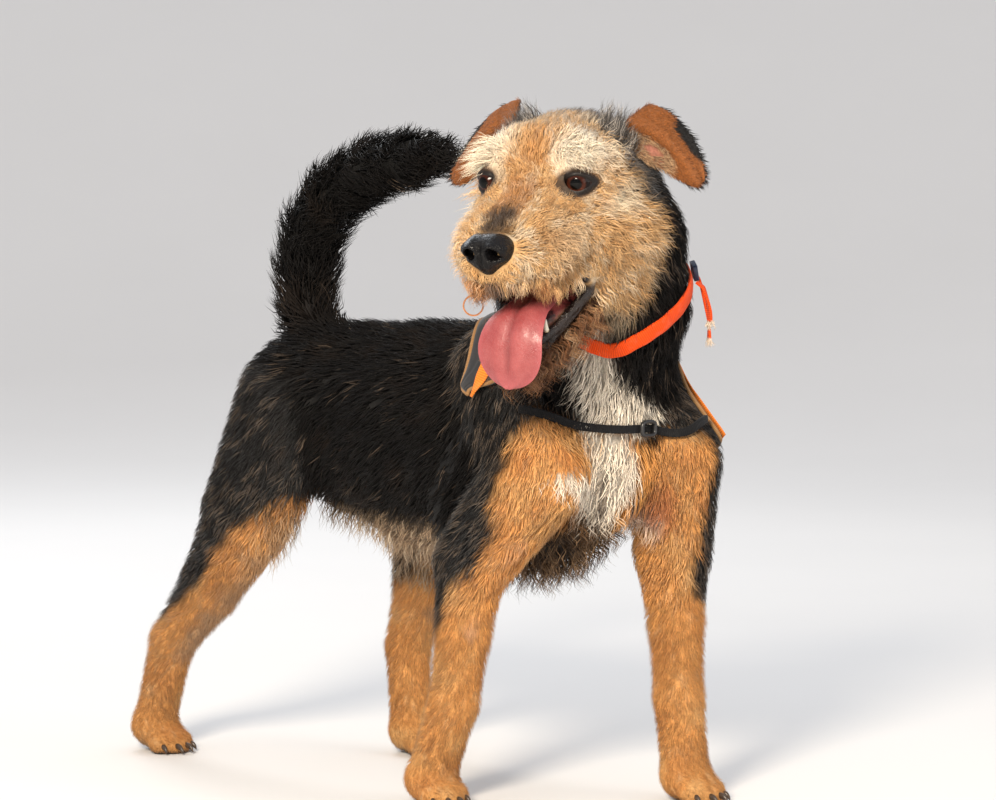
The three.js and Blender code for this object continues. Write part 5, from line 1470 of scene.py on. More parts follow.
def lids(s):
    left, f, up = eye_axes(s)
    c = H(EYE_AT[0] * s, EYE_AT[1], EYE_AT[2])
    m = 72
    th = np.arange(m) / m * 2 * math.pi
    cx, sy = np.cos(th), np.sin(th)
    ax_, top, low = 10.6, 5.9, 4.9
    x0 = ax_ * np.sign(cx) * np.abs(cx) ** 0.92
    y0 = np.where(sy > 0, top, low) * np.sign(sy) * np.clip(1 - (np.abs(x0) / ax_) ** 1.9, 0, 1) ** 0.82
    y0 = y0 + 0.7 * x0 / ax_ * s  # the outer corner sits a little higher
    x0 = x0 * (1 + 0.10 * (x0 * s > 0))
    nx, ny = cx / ax_ * 1.0, sy / 6.6
    nn = np.hypot(nx, ny)
    nx, ny = nx / nn, ny / nn
    rows, rim, P3 = [], [], []
    R = EYE_R
    for d in LID_ROWS:
        x, y = x0 + nx * d, y0 + ny * d
        rho = np.hypot(x, y)
        ball = np.sqrt(np.maximum(R * R - np.minimum(rho, R * 0.93) ** 2, 0)) - np.maximum(rho - R * 0.93, 0) * 1.1
        lift = -0.5 if d < 0 else 0.45 + 1.25 * math.sin(min(1, d / 2.2) * math.pi / 2)
        crease = -0.55 * math.exp(-((d - 4.4) / 0.8) ** 2) * np.clip(sy * 1.5, 0, 1)
        z = ball + lift + crease - 0.06 * max(0, d - 3) ** 1.7
        rows.append((x, y, z))
        rim.append(np.full(m, 1.0 if d < 2.6 else float(smooth(5.6, 2.6, np.array(d)))))
    pts = np.concatenate([c + left * x[:, None] + up * y[:, None] + f * 30.0 for x, y, _ in rows])
    zs = 30.0 - skin_cast(pts, np.tile(-f, (len(pts), 1)), 40.0)
    zs = zs.reshape(len(rows), m)
    for i, ((x, y, z), d) in enumerate(zip(rows, LID_ROWS)):
        w = smooth(2.0, 9.5, np.array([d]))[0]
        hug = smax(z, zs[i] + 0.5 * (1 - w), 2.0) if d > 0.2 else z
        zz = z * (1 - smooth(1.2, 4.0, np.array([d]))[0]) + hug * smooth(1.2, 4.0, np.array([d]))[0]
        zz = zz * (1 - w) + (zs[i] + 0.35 - 2.2 * smooth(9.0, 12.4, np.array([d]))[0]) * w
        P3.append(c + left * x[:, None] + up * y[:, None] + f * zz[:, None])
    V = np.concatenate(P3)
    # fold running back from the outer corner
    q = to_head(V)
    F = [grid_faces(len(rows), m)]
    n = vertex_normals(V, F)
    if (n @ f).mean() < 0:
        F = [x[:, ::-1] for x in F]
        n = -n
    lx = (V - c) @ left * s
    ly = (V - c) @ up
    fold = np.exp(-((ly - 1.0 + 0.10 * (lx - 11)) / 0.9) ** 2) * smooth(10.5, 13, lx) * smooth(25, 19, lx)
    V = V - n * (0.8 * fold)[:, None]
    ob = make("eyelids_left" if s > 0 else "eyelids_right", V, F)
    put_float(ob, "rim", np.maximum(np.concatenate(rim), 0.85 * fold))
    col = markings(V, n, part_ds(V)) * 0.6
    ring = np.repeat(LID_ROWS, m)
    col = lay_on(col, smooth(7.5, 3.0, ring) * 0.8, np.array([0.10, 0.038, 0.014]))
    put_color(ob, "skin", col)
    return ob, V, F, ring


def vertex_normals(V, faces):
    n = np.zeros_like(V)
    for F in faces:
        a, b, c = V[F[:, 0]], V[F[:, 1]], V[F[:, 2]]
        fn = np.cross(b - a, c - a) if F.shape[1] == 3 else np.cross(c - a, V[F[:, 3]] - b)
        for i in range(F.shape[1]):
            np.add.at(n, F[:, i], fn)
    return unit(n)


NOSE_BONES = [(H(-7, 113, -27), H(7, 113, -27), (13, 11), (13, 11), HF), (H(-5, 119, -26), H(5, 119, -26), (10, 9.5), (10, 9.5), HF),
              (H(0, 115, -35), H(0, 119, -33), (9, 9), (8, 8), HL)]
NOSE_UP = np.array([0.0, 5.0, -7.0])


def nose_d(p):
    q = to_head(p) - NOSE_UP
    d = blend_d(NOSE_BONES, 5, p)
    ax = np.abs(q[:, 0])
    m = np.stack([ax, q[:, 1], q[:, 2]], 1)

    def cap(a, b, r0, r1):
        a, b = np.array(a, float), np.array(b, float)
        t = np.clip(((m - a) @ (b - a)) / ((b - a) @ (b - a)), 0, 1)
        return np.linalg.norm(m - a - t[:, None] * (b - a), axis=1) - (r0 + (r1 - r0) * t)

    wing = cap((8.2, 121.5, -16.5), (14.5, 116, -17.5), 3.6, 3.2)
    d = smin(d, wing, 3)
    hole = cap((7.6, 128, -20.5), (10.2, 115, -20), 4.9, 3.8)
    slit = cap((9.6, 123.5, -22), (17.6, 113.5, -25.4), 1.9, 0.8)
    slit2 = cap((17.6, 113.5, -25.4), (20.5, 108, -23), 0.9, 0.4)
    d = smax(d, -hole, 1.6)
    d = smax(d, -np.minimum(slit, slit2), 1.4)
    groove = np.maximum(ax - 0.45, 0) + np.maximum(q[:, 2] + 15.5, 0) * 0.8
    front = smooth(112, 118, q[:, 1])
    d = d + 1.5 * front * np.exp(-(groove / 0.95) ** 2)
    d = d + 0.14 * noise(p, 2.2, 31) + 0.22 * noise(p, 6.0, 32)
    return d


def nose_piece():
    c = H(0, 116, -29)
    V, Q = net_of(nose_d, c - 25, c + 25, 1.0)
    V = project(nose_d, V, it=2, most=0.7)
    V = project(nose_d, relax(V, [Q], 0.4), it=1, most=0.6)
    return make("nose", V, [Q])


TONGUE_LINE = spaced([H(4, 40, -70), H(4, 66, -74), H(5, 90, -78), H(4, 103, -92), H(3, 106, -110), H(1, 105, -127)], 46)


def tongue_half(t):
    a = 15 + 5 * np.clip(t / 0.42, 0, 1)
    s = np.where(t < 0.78, np.sin(np.clip((t - 0.42) / 0.36, 0, 1) * math.pi / 2), 1)
    b = 20 + 5.5 * s
    return np.where(t < 0.42, a, b) * np.sqrt(np.maximum(0.02, 1 - np.maximum(0, (t - 0.72) / 0.28) ** 2.2))


def tongue_piece():
    n, m = len(TONGUE_LINE), 48
    t = np.linspace(0, 1, n)
    t = np.where(t > 0.72, 0.72 + 0.28 * np.sin((t - 0.72) / 0.28 * math.pi / 2), t)
    line = np.stack([np.interp(t, np.linspace(0, 1, n), TONGUE_LINE[:, i]) for i in range(3)], 1)
    along = unit(np.gradient(TONGUE_LINE, axis=0))
    along = np.stack([np.interp(t, np.linspace(0, 1, n), along[:, i]) for i in range(3)], 1)
    side = unit(HL - along * (along @ HL)[:, None])
    out = np.cross(side, along)
    w, h = tongue_half(t) * 0.985, 5 + (3.0 - 5) * t
    a = np.arange(m) / m * 2 * math.pi
    x, y = np.cos(a), np.sin(a)
    x = np.sign(x) * np.abs(x) ** 0.9
    V = []
    for i in range(n):
        top = y > 0
        groove = 1.6 * np.exp(-(x * w[i] / 2.6) ** 2) * smooth(0.02, 0.3, np.array([t[i]]))[0] * smooth(1.02, 0.80, np.array([t[i]]))[0]
        humps = 0.7 * np.sin(np.abs(x) * math.pi) ** 2 * top
        ripple = 0.35 * np.sin(t[i] * 30 + x * 5) * (1 - np.abs(x)) * top
        curl = -0.1 * w[i] * x * x + 1.5 * np.clip(np.abs(x) - 0.75, 0, 1) * smooth(0.45, 0.75, np.array([t[i]]))[0] * 4
        thick = h[i] * y * (1 - 0.25 * np.exp(-x * x * 14) * top) * (np.maximum(1 - np.abs(x) ** 3, 0.0) * 0.75 + 0.25)
        off = thick - groove * top + humps + ripple + curl
        V.append(line[i] + side[i] * (w[i] * x)[:, None] - out[i] * off[:, None])
    V = np.concatenate(V)
    c0, c1 = line[0], line[-1] - HU * 1.0
    V = np.concatenate([V, [c0, c1]])
    j = np.arange(m)
    k = (j + 1) % m
    F = outward(V, [grid_faces(n, m), np.concatenate([np.stack([k, j, np.full(m, n * m)], 1), np.stack([(n - 1) * m + j, (n - 1) * m + k, np.full(m, n * m + 1)], 1)])])
    ob = make("tongue", V, F)
    top = (np.tile(y, n) > 0)
    # mid: the groove down the middle of the top, which tongue_look darkens as painted shade
    mid = np.exp(-(np.tile(x, n) * np.repeat(w, m) / 1.9) ** 2) * top * np.repeat(smooth(0.1, 0.3, t) * smooth(1.0, 0.8, t), m)
    edge = smooth(0.72, 1.0, np.abs(np.tile(x, n))) + np.repeat(smooth(0.86, 1.0, t), m)
    put_float(ob, "mid", np.concatenate([mid, [0, 0]]))
    put_float(ob, "edge", np.concatenate([np.clip(edge, 0, 1), [0, 1]]))
    return ob


def horn(root, tip, r, bend=0.15, way=None, n=12, m=12):
    """A curved, tapered tooth or claw."""
    t = np.linspace(0, 1, n)
    d = tip - root
    way = HF if way is None else way
    b = unit(way - unit(d) * (unit(d) @ way)) * np.linalg.norm(d) * bend
    line = root + d * t[:, None] + b * np.sin(t * math.pi)[:, None]
    along = unit(np.gradient(line, axis=0))
    side = unit(np.cross(along, way))
    out = np.cross(side, along)
    rr = r * (1 - t ** 2.2) ** 0.75 * (1 - 0.12 * t) + 0.12
    a = np.arange(m) / m * 2 * math.pi
    prof = np.stack([np.cos(a), np.sin(a)], 1)
    V = (line[:, None] + side[:, None] * (prof[:, 0] * rr[:, None] * 0.82)[..., None] + out[:, None] * (prof[:, 1] * rr[:, None])[..., None]).reshape(-1, 3)
    V = np.concatenate([V, [line[0]], [line[-1]]])
    j = np.arange(m)
    k = (j + 1) % m
    F = outward(V, [grid_faces(n, m), np.concatenate([np.stack([k, j, np.full(m, n * m)], 1), np.stack([(n - 1) * m + j, (n - 1) * m + k, np.full(m, n * m + 1)], 1)])])
    return V, F, np.concatenate([np.repeat(1 - t, m), [1, 0]])


def teeth_piece():
    """Canines and small front teeth that the open mouth shows."""
    parts, marks = [], []

    def add(root, tip, r, bend=0.12, way=None):
        V, F, mk = horn(root, tip, r, bend, way)
        parts.append((V, F))
        marks.append(smooth(0.72, 0.95, mk))

    for s in (1, -1):
        add(H(20 * s, 82, -50), H(21 * s, 83, -59.5), 2.5, -0.10)
        add(H(17.2 * s, 73, -94), H(18.6 * s, 75.5, -84.5), 2.1, 0.10)
        for k, y in enumerate((2.6, 7.2, 11.6)):
            add(H(y * s, 90 - 0.10 * y * y / 3, -52), H(y * s, 91 - 0.10 * y * y / 3, -57.0), 1.8 + 0.2 * (k == 2), 0.05)
            add(H(y * 0.82 * s, 86 - 0.12 * y * y / 3, -98), H(y * 0.82 * s, 88 - 0.12 * y * y / 3, -93), 1.6, 0.05)
    ob = join_meshes("teeth", parts)
    put_float(ob, "root", np.concatenate(marks))
    return ob


EAR_RISE = {1: 7, -1: 10}


def ear_point(t, v, s, drop, reach):
    base = np.stack([40 + 4 * v, np.full_like(v, -30.0), 22 + EAR_RISE[s] + 2 * v], -1)
    axis = np.stack([base[..., 0] + (reach - 40) * t, base[..., 1] + 16 * t, base[..., 2] - (drop + 22) * t * t * 0.75 - 6 * t], -1)
    half = 23 * np.sqrt(np.maximum(0.004, 1 - t ** 2.6)) * (1 - 0.12 * t)
    across = (v - 0.42) * 2 * half
    up = across - 0.5 * (np.sqrt((across - half * 0.26) ** 2 + 9) + (across - half * 0.26)) + 1.0
    rest = across - up
    slant = 0.42 - 0.1 * t
    wob = 1.1 * np.sin(v * 9 + t * 5) * t
    return np.stack([axis[..., 0] + (up + rest * 0.55) * slant, axis[..., 1] - rest * 0.85 + 3 * np.sin(math.pi * v) * (1 - t) + wob,
                     axis[..., 2] + (up + rest * 0.35) * (1 - slant * 0.35)], -1)


def ear_piece(s, drop, reach):
    n, m = 34, 26
    t = np.linspace(0, 1, n)
    t = np.where(t > 0.75, 0.75 + 0.25 * np.sin((t - 0.75) / 0.25 * math.pi / 2), t)
    T, Vv = np.meshgrid(t, np.linspace(0, 1, m), indexing="ij")
    e = 0.01
    p = ear_point(T, Vv, s, drop, reach)
    du = ear_point(np.minimum(T + e, 1), Vv, s, drop, reach) - ear_point(np.maximum(T - e, 0), Vv, s, drop, reach)
    dv = ear_point(T, np.minimum(Vv + e, 1), s, drop, reach) - ear_point(T, np.maximum(Vv - e, 0), s, drop, reach)
    nn = unit(np.cross(du, dv))
    # the hollow of the ear near its root
    hollow = 4.5 * np.exp(-((T - 0.30) / 0.26) ** 2) * np.exp(-((Vv - 0.22) / 0.17) ** 2)
    p = p + nn * hollow[..., None]
    rim = np.exp(-((Vv - 0.52) / 0.085) ** 2) * smooth(1.0, 0.7, T) + np.exp(-((Vv - 0.02) / 0.06) ** 2) * smooth(0.25, 0.5, T) + np.exp(-((T - 0.90) / 0.10) ** 2) * smooth(0.62, 0.5, Vv)
    th = (1.9 - 0.8 * T + 1.5 * np.clip(rim, 0, 1)) * np.clip(1.15 - np.abs(Vv * 2 - 1) ** 6, 0.35, 1)
    th = th * np.where(T > 0.93, np.sqrt(np.clip((1.02 - T) / 0.09, 0.1, 1)), 1)
    back, front = p + nn * th[..., None], p - nn * th[..., None]
    V = np.concatenate([back.reshape(-1, 3), front.reshape(-1, 3)])
    V[:, 0] *= s
    V = HO + V @ HM
    F0 = grid_faces(n, m, False)
    F1 = grid_faces(n, m, False, n * m)[:, ::-1]
    edge = []
    o = n * m
    for i in range(n - 1):
        edge.append([i * m, (i + 1) * m, o + (i + 1) * m, o + i * m])
        edge.append([i * m + m - 1, o + i * m + m - 1, o + (i + 1) * m + m - 1, (i + 1) * m + m - 1])
    for j in range(m - 1):
        edge.append([j, o + j, o + j + 1, j + 1])
        a = (n - 1) * m + j
        edge.append([a, a + 1, o + a + 1, o + a])
    edge = np.array(edge)
    F = outward(V, [np.concatenate([F0, F1, edge])])
    ob = make("ear_skin_left" if s > 0 else "ear_skin_right", V, F)
    tt, vv = np.tile(T.ravel(), 2), np.tile(Vv.ravel(), 2)
    inner = np.repeat([0.0, 1.0], n * m)
    cup = inner * smooth(0.82, 0.55, tt) * smooth(0.45, 0.33, vv)
    pink = np.clip(inner * np.exp(-((tt - 0.38) / 0.16) ** 2) * np.exp(-((vv - 0.20) / 0.09) ** 2) * 1.3, 0, 1)
    brink = np.interp(tt, [0, 0.34, 0.50, 0.80, 0.92, 1], [1.15, 1.1, 0.76, 0.72, 0.95, 1.1])
    front = inner * smooth(brink + 0.06, brink - 0.06, vv)
    col = lay_on(np.tile(BLACK * 1.3, (len(V), 1)), front, RUST * 0.85)
    # painted shade: the skin in the hollow of the ear is darkened to brown
    col = lay_on(col, cup * 0.8, np.array([0.20, 0.095, 0.05]))
    col = lay_on(col, pink * 0.9, np.array([0.42, 0.17, 0.12]))
    put_color(ob, "skin", col)
    put_float(ob, "wet", np.zeros(len(V)))
    put_float(ob, "lip", np.zeros(len(V)))
    return ob, V, F, tt, vv, inner, pink, cup, front


# ---------- worn pieces ----------
def at_line(line, t):
    """Value of a list of rows at a share t of its length."""
    i = t * (len(line) - 1)
    k = min(int(i), len(line) - 2)
    return line[k] + (line[k + 1] - line[k]) * (i - k)


def collar_pieces(look, plastic, frayed):
    _, out, side = COLLAR_FR
    n = len(COLLAR)
    prof = tape_profile(COLLAR_W, 2.2, 13, 1.5)
    sag = 0.35 * np.sin(np.arange(n) / n * 2 * math.pi * 9) + 0.25 * np.sin(np.arange(n) / n * 2 * math.pi * 23 + 1)
    tilt = 0.12 * np.sin(np.arange(n) / n * 2 * math.pi * 3 + 0.5)
    side2 = unit(side + out * tilt[:, None])
    V, F = sweep(COLLAR + side * sag[:, None], side2, out, prof, True, lift=np.full(n, 1.35))
    ob = make("collar_band", V, F)
    put_tape(ob, COLLAR, prof, True)
    dress(ob, look, "collar")
    # slider: a ladder of two rails and three bars
    i = 3 / 22 * n
    k, e = int(i), i - int(i)
    p, o, s = (a[k] + (a[k + 1] - a[k]) * e for a in (COLLAR, out, side))
    o, s = unit(o), unit(s)
    al = unit(np.cross(s, o))
    axes = np.stack([s, o, al])
    c = p + o * (COLLAR_T + 2.6)
    W = COLLAR_W + 2
    parts = [soft_box(c + s * q[0] + o * q[1] + al * q[2], axes, q[3], 0.8) for q in (
        (-W / 2 + 1.1, 0, 0, (2.2, 4, 9)), (W / 2 - 1.1, 0, 0, (2.2, 4, 9)), (0, 0, 3.4, (W, 3.8, 2.2)), (0, 0, -3.4, (W, 3.8, 2.2)), (0, -0.4, 0, (W, 2.6, 2.0)))]
    ob = join_meshes("collar_slider_ladder", parts)
    dress(ob, plastic, "collar_slider")
    # the shape of a tape folded through the slider; no mesh is made from it
    m = 24
    a = np.linspace(0, 1, m)
    loop = c + al * ((a - 0.5) * 20)[:, None] + o * (-2.9 + 3.9 * np.sin(a * math.pi) ** 2)[:, None]
    lo = np.tile(o, (m, 1))
    V, F = sweep(loop, np.tile(s, (m, 1)), lo, tape_profile(COLLAR_W - 5, 1.4, 9, 0.3))
    # ends hang from it
    top = c - s * (W / 2 + 2) + o
    ends = []
    for name, start, length, lean, width, ph, node in (("collar_tail_long", top + al * 2, 46, 8, 11, 0.3, "collar_end_long"), ("collar_tail_short", top - al * 11, 26, 5, 9, 1.7, "collar_end_short")):
        t = np.linspace(-0.12 if "long" in name else -0.2, 1, 40)
        sd = unit(np.cross(UP, o))
        line = start - UP * (length * t)[:, None] + o * (1.5 + lean * t * (2 - t) - 3 * np.maximum(-t, 0) / 0.2)[:, None] + sd * (0.9 * np.sin(t * 5 + ph) * np.clip(t, 0, 1))[:, None]
        tw = 0.35 * np.sin(t * 3.2 + ph)
        s2 = sd * np.cos(tw)[:, None] + o * np.sin(tw)[:, None]
        o2 = np.cross(unit(np.gradient(line, axis=0)), s2)
        o2 *= np.sign((o2 @ o))[:, None]
        pr = tape_profile(width * 0.82, 1.5, 9, 1.0)
        sc = 1 - 0.25 * np.clip(t, 0, 1)
        V, F = sweep(line, s2, o2, pr, scale=sc)
        ob = make(name, V, F)
        put_tape(ob, line, pr, False)
        dress(ob, look, node)
        ends.append((line[-1], s2[-1], o2[-1], width * 0.8 * sc[-1]))
    rng = np.random.default_rng(5)
    parts = []
    for tip, s2, o2, w in ends:
        for _ in range(34):
            r = tip + s2 * (rng.uniform(-0.5, 0.5) * w) + o2 * rng.uniform(-0.6, 0.6) + UP * 1.0
            d = unit(-UP + s2 * rng.normal(0, 0.35) + o2 * rng.normal(0, 0.3)) * rng.uniform(3, 8)
            V, F, _m = horn(r, r + d, rng.uniform(0.22, 0.38), rng.normal(0, 0.3), s2, 6, 5)
            parts.append((V, F))
    ob = join_meshes("collar_fray", parts)
    dress(ob, frayed)


def ribbon_path(i0, i1, offset, n=60):
    t = np.linspace(i0, i1, n) / 10 * 90
    k = np.minimum(t.astype(int), 89)
    e = (t - k)[:, None]
    p = YOKE[k] * (1 - e) + YOKE[k + 1] * e
    s = unit(YOKE_FR[2][k] * (1 - e) + YOKE_FR[2][k + 1] * e)
    p = project(outer, p + s * offset, it=5)
    return p, s


def yoke_pieces(look, piping, stripe_look):
    n, m = 150, 23
    t = np.linspace(0, 90, n)
    k = np.minimum(t.astype(int), 89)
    e = (t - k)[:, None]
    mid = YOKE[k] * (1 - e) + YOKE[k + 1] * e
    side = unit(YOKE_FR[2][k] * (1 - e) + YOKE_FR[2][k + 1] * e)
    half = YOKE_HALF[k] * (1 - e[:, 0]) + YOKE_HALF[k + 1] * e[:, 0]
    u = t / 90
    end = np.sqrt(np.clip(1 - np.clip((np.abs(u * 2 - 1) - 0.965) / 0.035, 0, 1) ** 2, 0.0, 1))
    half2 = half * (0.80 + 0.20 * end)
    s = np.linspace(-1, 1, m)
    way = YOKE_WAY[k]
    fr = YOKE_FRONT[k] * (1 - e[:, 0]) + YOKE_FRONT[k + 1] * e[:, 0]
    reach = np.where(s[None, :] * way[:, None] > -1, (s[None, :] * way[:, None] + 1) / 2, 0) * (1 + fr)[:, None] - 1
    rows = (mid[:, None] + side[:, None] * (reach * way[:, None] * half2[:, None])[..., None]).reshape(-1, 3)
    rows = project(outer, rows, it=5)
    nrm = unit(grad_of(outer, rows, 3.0))
    S, U = np.tile(s, n), np.repeat(u, m)
    cross = U * 460.0
    quilt = 0.9 * (np.exp(-((np.abs(S) - 0.50) / 0.05) ** 2))
    puff = 2.3 * np.sqrt(np.clip(1 - np.abs(S) ** 5, 0, 1)) - 0.2
    creases = 0.45 * noise(rows, 14, 41) + 0.25 * noise(rows, 6, 42)
    ends = np.clip(np.minimum(U, 1 - U) / 0.012, 0, 1) ** 0.5
    top = rows + nrm * (((puff - quilt + creases) * ends) - 0.2)[:, None]
    bot = rows - nrm * 4.4 + 0 * rows
    V = np.concatenate([top, bot])
    o = n * m
    F0, F1 = grid_faces(n, m, False), grid_faces(n, m, False, o)[:, ::-1]
    edge = []
    for i in range(n - 1):
        edge.append([i * m, o + i * m, o + (i + 1) * m, (i + 1) * m])
        edge.append([i * m + m - 1, (i + 1) * m + m - 1, o + (i + 1) * m + m - 1, o + i * m + m - 1])
    for j in range(m - 1):
        edge.append([j, j + 1, o + j + 1, o + j])
        a = (n - 1) * m + j
        edge.append([a, o + a, o + a + 1, a + 1])
    E = np.array(edge)
    # the rim has to face the same way as the two sheets it joins
    F = [np.concatenate([F0, F1]), E]
    faces = [np.concatenate([F0, F1, fix_rim(V, F0, E)])]
    faces = outward(V, faces)
    ob = make("harness_pad", V, faces)
    put_float(ob, "su", np.concatenate([S * 25, S * 25]))
    put_float(ob, "sv", np.concatenate([cross, cross]))
    dress(ob, look, "harness_yoke")
    # piping round the whole edge
    R = rows.reshape(n, m, 3)
    N3 = nrm.reshape(n, m, 3)
    ring = np.concatenate([R[:, 0], R[-1, 1:-1], R[::-1, -1], R[0, -2:0:-1]])
    rn = np.concatenate([N3[:, 0], N3[-1, 1:-1], N3[::-1, -1], N3[0, -2:0:-1]])
    for _ in range(2):
        ring = 0.5 * ring + 0.25 * (np.roll(ring, 1, 0) + np.roll(ring, -1, 0))
    al = unit(np.roll(ring, -1, 0) - np.roll(ring, 1, 0))
    sd = unit(np.cross(al, rn))
    a = np.arange(10) / 10 * 2 * math.pi
    V, F = sweep(ring - rn * 0.3, sd, rn, np.stack([1.55 * np.cos(a), 1.55 * np.sin(a)], 1), True)
    ob = make("harness_piping", V, F)
    put_tape(ob, ring, np.stack([1.55 * np.cos(a), 1.55 * np.sin(a)], 1), True)
    dress(ob, piping)
    for name, i0, i1, off, node in (("harness_band_right", 0, 3, 2, "harness_stripe_right"), ("harness_band_left", 8, 10, -13, "harness_stripe_left")):
        p, s = ribbon_path(i0 + 0.1, i1 - 0.05, off)
        g = unit(grad_of(outer, p, 3.0))
        al = unit(np.gradient(p, axis=0))
        s = unit(s - al * (s * al).sum(1, keepdims=True))
        pr = tape_profile(10, 1.0, 9, 0.5)
        taper = 0.25 + 0.75 * smooth(0, 0.34, np.linspace(0, 1, len(p))) if node.endswith("right") else np.ones(len(p))
        V, F = sweep(p, s, unit(np.cross(al, s)) * np.sign((np.cross(al, s) * g).sum(1))[:, None], pr, scale=taper, lift=np.full(len(p), 2.9))
        ob = make(name, V, F)
        put_tape(ob, p, pr, False)
        dress(ob, stripe_look, node)


def fix_rim(V, F0, E):
    """Turns the rim quads so that each shares its edge the other way round with the sheet."""
    edges = set()
    for i in range(4):
        edges.update(map(tuple, F0[:, [i, (i + 1) % 4]]))
    out = []
    for q in E:
        same = any((q[i], q[(i + 1) % 4]) in edges for i in range(4))
        out.append(q[::-1] if same else q)
    return np.array(out)


def strap_pieces(look, plastic):
    al, out, side = CHEST_FR
    pr = tape_profile(STRAP_W - 3.0, 2.4, 9, 0.8)
    V, F = sweep(CHEST, side, out, pr, lift=-2.6 + 1.2 * smooth(-46, -20, CHEST[:, 0]))
    ob = make("harness_chest_band", V, F)
    put_tape(ob, CHEST, pr, False)
    dress(ob, look, "harness_chest_strap")
    al, out, side = GIRTH_FR
    pr = tape_profile(GIRTH_W - 4, 2.6, 11, 0.8)
    V, F = sweep(GIRTH, side, out, pr, lift=-4.6 - 1.9 * smooth(-30, -52, GIRTH[:, 0]))
    ob = make("harness_girth_band", V, F)
    put_tape(ob, GIRTH, pr, False)
    dress(ob, look, "harness_girth")
    # ring on the chest strap: a rounded rectangle of thick wire with the strap through it
    p, o, s = (at_line(a, 4 / 11) for a in (CHEST, CHEST_FR[1], CHEST_FR[2]))
    o, s = unit(o), unit(s)
    a2 = unit(np.cross(s, o))
    c = p + o * 2.2
    th = np.arange(64) / 64 * 2 * math.pi
    x = np.sign(np.cos(th)) * np.abs(np.cos(th)) ** 0.55 * 5.0
    y = np.sign(np.sin(th)) * np.abs(np.sin(th)) ** 0.55 * 7.4
    loop = c + s * x[:, None] + a2 * y[:, None]
    t = unit(np.roll(loop, -1, 0) - np.roll(loop, 1, 0))
    sd = unit(np.cross(t, o))
    a = np.arange(12) / 12 * 2 * math.pi
    V, F = sweep(loop, sd, np.tile(o, (64, 1)), np.stack([1.5 * np.cos(a), 1.8 * np.sin(a)], 1), True)
    ob = make("harness_ring", V, F)
    dress(ob, plastic, "harness_chest_ring")
    # side-release buckle on the girth
    p, o, s = (at_line(a, 15 / 18) for a in (GIRTH, GIRTH_FR[1], GIRTH_FR[2]))
    o, s = unit(o), unit(s)
    a2 = unit(np.cross(s, o))
    c = p + o * 1.4
    ax3 = np.stack([s, o, a2])
    W = GIRTH_W + 6
    parts = [soft_box(c + a2 * 6.2, ax3, (W - 1, 3.8, 13), 1.2), soft_box(c - a2 * 9.5, ax3, (W - 3, 3.2, 8), 1.1), soft_box(c - a2 * 2.5 + s * 8.6, ax3, (3, 3, 8), 0.9),
             soft_box(c - a2 * 2.5 - s * 8.6, ax3, (3, 3, 8), 0.9), soft_box(c - a2 * 3, ax3, (5, 2.2, 8), 0.8), soft_box(c + a2 * 13.6, ax3, (W - 1, 2.6, 2.0), 0.8),
             soft_box(c + a2 * 6.2 + o * 1.8, ax3, (11, 0.8, 6), 0.35)]
    ob = join_meshes("harness_buckle", parts)
    dress(ob, plastic, "harness_girth_buckle")


# ---------- feet ----------
def claws_piece():
    parts = []
    for legs, keys in ((FORE, ("pa", "to")), (HIND, ("me", "to"))):
        for q in legs.values():
            for k, (base, end, s, d) in enumerate(toe_line(q[keys[0]], q[keys[1]])):
                spread = s * (k - 1.5) * 0.10
                root = end + d * 3.2 + [0, 0, 1.4]
                tip = end + unit(d + spread) * (11.5 if k in (1, 2) else 10.5)
                tip[2] = 1.6
                V, F, _ = horn(root, tip, 2.3, 0.16, UP, 12, 12)
                parts.append((V, F))
    return join_meshes("claws", parts)


# ---------- coat ----------
COAT = []


def coat_piece(name, look, p, n, d, L, W, depth, seg, wave, lam, clump, pull, seed, colour, uv, lift=None, sway=0.22, follow=True, flat=1.0, **gain):
    nodes, sides, norms, r1, r2, rng = comb(p, n, d, L, W, depth, seg, wave, lam, clump, pull, seed, lift, sway, follow)
    W = W * rng.uniform(0.8, 1.2, len(p))
    shade = 1 + 0.16 * (r2 - 0.5) + rng.normal(0, 0.10, len(p))
    ob = hair_mesh(name, nodes, sides, norms, W, colour * shade[:, None], uv, **gain)
    ob.data.materials.append(look)
    COAT.append((name, len(p) * (3 * (seg - 1) * 2 + 4)))
    return ob


def curl_piece(name, look, p, n, way, col, uvt, idx, seg, L, W, rise, droop, curl, pitch, clump, pull, seed, **gain):
    turn, along = uvt
    u, v = turn[idx], along[idx]
    u = 0.01 + 0.98 * (u - u.min()) / max(u.max() - u.min(), 1e-6)
    v = 0.01 + 0.98 * (v - v.min()) / max(v.max() - v.min(), 1e-6)
    pick = lambda q: q[idx] if np.ndim(q) and len(q) == len(p) else q
    nodes, sides, norms, r1, r2, rng = curls(p[idx], n[idx], way[idx], pick(L), pick(rise), pick(droop), pick(curl), pick(pitch), clump, pull, seed, seg)
    w = (W[idx] if np.ndim(W) else np.full(len(idx), float(W))) * rng.uniform(0.8, 1.2, len(idx))
    shade = 1 + 0.22 * (r2 - 0.5) + rng.normal(0, 0.12, len(idx))
    ob = hair_mesh(name, nodes, sides, norms, w, col[idx] * shade[:, None], np.stack([u, v], 1), **gain)
    ob.data.materials.append(look)
    COAT.append((name, len(idx) * (6 * (seg - 1) + 4)))
    return ob


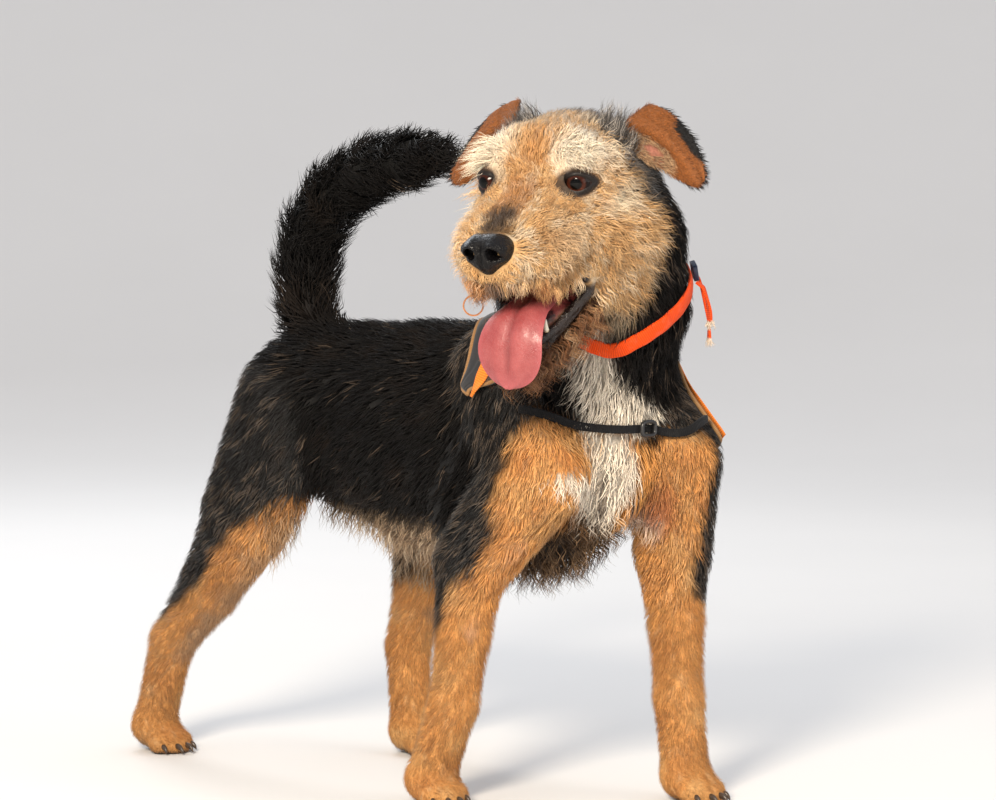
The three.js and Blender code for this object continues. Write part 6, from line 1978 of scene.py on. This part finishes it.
def ring_lock(name, look, colour):
    """The loose ring of hair under the nose, on the right side of the moustache."""
    rng = np.random.default_rng(77)
    N, seg = 16, 26
    top, mid = H(-12, 106, -60), H(-24.5, 99, -70.5)
    e1, e2 = unit(HV([0.88, -0.46, -0.09])), unit(HV([-0.04, -0.26, 0.96]))
    e3 = np.cross(e1, e2)
    t = np.linspace(0, 1, seg + 1)
    ang = 0.85 + t * 6.9
    r = 7.3 - 0.9 * t
    base = mid + e1 * (np.cos(ang) * r)[:, None] + e2 * (np.sin(ang) * r)[:, None] + e3 * (t * 2.4 - 1.2)[:, None]
    lead = smooth(0.0, 0.16, t)[:, None]
    base = base * lead + (top + (base[3] - top) * (t / t[3])[:, None]) * (1 - lead) * 1.0
    off = rng.normal(0, 0.26, (N, 3))
    fan = rng.normal(0, 0.7, (N, 3))
    nodes = base[:, None] + off[None] * (1 - 0.4 * t)[:, None, None] + fan[None] * (t ** 3)[:, None, None]
    al = unit(np.gradient(nodes, axis=0))
    sides = unit(np.cross(al, np.broadcast_to(e3, al.shape)))
    norms = np.cross(sides, al)
    uv = np.stack([np.linspace(0.05, 0.95, N), rng.uniform(0.05, 0.95, N)], 1)
    ob = hair_mesh(name, nodes, sides, norms, np.full(N, 0.44), colour * rng.uniform(0.7, 1.5, (N, 1)), uv, root_gain=0.8)
    ob.data.materials.append(look)
    COAT.append((name, N * (6 * (seg - 1) + 4)))


def pieces_of(region, look, idx, a, seg, uvt, limit=190000, **kw):
    """Splits one region's tufts round the body so that no piece is too heavy."""
    tri = 6 * (seg - 1) + 4
    turn, along = uvt
    parts = max(1, math.ceil(len(idx) * tri / limit))
    order = idx[np.argsort(turn[idx], kind="stable")]
    for k, ch in enumerate(np.array_split(order, parts)):
        if not len(ch):
            continue
        u, v = turn[ch], along[ch]
        u = 0.01 + 0.98 * (u - u.min()) / max(u.max() - u.min(), 1e-6)
        v = 0.01 + 0.98 * (v - v.min()) / max(v.max() - v.min(), 1e-6)
        name = f"coat_{region}" + (f"_{k + 1}" if parts > 1 else "")
        coat_piece(name, look, a["p"][ch], a["n"][ch], a["d"][ch], a["L"][ch], a["W"][ch], a["depth"][ch], seg, a["wave"][ch], a["lam"][ch], a["clump"][ch[0]] if False else a["clump"][ch],
                   a["pull"][ch], a["seed"], a["col"][ch], np.stack([u, v], 1), sway=a["sway"][ch], **kw)


def build_coat(V, faces, looks):
    T = np.concatenate([F if F.shape[1] == 3 else np.concatenate([F[:, [0, 1, 2]], F[:, [0, 2, 3]]]) for F in faces])
    A, B, C = V[T[:, 0]], V[T[:, 1]], V[T[:, 2]]
    mid = (A + B + C) / 3
    fn = np.cross(B - A, C - A)
    area = np.linalg.norm(fn, axis=1) / 2
    ds = part_ds(mid)
    w = weights(ds, 4.0)
    z = mid[:, 2]
    q = to_head(mid)
    leg_low = smooth(175, 120, z)
    leg = 0.25 + 0.38 * leg_low + 0.16 * smooth(46, 20, z)
    head = 0.54 + 0.16 * smooth(30, 60, q[:, 1]) - 0.16 * smooth(-10, -30, q[:, 1])
    dens = w @ np.array([0.116, 0.176, 0.140, 0, 0, 0, 0, 0, 0]) + w[:, 3:7].sum(1) * leg + w[:, 7:].sum(1) * head
    want = area * dens * COAT_SCALE
    rng = np.random.default_rng(11)
    run = np.cumsum(want)
    N = int(run[-1])
    pick = np.minimum(np.searchsorted(run, (np.arange(N) + rng.random(N)) * run[-1] / N), len(T) - 1)
    r = rng.random((N, 2))
    flip = r.sum(1) > 1
    r[flip] = 1 - r[flip]
    p = A[pick] + r[:, :1] * (B - A)[pick] + r[:, 1:] * (C - A)[pick]
    fnn = unit(fn)[pick]
    q = to_head(p)
    wet, lip, eye = bare(p, q)
    keep = (wet < 0.35) & (lip < 0.5) & (eye < 0.5) & ~((p[:, 2] < 2.0) & (fnn[:, 2] < -0.4)) & ~covered(p)
    near_nose = blend_d(NOSE_BONES, 5, p)
    keep &= near_nose > 0.4
    # nothing grows inside the roof of the mouth
    keep &= ~((bone_d(PALATE, p) < 3.0))
    p, fnn = p[keep], fnn[keep]
    g = sample(DG, p)
    n = unit(unit(g) + 0.35 * fnn)
    ds = part_ds(p)
    w = weights(ds, 4.0)
    q = to_head(p)
    x, y, zz = q[:, 0], q[:, 1], q[:, 2]
    ax = np.abs(x)
    z, f = p[:, 2], -p[:, 1]
    depth = depth_of(p, ds)
    col = markings(p, n, ds)
    d = flow(p, n, ds)
    grain = np.random.default_rng(14).random(len(p))
    dark = smooth(0.09, 0.03, col.mean(1))
    rough_in = np.clip(0.05 - 0.04 * w[:, 2] + 0.12 * smooth(250, 200, z) + 0.5 * w[:, 3] + 0.5 * w[:, 4] + 0.22 * w[:, 5] + 0.22 * w[:, 6] + 0.10 * w[:, 1] + 0.5 * smooth(-16, -2, -np.abs(y + 18)) * w[:, 7], 0, 0.6)
    strands, pick1, pick2 = features(p, 7.0, 19)
    mottled = (grain < 0.55) & (pick1 < rough_in)
    col = lay_on(col, dark * mottled * (0.8 - 0.35 * w[:, 0]), np.array([0.115, 0.085, 0.062]) * (0.6 + 0.9 * pick2)[:, None])
    reg = np.argmax(w, 1)
    reg = np.where(reg == 8, 7, reg)
    under = smooth(-0.2, -0.8, n[:, 2])
    low = smooth(175, 120, z)
    foot = smooth(52, 26, z)
    N = len(p)
    L, W, wave, lam, clump, pull, sway = (np.zeros(N) for _ in range(7))

    def put(m, l, wd, wv, lm, cl, pu, sw):
        L[m], W[m], wave[m], lam[m], clump[m], pull[m], sway[m] = l[m] if np.ndim(l) else l, wd[m] if np.ndim(wd) else wd, wv, lm, cl, pu, sw

    put(reg == 0, 19 + 6 * under, 1.35, 0.9, 14.0, 9.0, 0.34, 0.20)
    put(reg == 1, 20 + 0 * L, 1.3, 1.2, 13.0, 9.0, 0.36, 0.24)
    put(reg == 2, 29 + 0 * L, 1.3, 3.2, 12.0, 9.0, 0.55, 0.42)
    legs = (reg >= 3) & (reg <= 6)
    ll = 13 - 4.5 * low - 2.8 * foot
    lw = 0.90 - 0.32 * low - 0.06 * foot
    put(legs & (low < 0.5), ll, lw, 1.0, 11.0, 6.5, 0.30, 0.26)
    put(legs & (low >= 0.5), ll, lw, 0.0, 9.0, 4.5, 0.26, 0.26)
    hm = reg == 7
    bridge = smooth(24, 14, ax) * smooth(-26, -10, zz) * smooth(30, 50, y)
    cheek = smooth(20, -6, y) * smooth(20, 0, zz)
    hl = 12.0 - 5.5 * bridge + 6.5 * cheek
    eyed = np.minimum(*[np.linalg.norm(q - [s * EYE_AT[0], EYE_AT[1] + 8, EYE_AT[2]], axis=1) for s in (1, -1)])
    hl = hl * (1 - 0.5 * smooth(24, 14, eyed))
    hw = 0.80 - 0.16 * bridge - 0.18 * smooth(26, 14, eyed)
    put(hm, hl, hw, 1.5, 9.0, 5.0, 0.44, 0.42)
    up, lowl = lips(q)
    tache = hm & (up < 15) & (y > 54) & (zz < -30)
    beard = hm & (zz < -78) & (y > 24)
    chance = np.random.default_rng(12).random(N)
    # loose hair that stands out: brows, cheeks, temples, the roots of the ears
    ear_tuft = hm & (np.linalg.norm(np.stack([ax - 39, (y + 20) * 0.9, (zz - 32) * 0.7], 1), axis=1) < 17)
    browm = np.linalg.norm(np.stack([ax - 33, y - 33, zz - 21], 1), axis=1)
    brow = hm & (browm < 13) & (chance < 0.6) & (eyed > 13)
    cheeky = hm & ~ear_tuft & ~brow & (chance < 0.30) & (y < 36) & (zz < 30) & (zz > -84) & (ax > 30) & (eyed > 16)
    behind = (hm | (reg == 1)) & (w[:, 7:].sum(1) > 0.15) & ~ear_tuft & ~cheeky & (chance < 0.35) & (y < -4) & (zz < 26) & (zz > -80)
    brisk = (reg == 0) & (f > 66) & (f < 190) & (z < 214) & (np.abs(p[:, 0]) < 50) & (n[:, 2] < 0.15)
    flank = ((reg == 0) | ((reg >= 5) & (reg <= 6) & (z > 150))) & (f > -128) & (f <= 66) & (z < 214) & (n[:, 2] < 0.0) & (chance < 0.52) & (np.abs(p[:, 0]) < 84)
    order = np.argsort(CHEST[:, 0])
    strap_z = np.interp(p[:, 0], CHEST[order, 0], CHEST[order, 2])
    bib = ((reg <= 1) | (reg == 3) | (reg == 4)) & (col.mean(1) > 0.46) & (f > 110) & (chance > 0.40) & (z < strap_z - 4) & (z > 160) & ~flank & ~brisk
    names = ["trunk", "neck", "tail", "fore_left", "fore_right", "hind_left", "hind_right", "head"]
    a = dict(p=p, n=n, d=d, L=L, W=W, depth=depth, wave=wave, lam=lam, clump=clump, pull=pull, col=col, seed=0, sway=sway)
    for k, name in enumerate(names):
        m = reg == k
        if not m.any():
            continue
        a["seed"] = 100 + 7 * k
        turn, along = np.zeros(N), np.zeros(N)
        turn[m], along[m] = sleeve(name, p[m])
        uvt = (turn, along)
        dark = looks["black"] if k <= 2 else looks["tan"]
        if k == 2:
            pieces_of(name, dark, np.where(m)[0], a, 3, uvt, root_gain=0.5, tip_gain=1.5, lift=1.22)
        elif 3 <= k <= 6:
            pieces_of(name + "_upper", dark, np.where(m & (low < 0.5) & ~flank & ~bib)[0], a, 2, uvt, root_gain=0.86)
            pieces_of(name + "_lower", dark, np.where(m & (low >= 0.5))[0], a, 1, uvt, root_gain=0.92, tip_gain=1.08)
        elif k == 7:
            mside = hm & ~tache & ~beard & ~brow & ~cheeky & (chance > 0.62) & (y > 40) & (y < 100) & (zz < -14) & (zz > -56) & (ax > 22)
            long = beard | tache | ear_tuft | brow | cheeky | mside
            pieces_of("face", dark, np.where(m & ~long & (y > 46))[0], a, 3, uvt, root_gain=0.80)
            pieces_of("head", dark, np.where(m & ~long & (y <= 46))[0], a, 2, uvt, root_gain=0.80)
            sxx = np.sign(x) * smooth(0, 8, ax)
            zero = 0 * x
            way = HV(np.stack([0.25 * sxx, 0.30 + zero, -1.0 + zero], 1))
            curly = 1.1 + 1.3 * smooth(6, -14, x)
            tcol = lay_on(col, np.clip(0.75 * smooth(-0.1, 0.6, noise(p, 5, 71)) + 0.5 * smooth(2, -14, x), 0, 0.85), BROWN * 1.9)
            tcol = lay_on(tcol, 0.8 * smooth(9, 3, ax) * smooth(88, 96, y), np.array([0.11, 0.085, 0.07]))
            curl_piece("coat_moustache", dark, p, n, way, tcol, uvt, np.where(m & tache & ~beard)[0], 5, 12.5 + 3.5 * smooth(-6, -20, x) + 4.0 * noise(p, 6, 75), 0.60, 0.55, 0.9, curly, 13.0, 4.0, 0.38, 901, root_gain=0.7)
            way = HV(np.stack([0.55 * sxx + 0.25, 0.25 + zero, -1.0 + zero], 1))
            bcol = lay_on(col, 0.97 * smooth(-1.0, -0.1, noise(p, 6, 72)), BROWN * 0.72)
            bcol = lay_on(bcol, 0.55 * smooth(0.3, 0.8, noise(p, 4, 73)), np.array([0.40, 0.20, 0.085]))
            curl_piece("coat_beard", dark, p, n, way, bcol, uvt, np.where(m & beard)[0], 7, 24.0, 0.80, 0.80, 1.0, 3.5, 14.0, 7.5, 0.84, 902, root_gain=0.5, tip_gain=1.5)
            way = HV(np.stack([0.55 * sxx, -0.25 + zero, 0.95 + zero], 1))
            ecol = lay_on(col * 0 + GREY * 0.30, smooth(0.0, 0.7, noise(p, 3.0, 74)), np.array([0.60, 0.54, 0.48]))
            curl_piece("coat_ear_roots", dark, p, n, way, ecol, uvt, np.where(m & ear_tuft)[0], 4, 19.0, 0.52, 0.35, -0.15, 1.5, 15.0, 4.5, 0.45, 903, root_gain=0.8)
            way = HV(np.stack([0.95 * sxx, 0.35 + zero, 0.15 + zero], 1))
            curl_piece("coat_brows", dark, p, n, way, col * 1.06, uvt, np.where(m & brow)[0], 4, 15.0 + 5.0 * smooth(-20, -30, x), 0.60, 0.75, 0.5, 1.0, 14.0, 4.0, 0.45, 904, root_gain=0.85)
            way = HV(np.stack([0.35 * sxx, -0.45 + zero, -0.35 + zero], 1))
            curl_piece("coat_cheeks", dark, p, n, way, col * 1.04, uvt, np.where(m & cheeky)[0], 4, 17.0 + 6.0 * smooth(-20, -34, x) * smooth(-60, -20, zz), 0.66, 0.85 + 0.35 * smooth(-20, -34, x), 0.5, 1.6, 15.0, 5.0, 0.5, 905, root_gain=0.8)
            way = HV(np.stack([0.75 * sxx, 0.05 + zero, -0.62 + zero], 1))
            curl_piece("coat_muzzle_sides", dark, p, n, way, col, uvt, np.where(m & mside)[0], 4, 12.5, 0.56, 0.8, 0.5, 1.5, 12.0, 4.5, 0.45, 906, root_gain=0.8)
            ring_lock("coat_moustache_ring", dark, BROWN * 1.9)
        elif k == 0:
            pieces_of(name, dark, np.where(m & ~brisk & ~flank & ~bib)[0], a, 3, uvt, root_gain=0.55, tip_gain=1.4)
            zero = 0 * p[:, 0]
            way = P(0, 0.25, -1.0) + np.stack([0.3 * np.sign(p[:, 0]) * smooth(0, 20, np.abs(p[:, 0])), zero, zero], 1)
            tcol = lay_on(col * 0 + np.array([0.058, 0.038, 0.025]), 0.85 * smooth(-0.2, 0.5, noise(p, 6, 76)), np.array([0.32, 0.20, 0.11]))
            tcol = lay_on(col, smooth(214, 200, z), tcol)
            fcol = lay_on(col * 0 + np.array([0.44, 0.31, 0.20]), 0.8 * smooth(-0.1, 0.6, noise(p, 6, 78)), np.array([0.66, 0.54, 0.40]))
            fcol = lay_on(fcol, 0.5 * smooth(0.1, 0.7, noise(p, 9, 79)), np.array([0.20, 0.13, 0.08]))
            fcol = lay_on(col, smooth(212, 196, z + 4 * noise(p, 8, 80)) * smooth(66, 40, f) * (0.3 + 0.7 * smooth(-30, 10, -np.abs(p[:, 0]) + 60)), fcol)
            fturn, falong = np.zeros(N), np.zeros(N)
            fm = np.where(flank)[0]
            fturn[fm], falong[fm] = sleeve("trunk", p[fm])
            curl_piece("coat_flank", dark, p, n, P(0, -0.30, -1.0) + 0 * p, fcol, (fturn, falong), fm, 4, 15.0 + 8.0 * smooth(30, -60, f) + 5 * noise(p, 9, 81), 0.85, 0.22, 1.0, 1.9, 16.0, 6.0, 0.5, 908, root_gain=0.7, tip_gain=1.25)
            bm = np.where(bib)[0]
            bturn, balong = np.zeros(N), np.zeros(N)
            bturn[bm], balong[bm] = sleeve("trunk", p[bm])
            loose = d + 0.35 * np.stack([noise(p, 11, 82), zero, 0.5 * noise(p, 11, 83)], 1)
            curl_piece("coat_bib", dark, p, n, loose, np.clip(col * 1.10, 0, 0.95), (bturn, balong), bm, 4, 17.0 + 4 * noise(p, 9, 84), 0.85, 0.34, 0.8, 2.2, 15.0, 6.0, 0.5, 909, root_gain=0.85, tip_gain=1.15)
            curl_piece("coat_brisket", dark, p, n, way, tcol, uvt, np.where(m & brisk)[0], 5, 13.0 + 10.0 * smooth(205, 180, z) + 6 * noise(p, 8, 77), 0.90, 0.25, 1.0, 3.0, 15.0, 7.0, 0.70, 907, root_gain=0.6, tip_gain=1.5)
        else:
            pieces_of(name, dark, np.where(m & ~bib)[0], a, 3, uvt, root_gain=0.55, tip_gain=1.4)


def surface_tufts(name, look, V, faces, values, density, seg, make_way, colour, L, W, depth, keep=None, seed=1, uv=None, **kw):
    """Short hair on a small piece of its own, such as an ear. values: dict of per-vertex arrays."""
    T = np.concatenate([F if F.shape[1] == 3 else np.concatenate([F[:, [0, 1, 2]], F[:, [0, 2, 3]]]) for F in faces])
    A, B, C = V[T[:, 0]], V[T[:, 1]], V[T[:, 2]]
    fn = np.cross(B - A, C - A)
    area = np.linalg.norm(fn, axis=1) / 2
    rng = np.random.default_rng(seed)
    run = np.cumsum(area * density * COAT_SCALE)
    N = int(run[-1])
    pick = np.minimum(np.searchsorted(run, (np.arange(N) + rng.random(N)) * run[-1] / N), len(T) - 1)
    r = rng.random((N, 2))
    flip = r.sum(1) > 1
    r[flip] = 1 - r[flip]
    p = A[pick] + r[:, :1] * (B - A)[pick] + r[:, 1:] * (C - A)[pick]
    vn = vertex_normals(V, faces)
    wts = np.stack([1 - r.sum(1), r[:, 0], r[:, 1]], 1)
    n = unit((vn[T[pick]] * wts[..., None]).sum(1))
    vals = {k: (v[T[pick]] * (wts if v.ndim == 1 else wts[..., None])).sum(1) for k, v in values.items()}
    k = np.ones(N, bool) if keep is None else keep(p, n, vals)
    p, n = p[k], n[k]
    vals = {a: b[k] for a, b in vals.items()}
    d = make_way(p, n, vals)
    d = unit(d - n * (d * n).sum(1, keepdims=True))
    uvv = uv(p, vals)
    uvv = 0.01 + 0.98 * (uvv - uvv.min(0)) / np.maximum(np.ptp(uvv, axis=0), 1e-6)
    N = len(p)
    full = lambda v: np.asarray(v(p, vals) if callable(v) else np.full(N, float(v)))
    return coat_piece(name, look, p, n, d, full(L), full(W), full(depth), seg, kw.pop("wave", 0.3), kw.pop("lam", 8.0), kw.pop("clump", 4.0), kw.pop("pull", 0.25), seed,
                      colour(p, n, vals), uvv, follow=False, **kw)


COAT_SCALE = 0.985


def main():
    looks = dict(black=coat_look("coat_black", 0.52, 0.012, 0.11), tan=coat_look("coat_tan", 0.62, 0.10, 0.24), skin=skin_look(), eye=eye_look(), lid=lid_look(), nose=nose_look(), tongue=tongue_look(),
                 tooth=tooth_look(), claw=claw_look(),
                 orange=webbing_look("orange_webbing", (0.86, 0.085, 0.0025), (0.52, 0.028, 0.0015)),
                 band=webbing_look("orange_band", (0.86, 0.25, 0.03), (0.50, 0.11, 0.01), 0.7, 1.3),
                 strap=webbing_look("black_webbing", (0.0085, 0.0085, 0.0095), (0.0035, 0.0035, 0.004), 0.7, 1.2, worn=0.016),
                 piping=webbing_look("brown_piping", (0.36, 0.20, 0.085), (0.20, 0.10, 0.04), 0.75, 0.9),
                 pad=yoke_look(), blue=plastic_look("blue_plastic", (0.012, 0.022, 0.055), 0.32), dark=plastic_look("black_plastic", (0.012, 0.012, 0.013), 0.36),
                 fray=plastic_look("frayed_yarn", (0.62, 0.52, 0.42), 0.9))
    V, faces = build_skin()
    N = vertex_normals(V, faces)
    ds = part_ds(V)
    q = to_head(V)
    wet, lip, eye = bare(V, q)
    wsk = weights(ds, 5.0)
    # painted shade: the skin takes the coat's colour darkened, most on the body and less on the head and legs, as the
    # shade under the coat
    col = markings(V, N, ds) * (0.55 + 0.27 * np.clip(wsk[:, 7:].sum(1) + wsk[:, 3:7].sum(1), 0, 1))[:, None]
    pad = smooth(5.0, 2.5, V[:, 2]) * smooth(-0.2, -0.7, N[:, 2])
    col = lay_on(col, pad, np.array([0.03, 0.024, 0.022]))
    col = lay_on(col, eye * 0.9, np.array([0.02, 0.011, 0.008]))
    gum = smooth(3.5, 6.5, np.minimum(*lips(q))) * np.maximum(wet, 0)
    skin = make("skin", V, faces)
    put_color(skin, "skin", col)
    put_float(skin, "wet", np.clip(wet, 0, 1))
    put_float(skin, "lip", np.clip(lip * (1 - 0.0 * gum), 0, 1))
    flesh = ["head", "jaw", "neck", "trunk", "tail_base", "tail_middle", "tail_tip"] + [f"{a}_{b}_{c}" for a in ("fore", "hind") for b in ("left", "right") for c in ("upper", "lower", "paw")]
    dress(skin, looks["skin"], *flesh)
    build_coat(V, faces, looks)

    for s in (1, -1):
        dress(eyeball(s), looks["eye"], "eye_left" if s > 0 else "eye_right")
        ob, LV, LF, ring = lids(s)
        dress(ob, looks["lid"])
        c = H(EYE_AT[0] * s, EYE_AT[1], EYE_AT[2])
        f = eye_axes(s)[1]
        surface_tufts("coat_lid_left" if s > 0 else "coat_lid_right", looks["tan"], LV, LF, dict(ring=ring), 1.0, 2,
                      lambda p, n, v: unit((p - c) - f * ((p - c) @ f)[:, None]) + unit(-HF * 0.8 + 0.3 * s * HL),
                      lambda p, n, v: lay_on(markings(p, n, part_ds(p)), smooth(6, 3, v["ring"]) * 0.6, np.array([0.16, 0.06, 0.02])),
                      lambda p, v: 2.2 + 0.45 * v["ring"], 0.5, 0.9, keep=lambda p, n, v: (v["ring"] > 3.4) & (v["ring"] < 10.5), seed=31 + s, uv=lambda p, v: np.stack([(p - c) @ HL, (p - c) @ HU], 1))
        drop, reach = (19, 101) if s > 0 else (24, 92)
        ob, EV, EF, tt, vv, inner, pink, cup, front = ear_piece(s, drop, reach)
        dress(ob, looks["skin"], "ear_left" if s > 0 else "ear_right")
        way = unit(H(reach * s, -14, 22 - drop) - H(40 * s, -30, 22))

        def colour(p, n, v):
            a = lay_on(np.tile(BLACK * 1.2, (len(p), 1)), smooth(0.3, 0.7, v["front"]), RUST * 1.1)
            a = lay_on(a, smooth(0.3, 0.7, v["cup"]) * 0.85, np.array([0.50, 0.33, 0.19]))
            return a * (1 + 0.22 * noise(p, 4, 61))[:, None]

        surface_tufts("coat_ear_left" if s > 0 else "coat_ear_right", looks["tan"], EV, EF, dict(t=tt, v=vv, inner=inner, pink=pink, cup=cup, front=front), 0.78, 2,
                      lambda p, n, v: way + HV([0, 0, 0]) + unit(HF * -0.5) * 0.5 * (v["v"] - 0.3)[:, None], colour,
                      lambda p, v: 3.8 + 3.6 * (1 - v["inner"]) + 6.0 * v["cup"], 0.58, lambda p, v: 0.7 + 0.7 * (1 - v["inner"]) + 2.6 * v["cup"], keep=lambda p, n, v: v["pink"] < 0.5, seed=41 + s,
                      uv=lambda p, v: np.stack([v["inner"] * 0.5 + 0.49 * v["v"], v["t"]], 1), wave=0.3)
    dress(nose_piece(), looks["nose"], "nose")
    dress(tongue_piece(), looks["tongue"], "tongue")
    dress(teeth_piece(), looks["tooth"])
    dress(claws_piece(), looks["claw"])
    collar_pieces(looks["orange"], looks["blue"], looks["fray"])
    yoke_pieces(looks["pad"], looks["piping"], looks["band"])
    strap_pieces(looks["strap"], looks["dark"])
    print("COAT", sum(t for _, t in COAT), COAT)


main()

# ---------- room, light, camera ----------
n = 96
_a = np.arange(n) / n * 2 * math.pi
_r = [1.0, 2.2] + list(2.2 + 5.2 * np.linspace(0, 1, 25)[1:])
_h = [3.2 * smooth(2.2, 7.4, np.array(r)) * max(0.0, (r - 2.2) / 5.2) ** 0.6 if r > 2.2 else 0.0 for r in _r]
fv = np.concatenate([[[0, 0, 0]]] + [np.stack([r * np.cos(_a), r * np.sin(_a), 0 * _a + h], 1) for r, h in zip(_r, _h)]) * 1000
j = np.arange(n)
k = (j + 1) % n
floor = make("studio_floor", fv - SHIFT, [np.stack([np.zeros(n, int), 1 + j, 1 + k], 1)] + [np.stack([1 + i * n + j, 1 + (i + 1) * n + j, 1 + (i + 1) * n + k, 1 + i * n + k], 1) for i in range(len(_r) - 1)])
floor.data.materials.append(floor_look())

scene = bpy.context.scene
scene.view_settings.view_transform = "Standard"
world = bpy.data.worlds.new("studio")
scene.world = world
world.use_nodes = True
bg = world.node_tree.nodes["Background"]
bg.inputs["Color"].default_value = (0.93, 0.945, 1.0, 1)
bg.inputs["Strength"].default_value = 0.80


def area(name, at, to, size, watts, colour):
    L = bpy.data.lights.new(name, "AREA")
    L.shape, L.size, L.energy, L.color = "DISK", size, watts, colour
    ob = bpy.data.objects.new(name, L)
    scene.collection.objects.link(ob)
    ob.location = at
    d = unit(np.array(to) - np.array(at))
    yaw, pitch = math.atan2(d[0], -d[1]), math.acos(-d[2])
    ob.rotation_euler = (pitch, 0, yaw + math.pi)
    return ob


area("key", (-1.9, -1.15, 1.35), (0, -0.05, 0.28), 0.6, 84, (1.0, 0.88, 0.72))
area("fill", (0.9, -2.2, 0.9), (0, 0, 0.25), 1.6, 14, (1.0, 0.95, 0.9))
area("back", (0.8, 1.8, 1.7), (0, 0, 0.3), 1.2, 22, (0.92, 0.96, 1.0))

cam = bpy.data.cameras.new("camera")
cam.lens, cam.sensor_width = 149.6, 36.0
cam_ob = bpy.data.objects.new("camera", cam)
scene.collection.objects.link(cam_ob)
cam_ob.location = (P(-2127.5, -2255, 523) * [1, -1, 1] * [1, 1, 1] + SHIFT) / 1000 if False else (np.array([-2127.5, -2255.0, 523.0]) + SHIFT) / 1000
cam_ob.rotation_euler = (math.radians(90 - 4.352), 0, -math.radians(44))
scene.camera = cam_ob
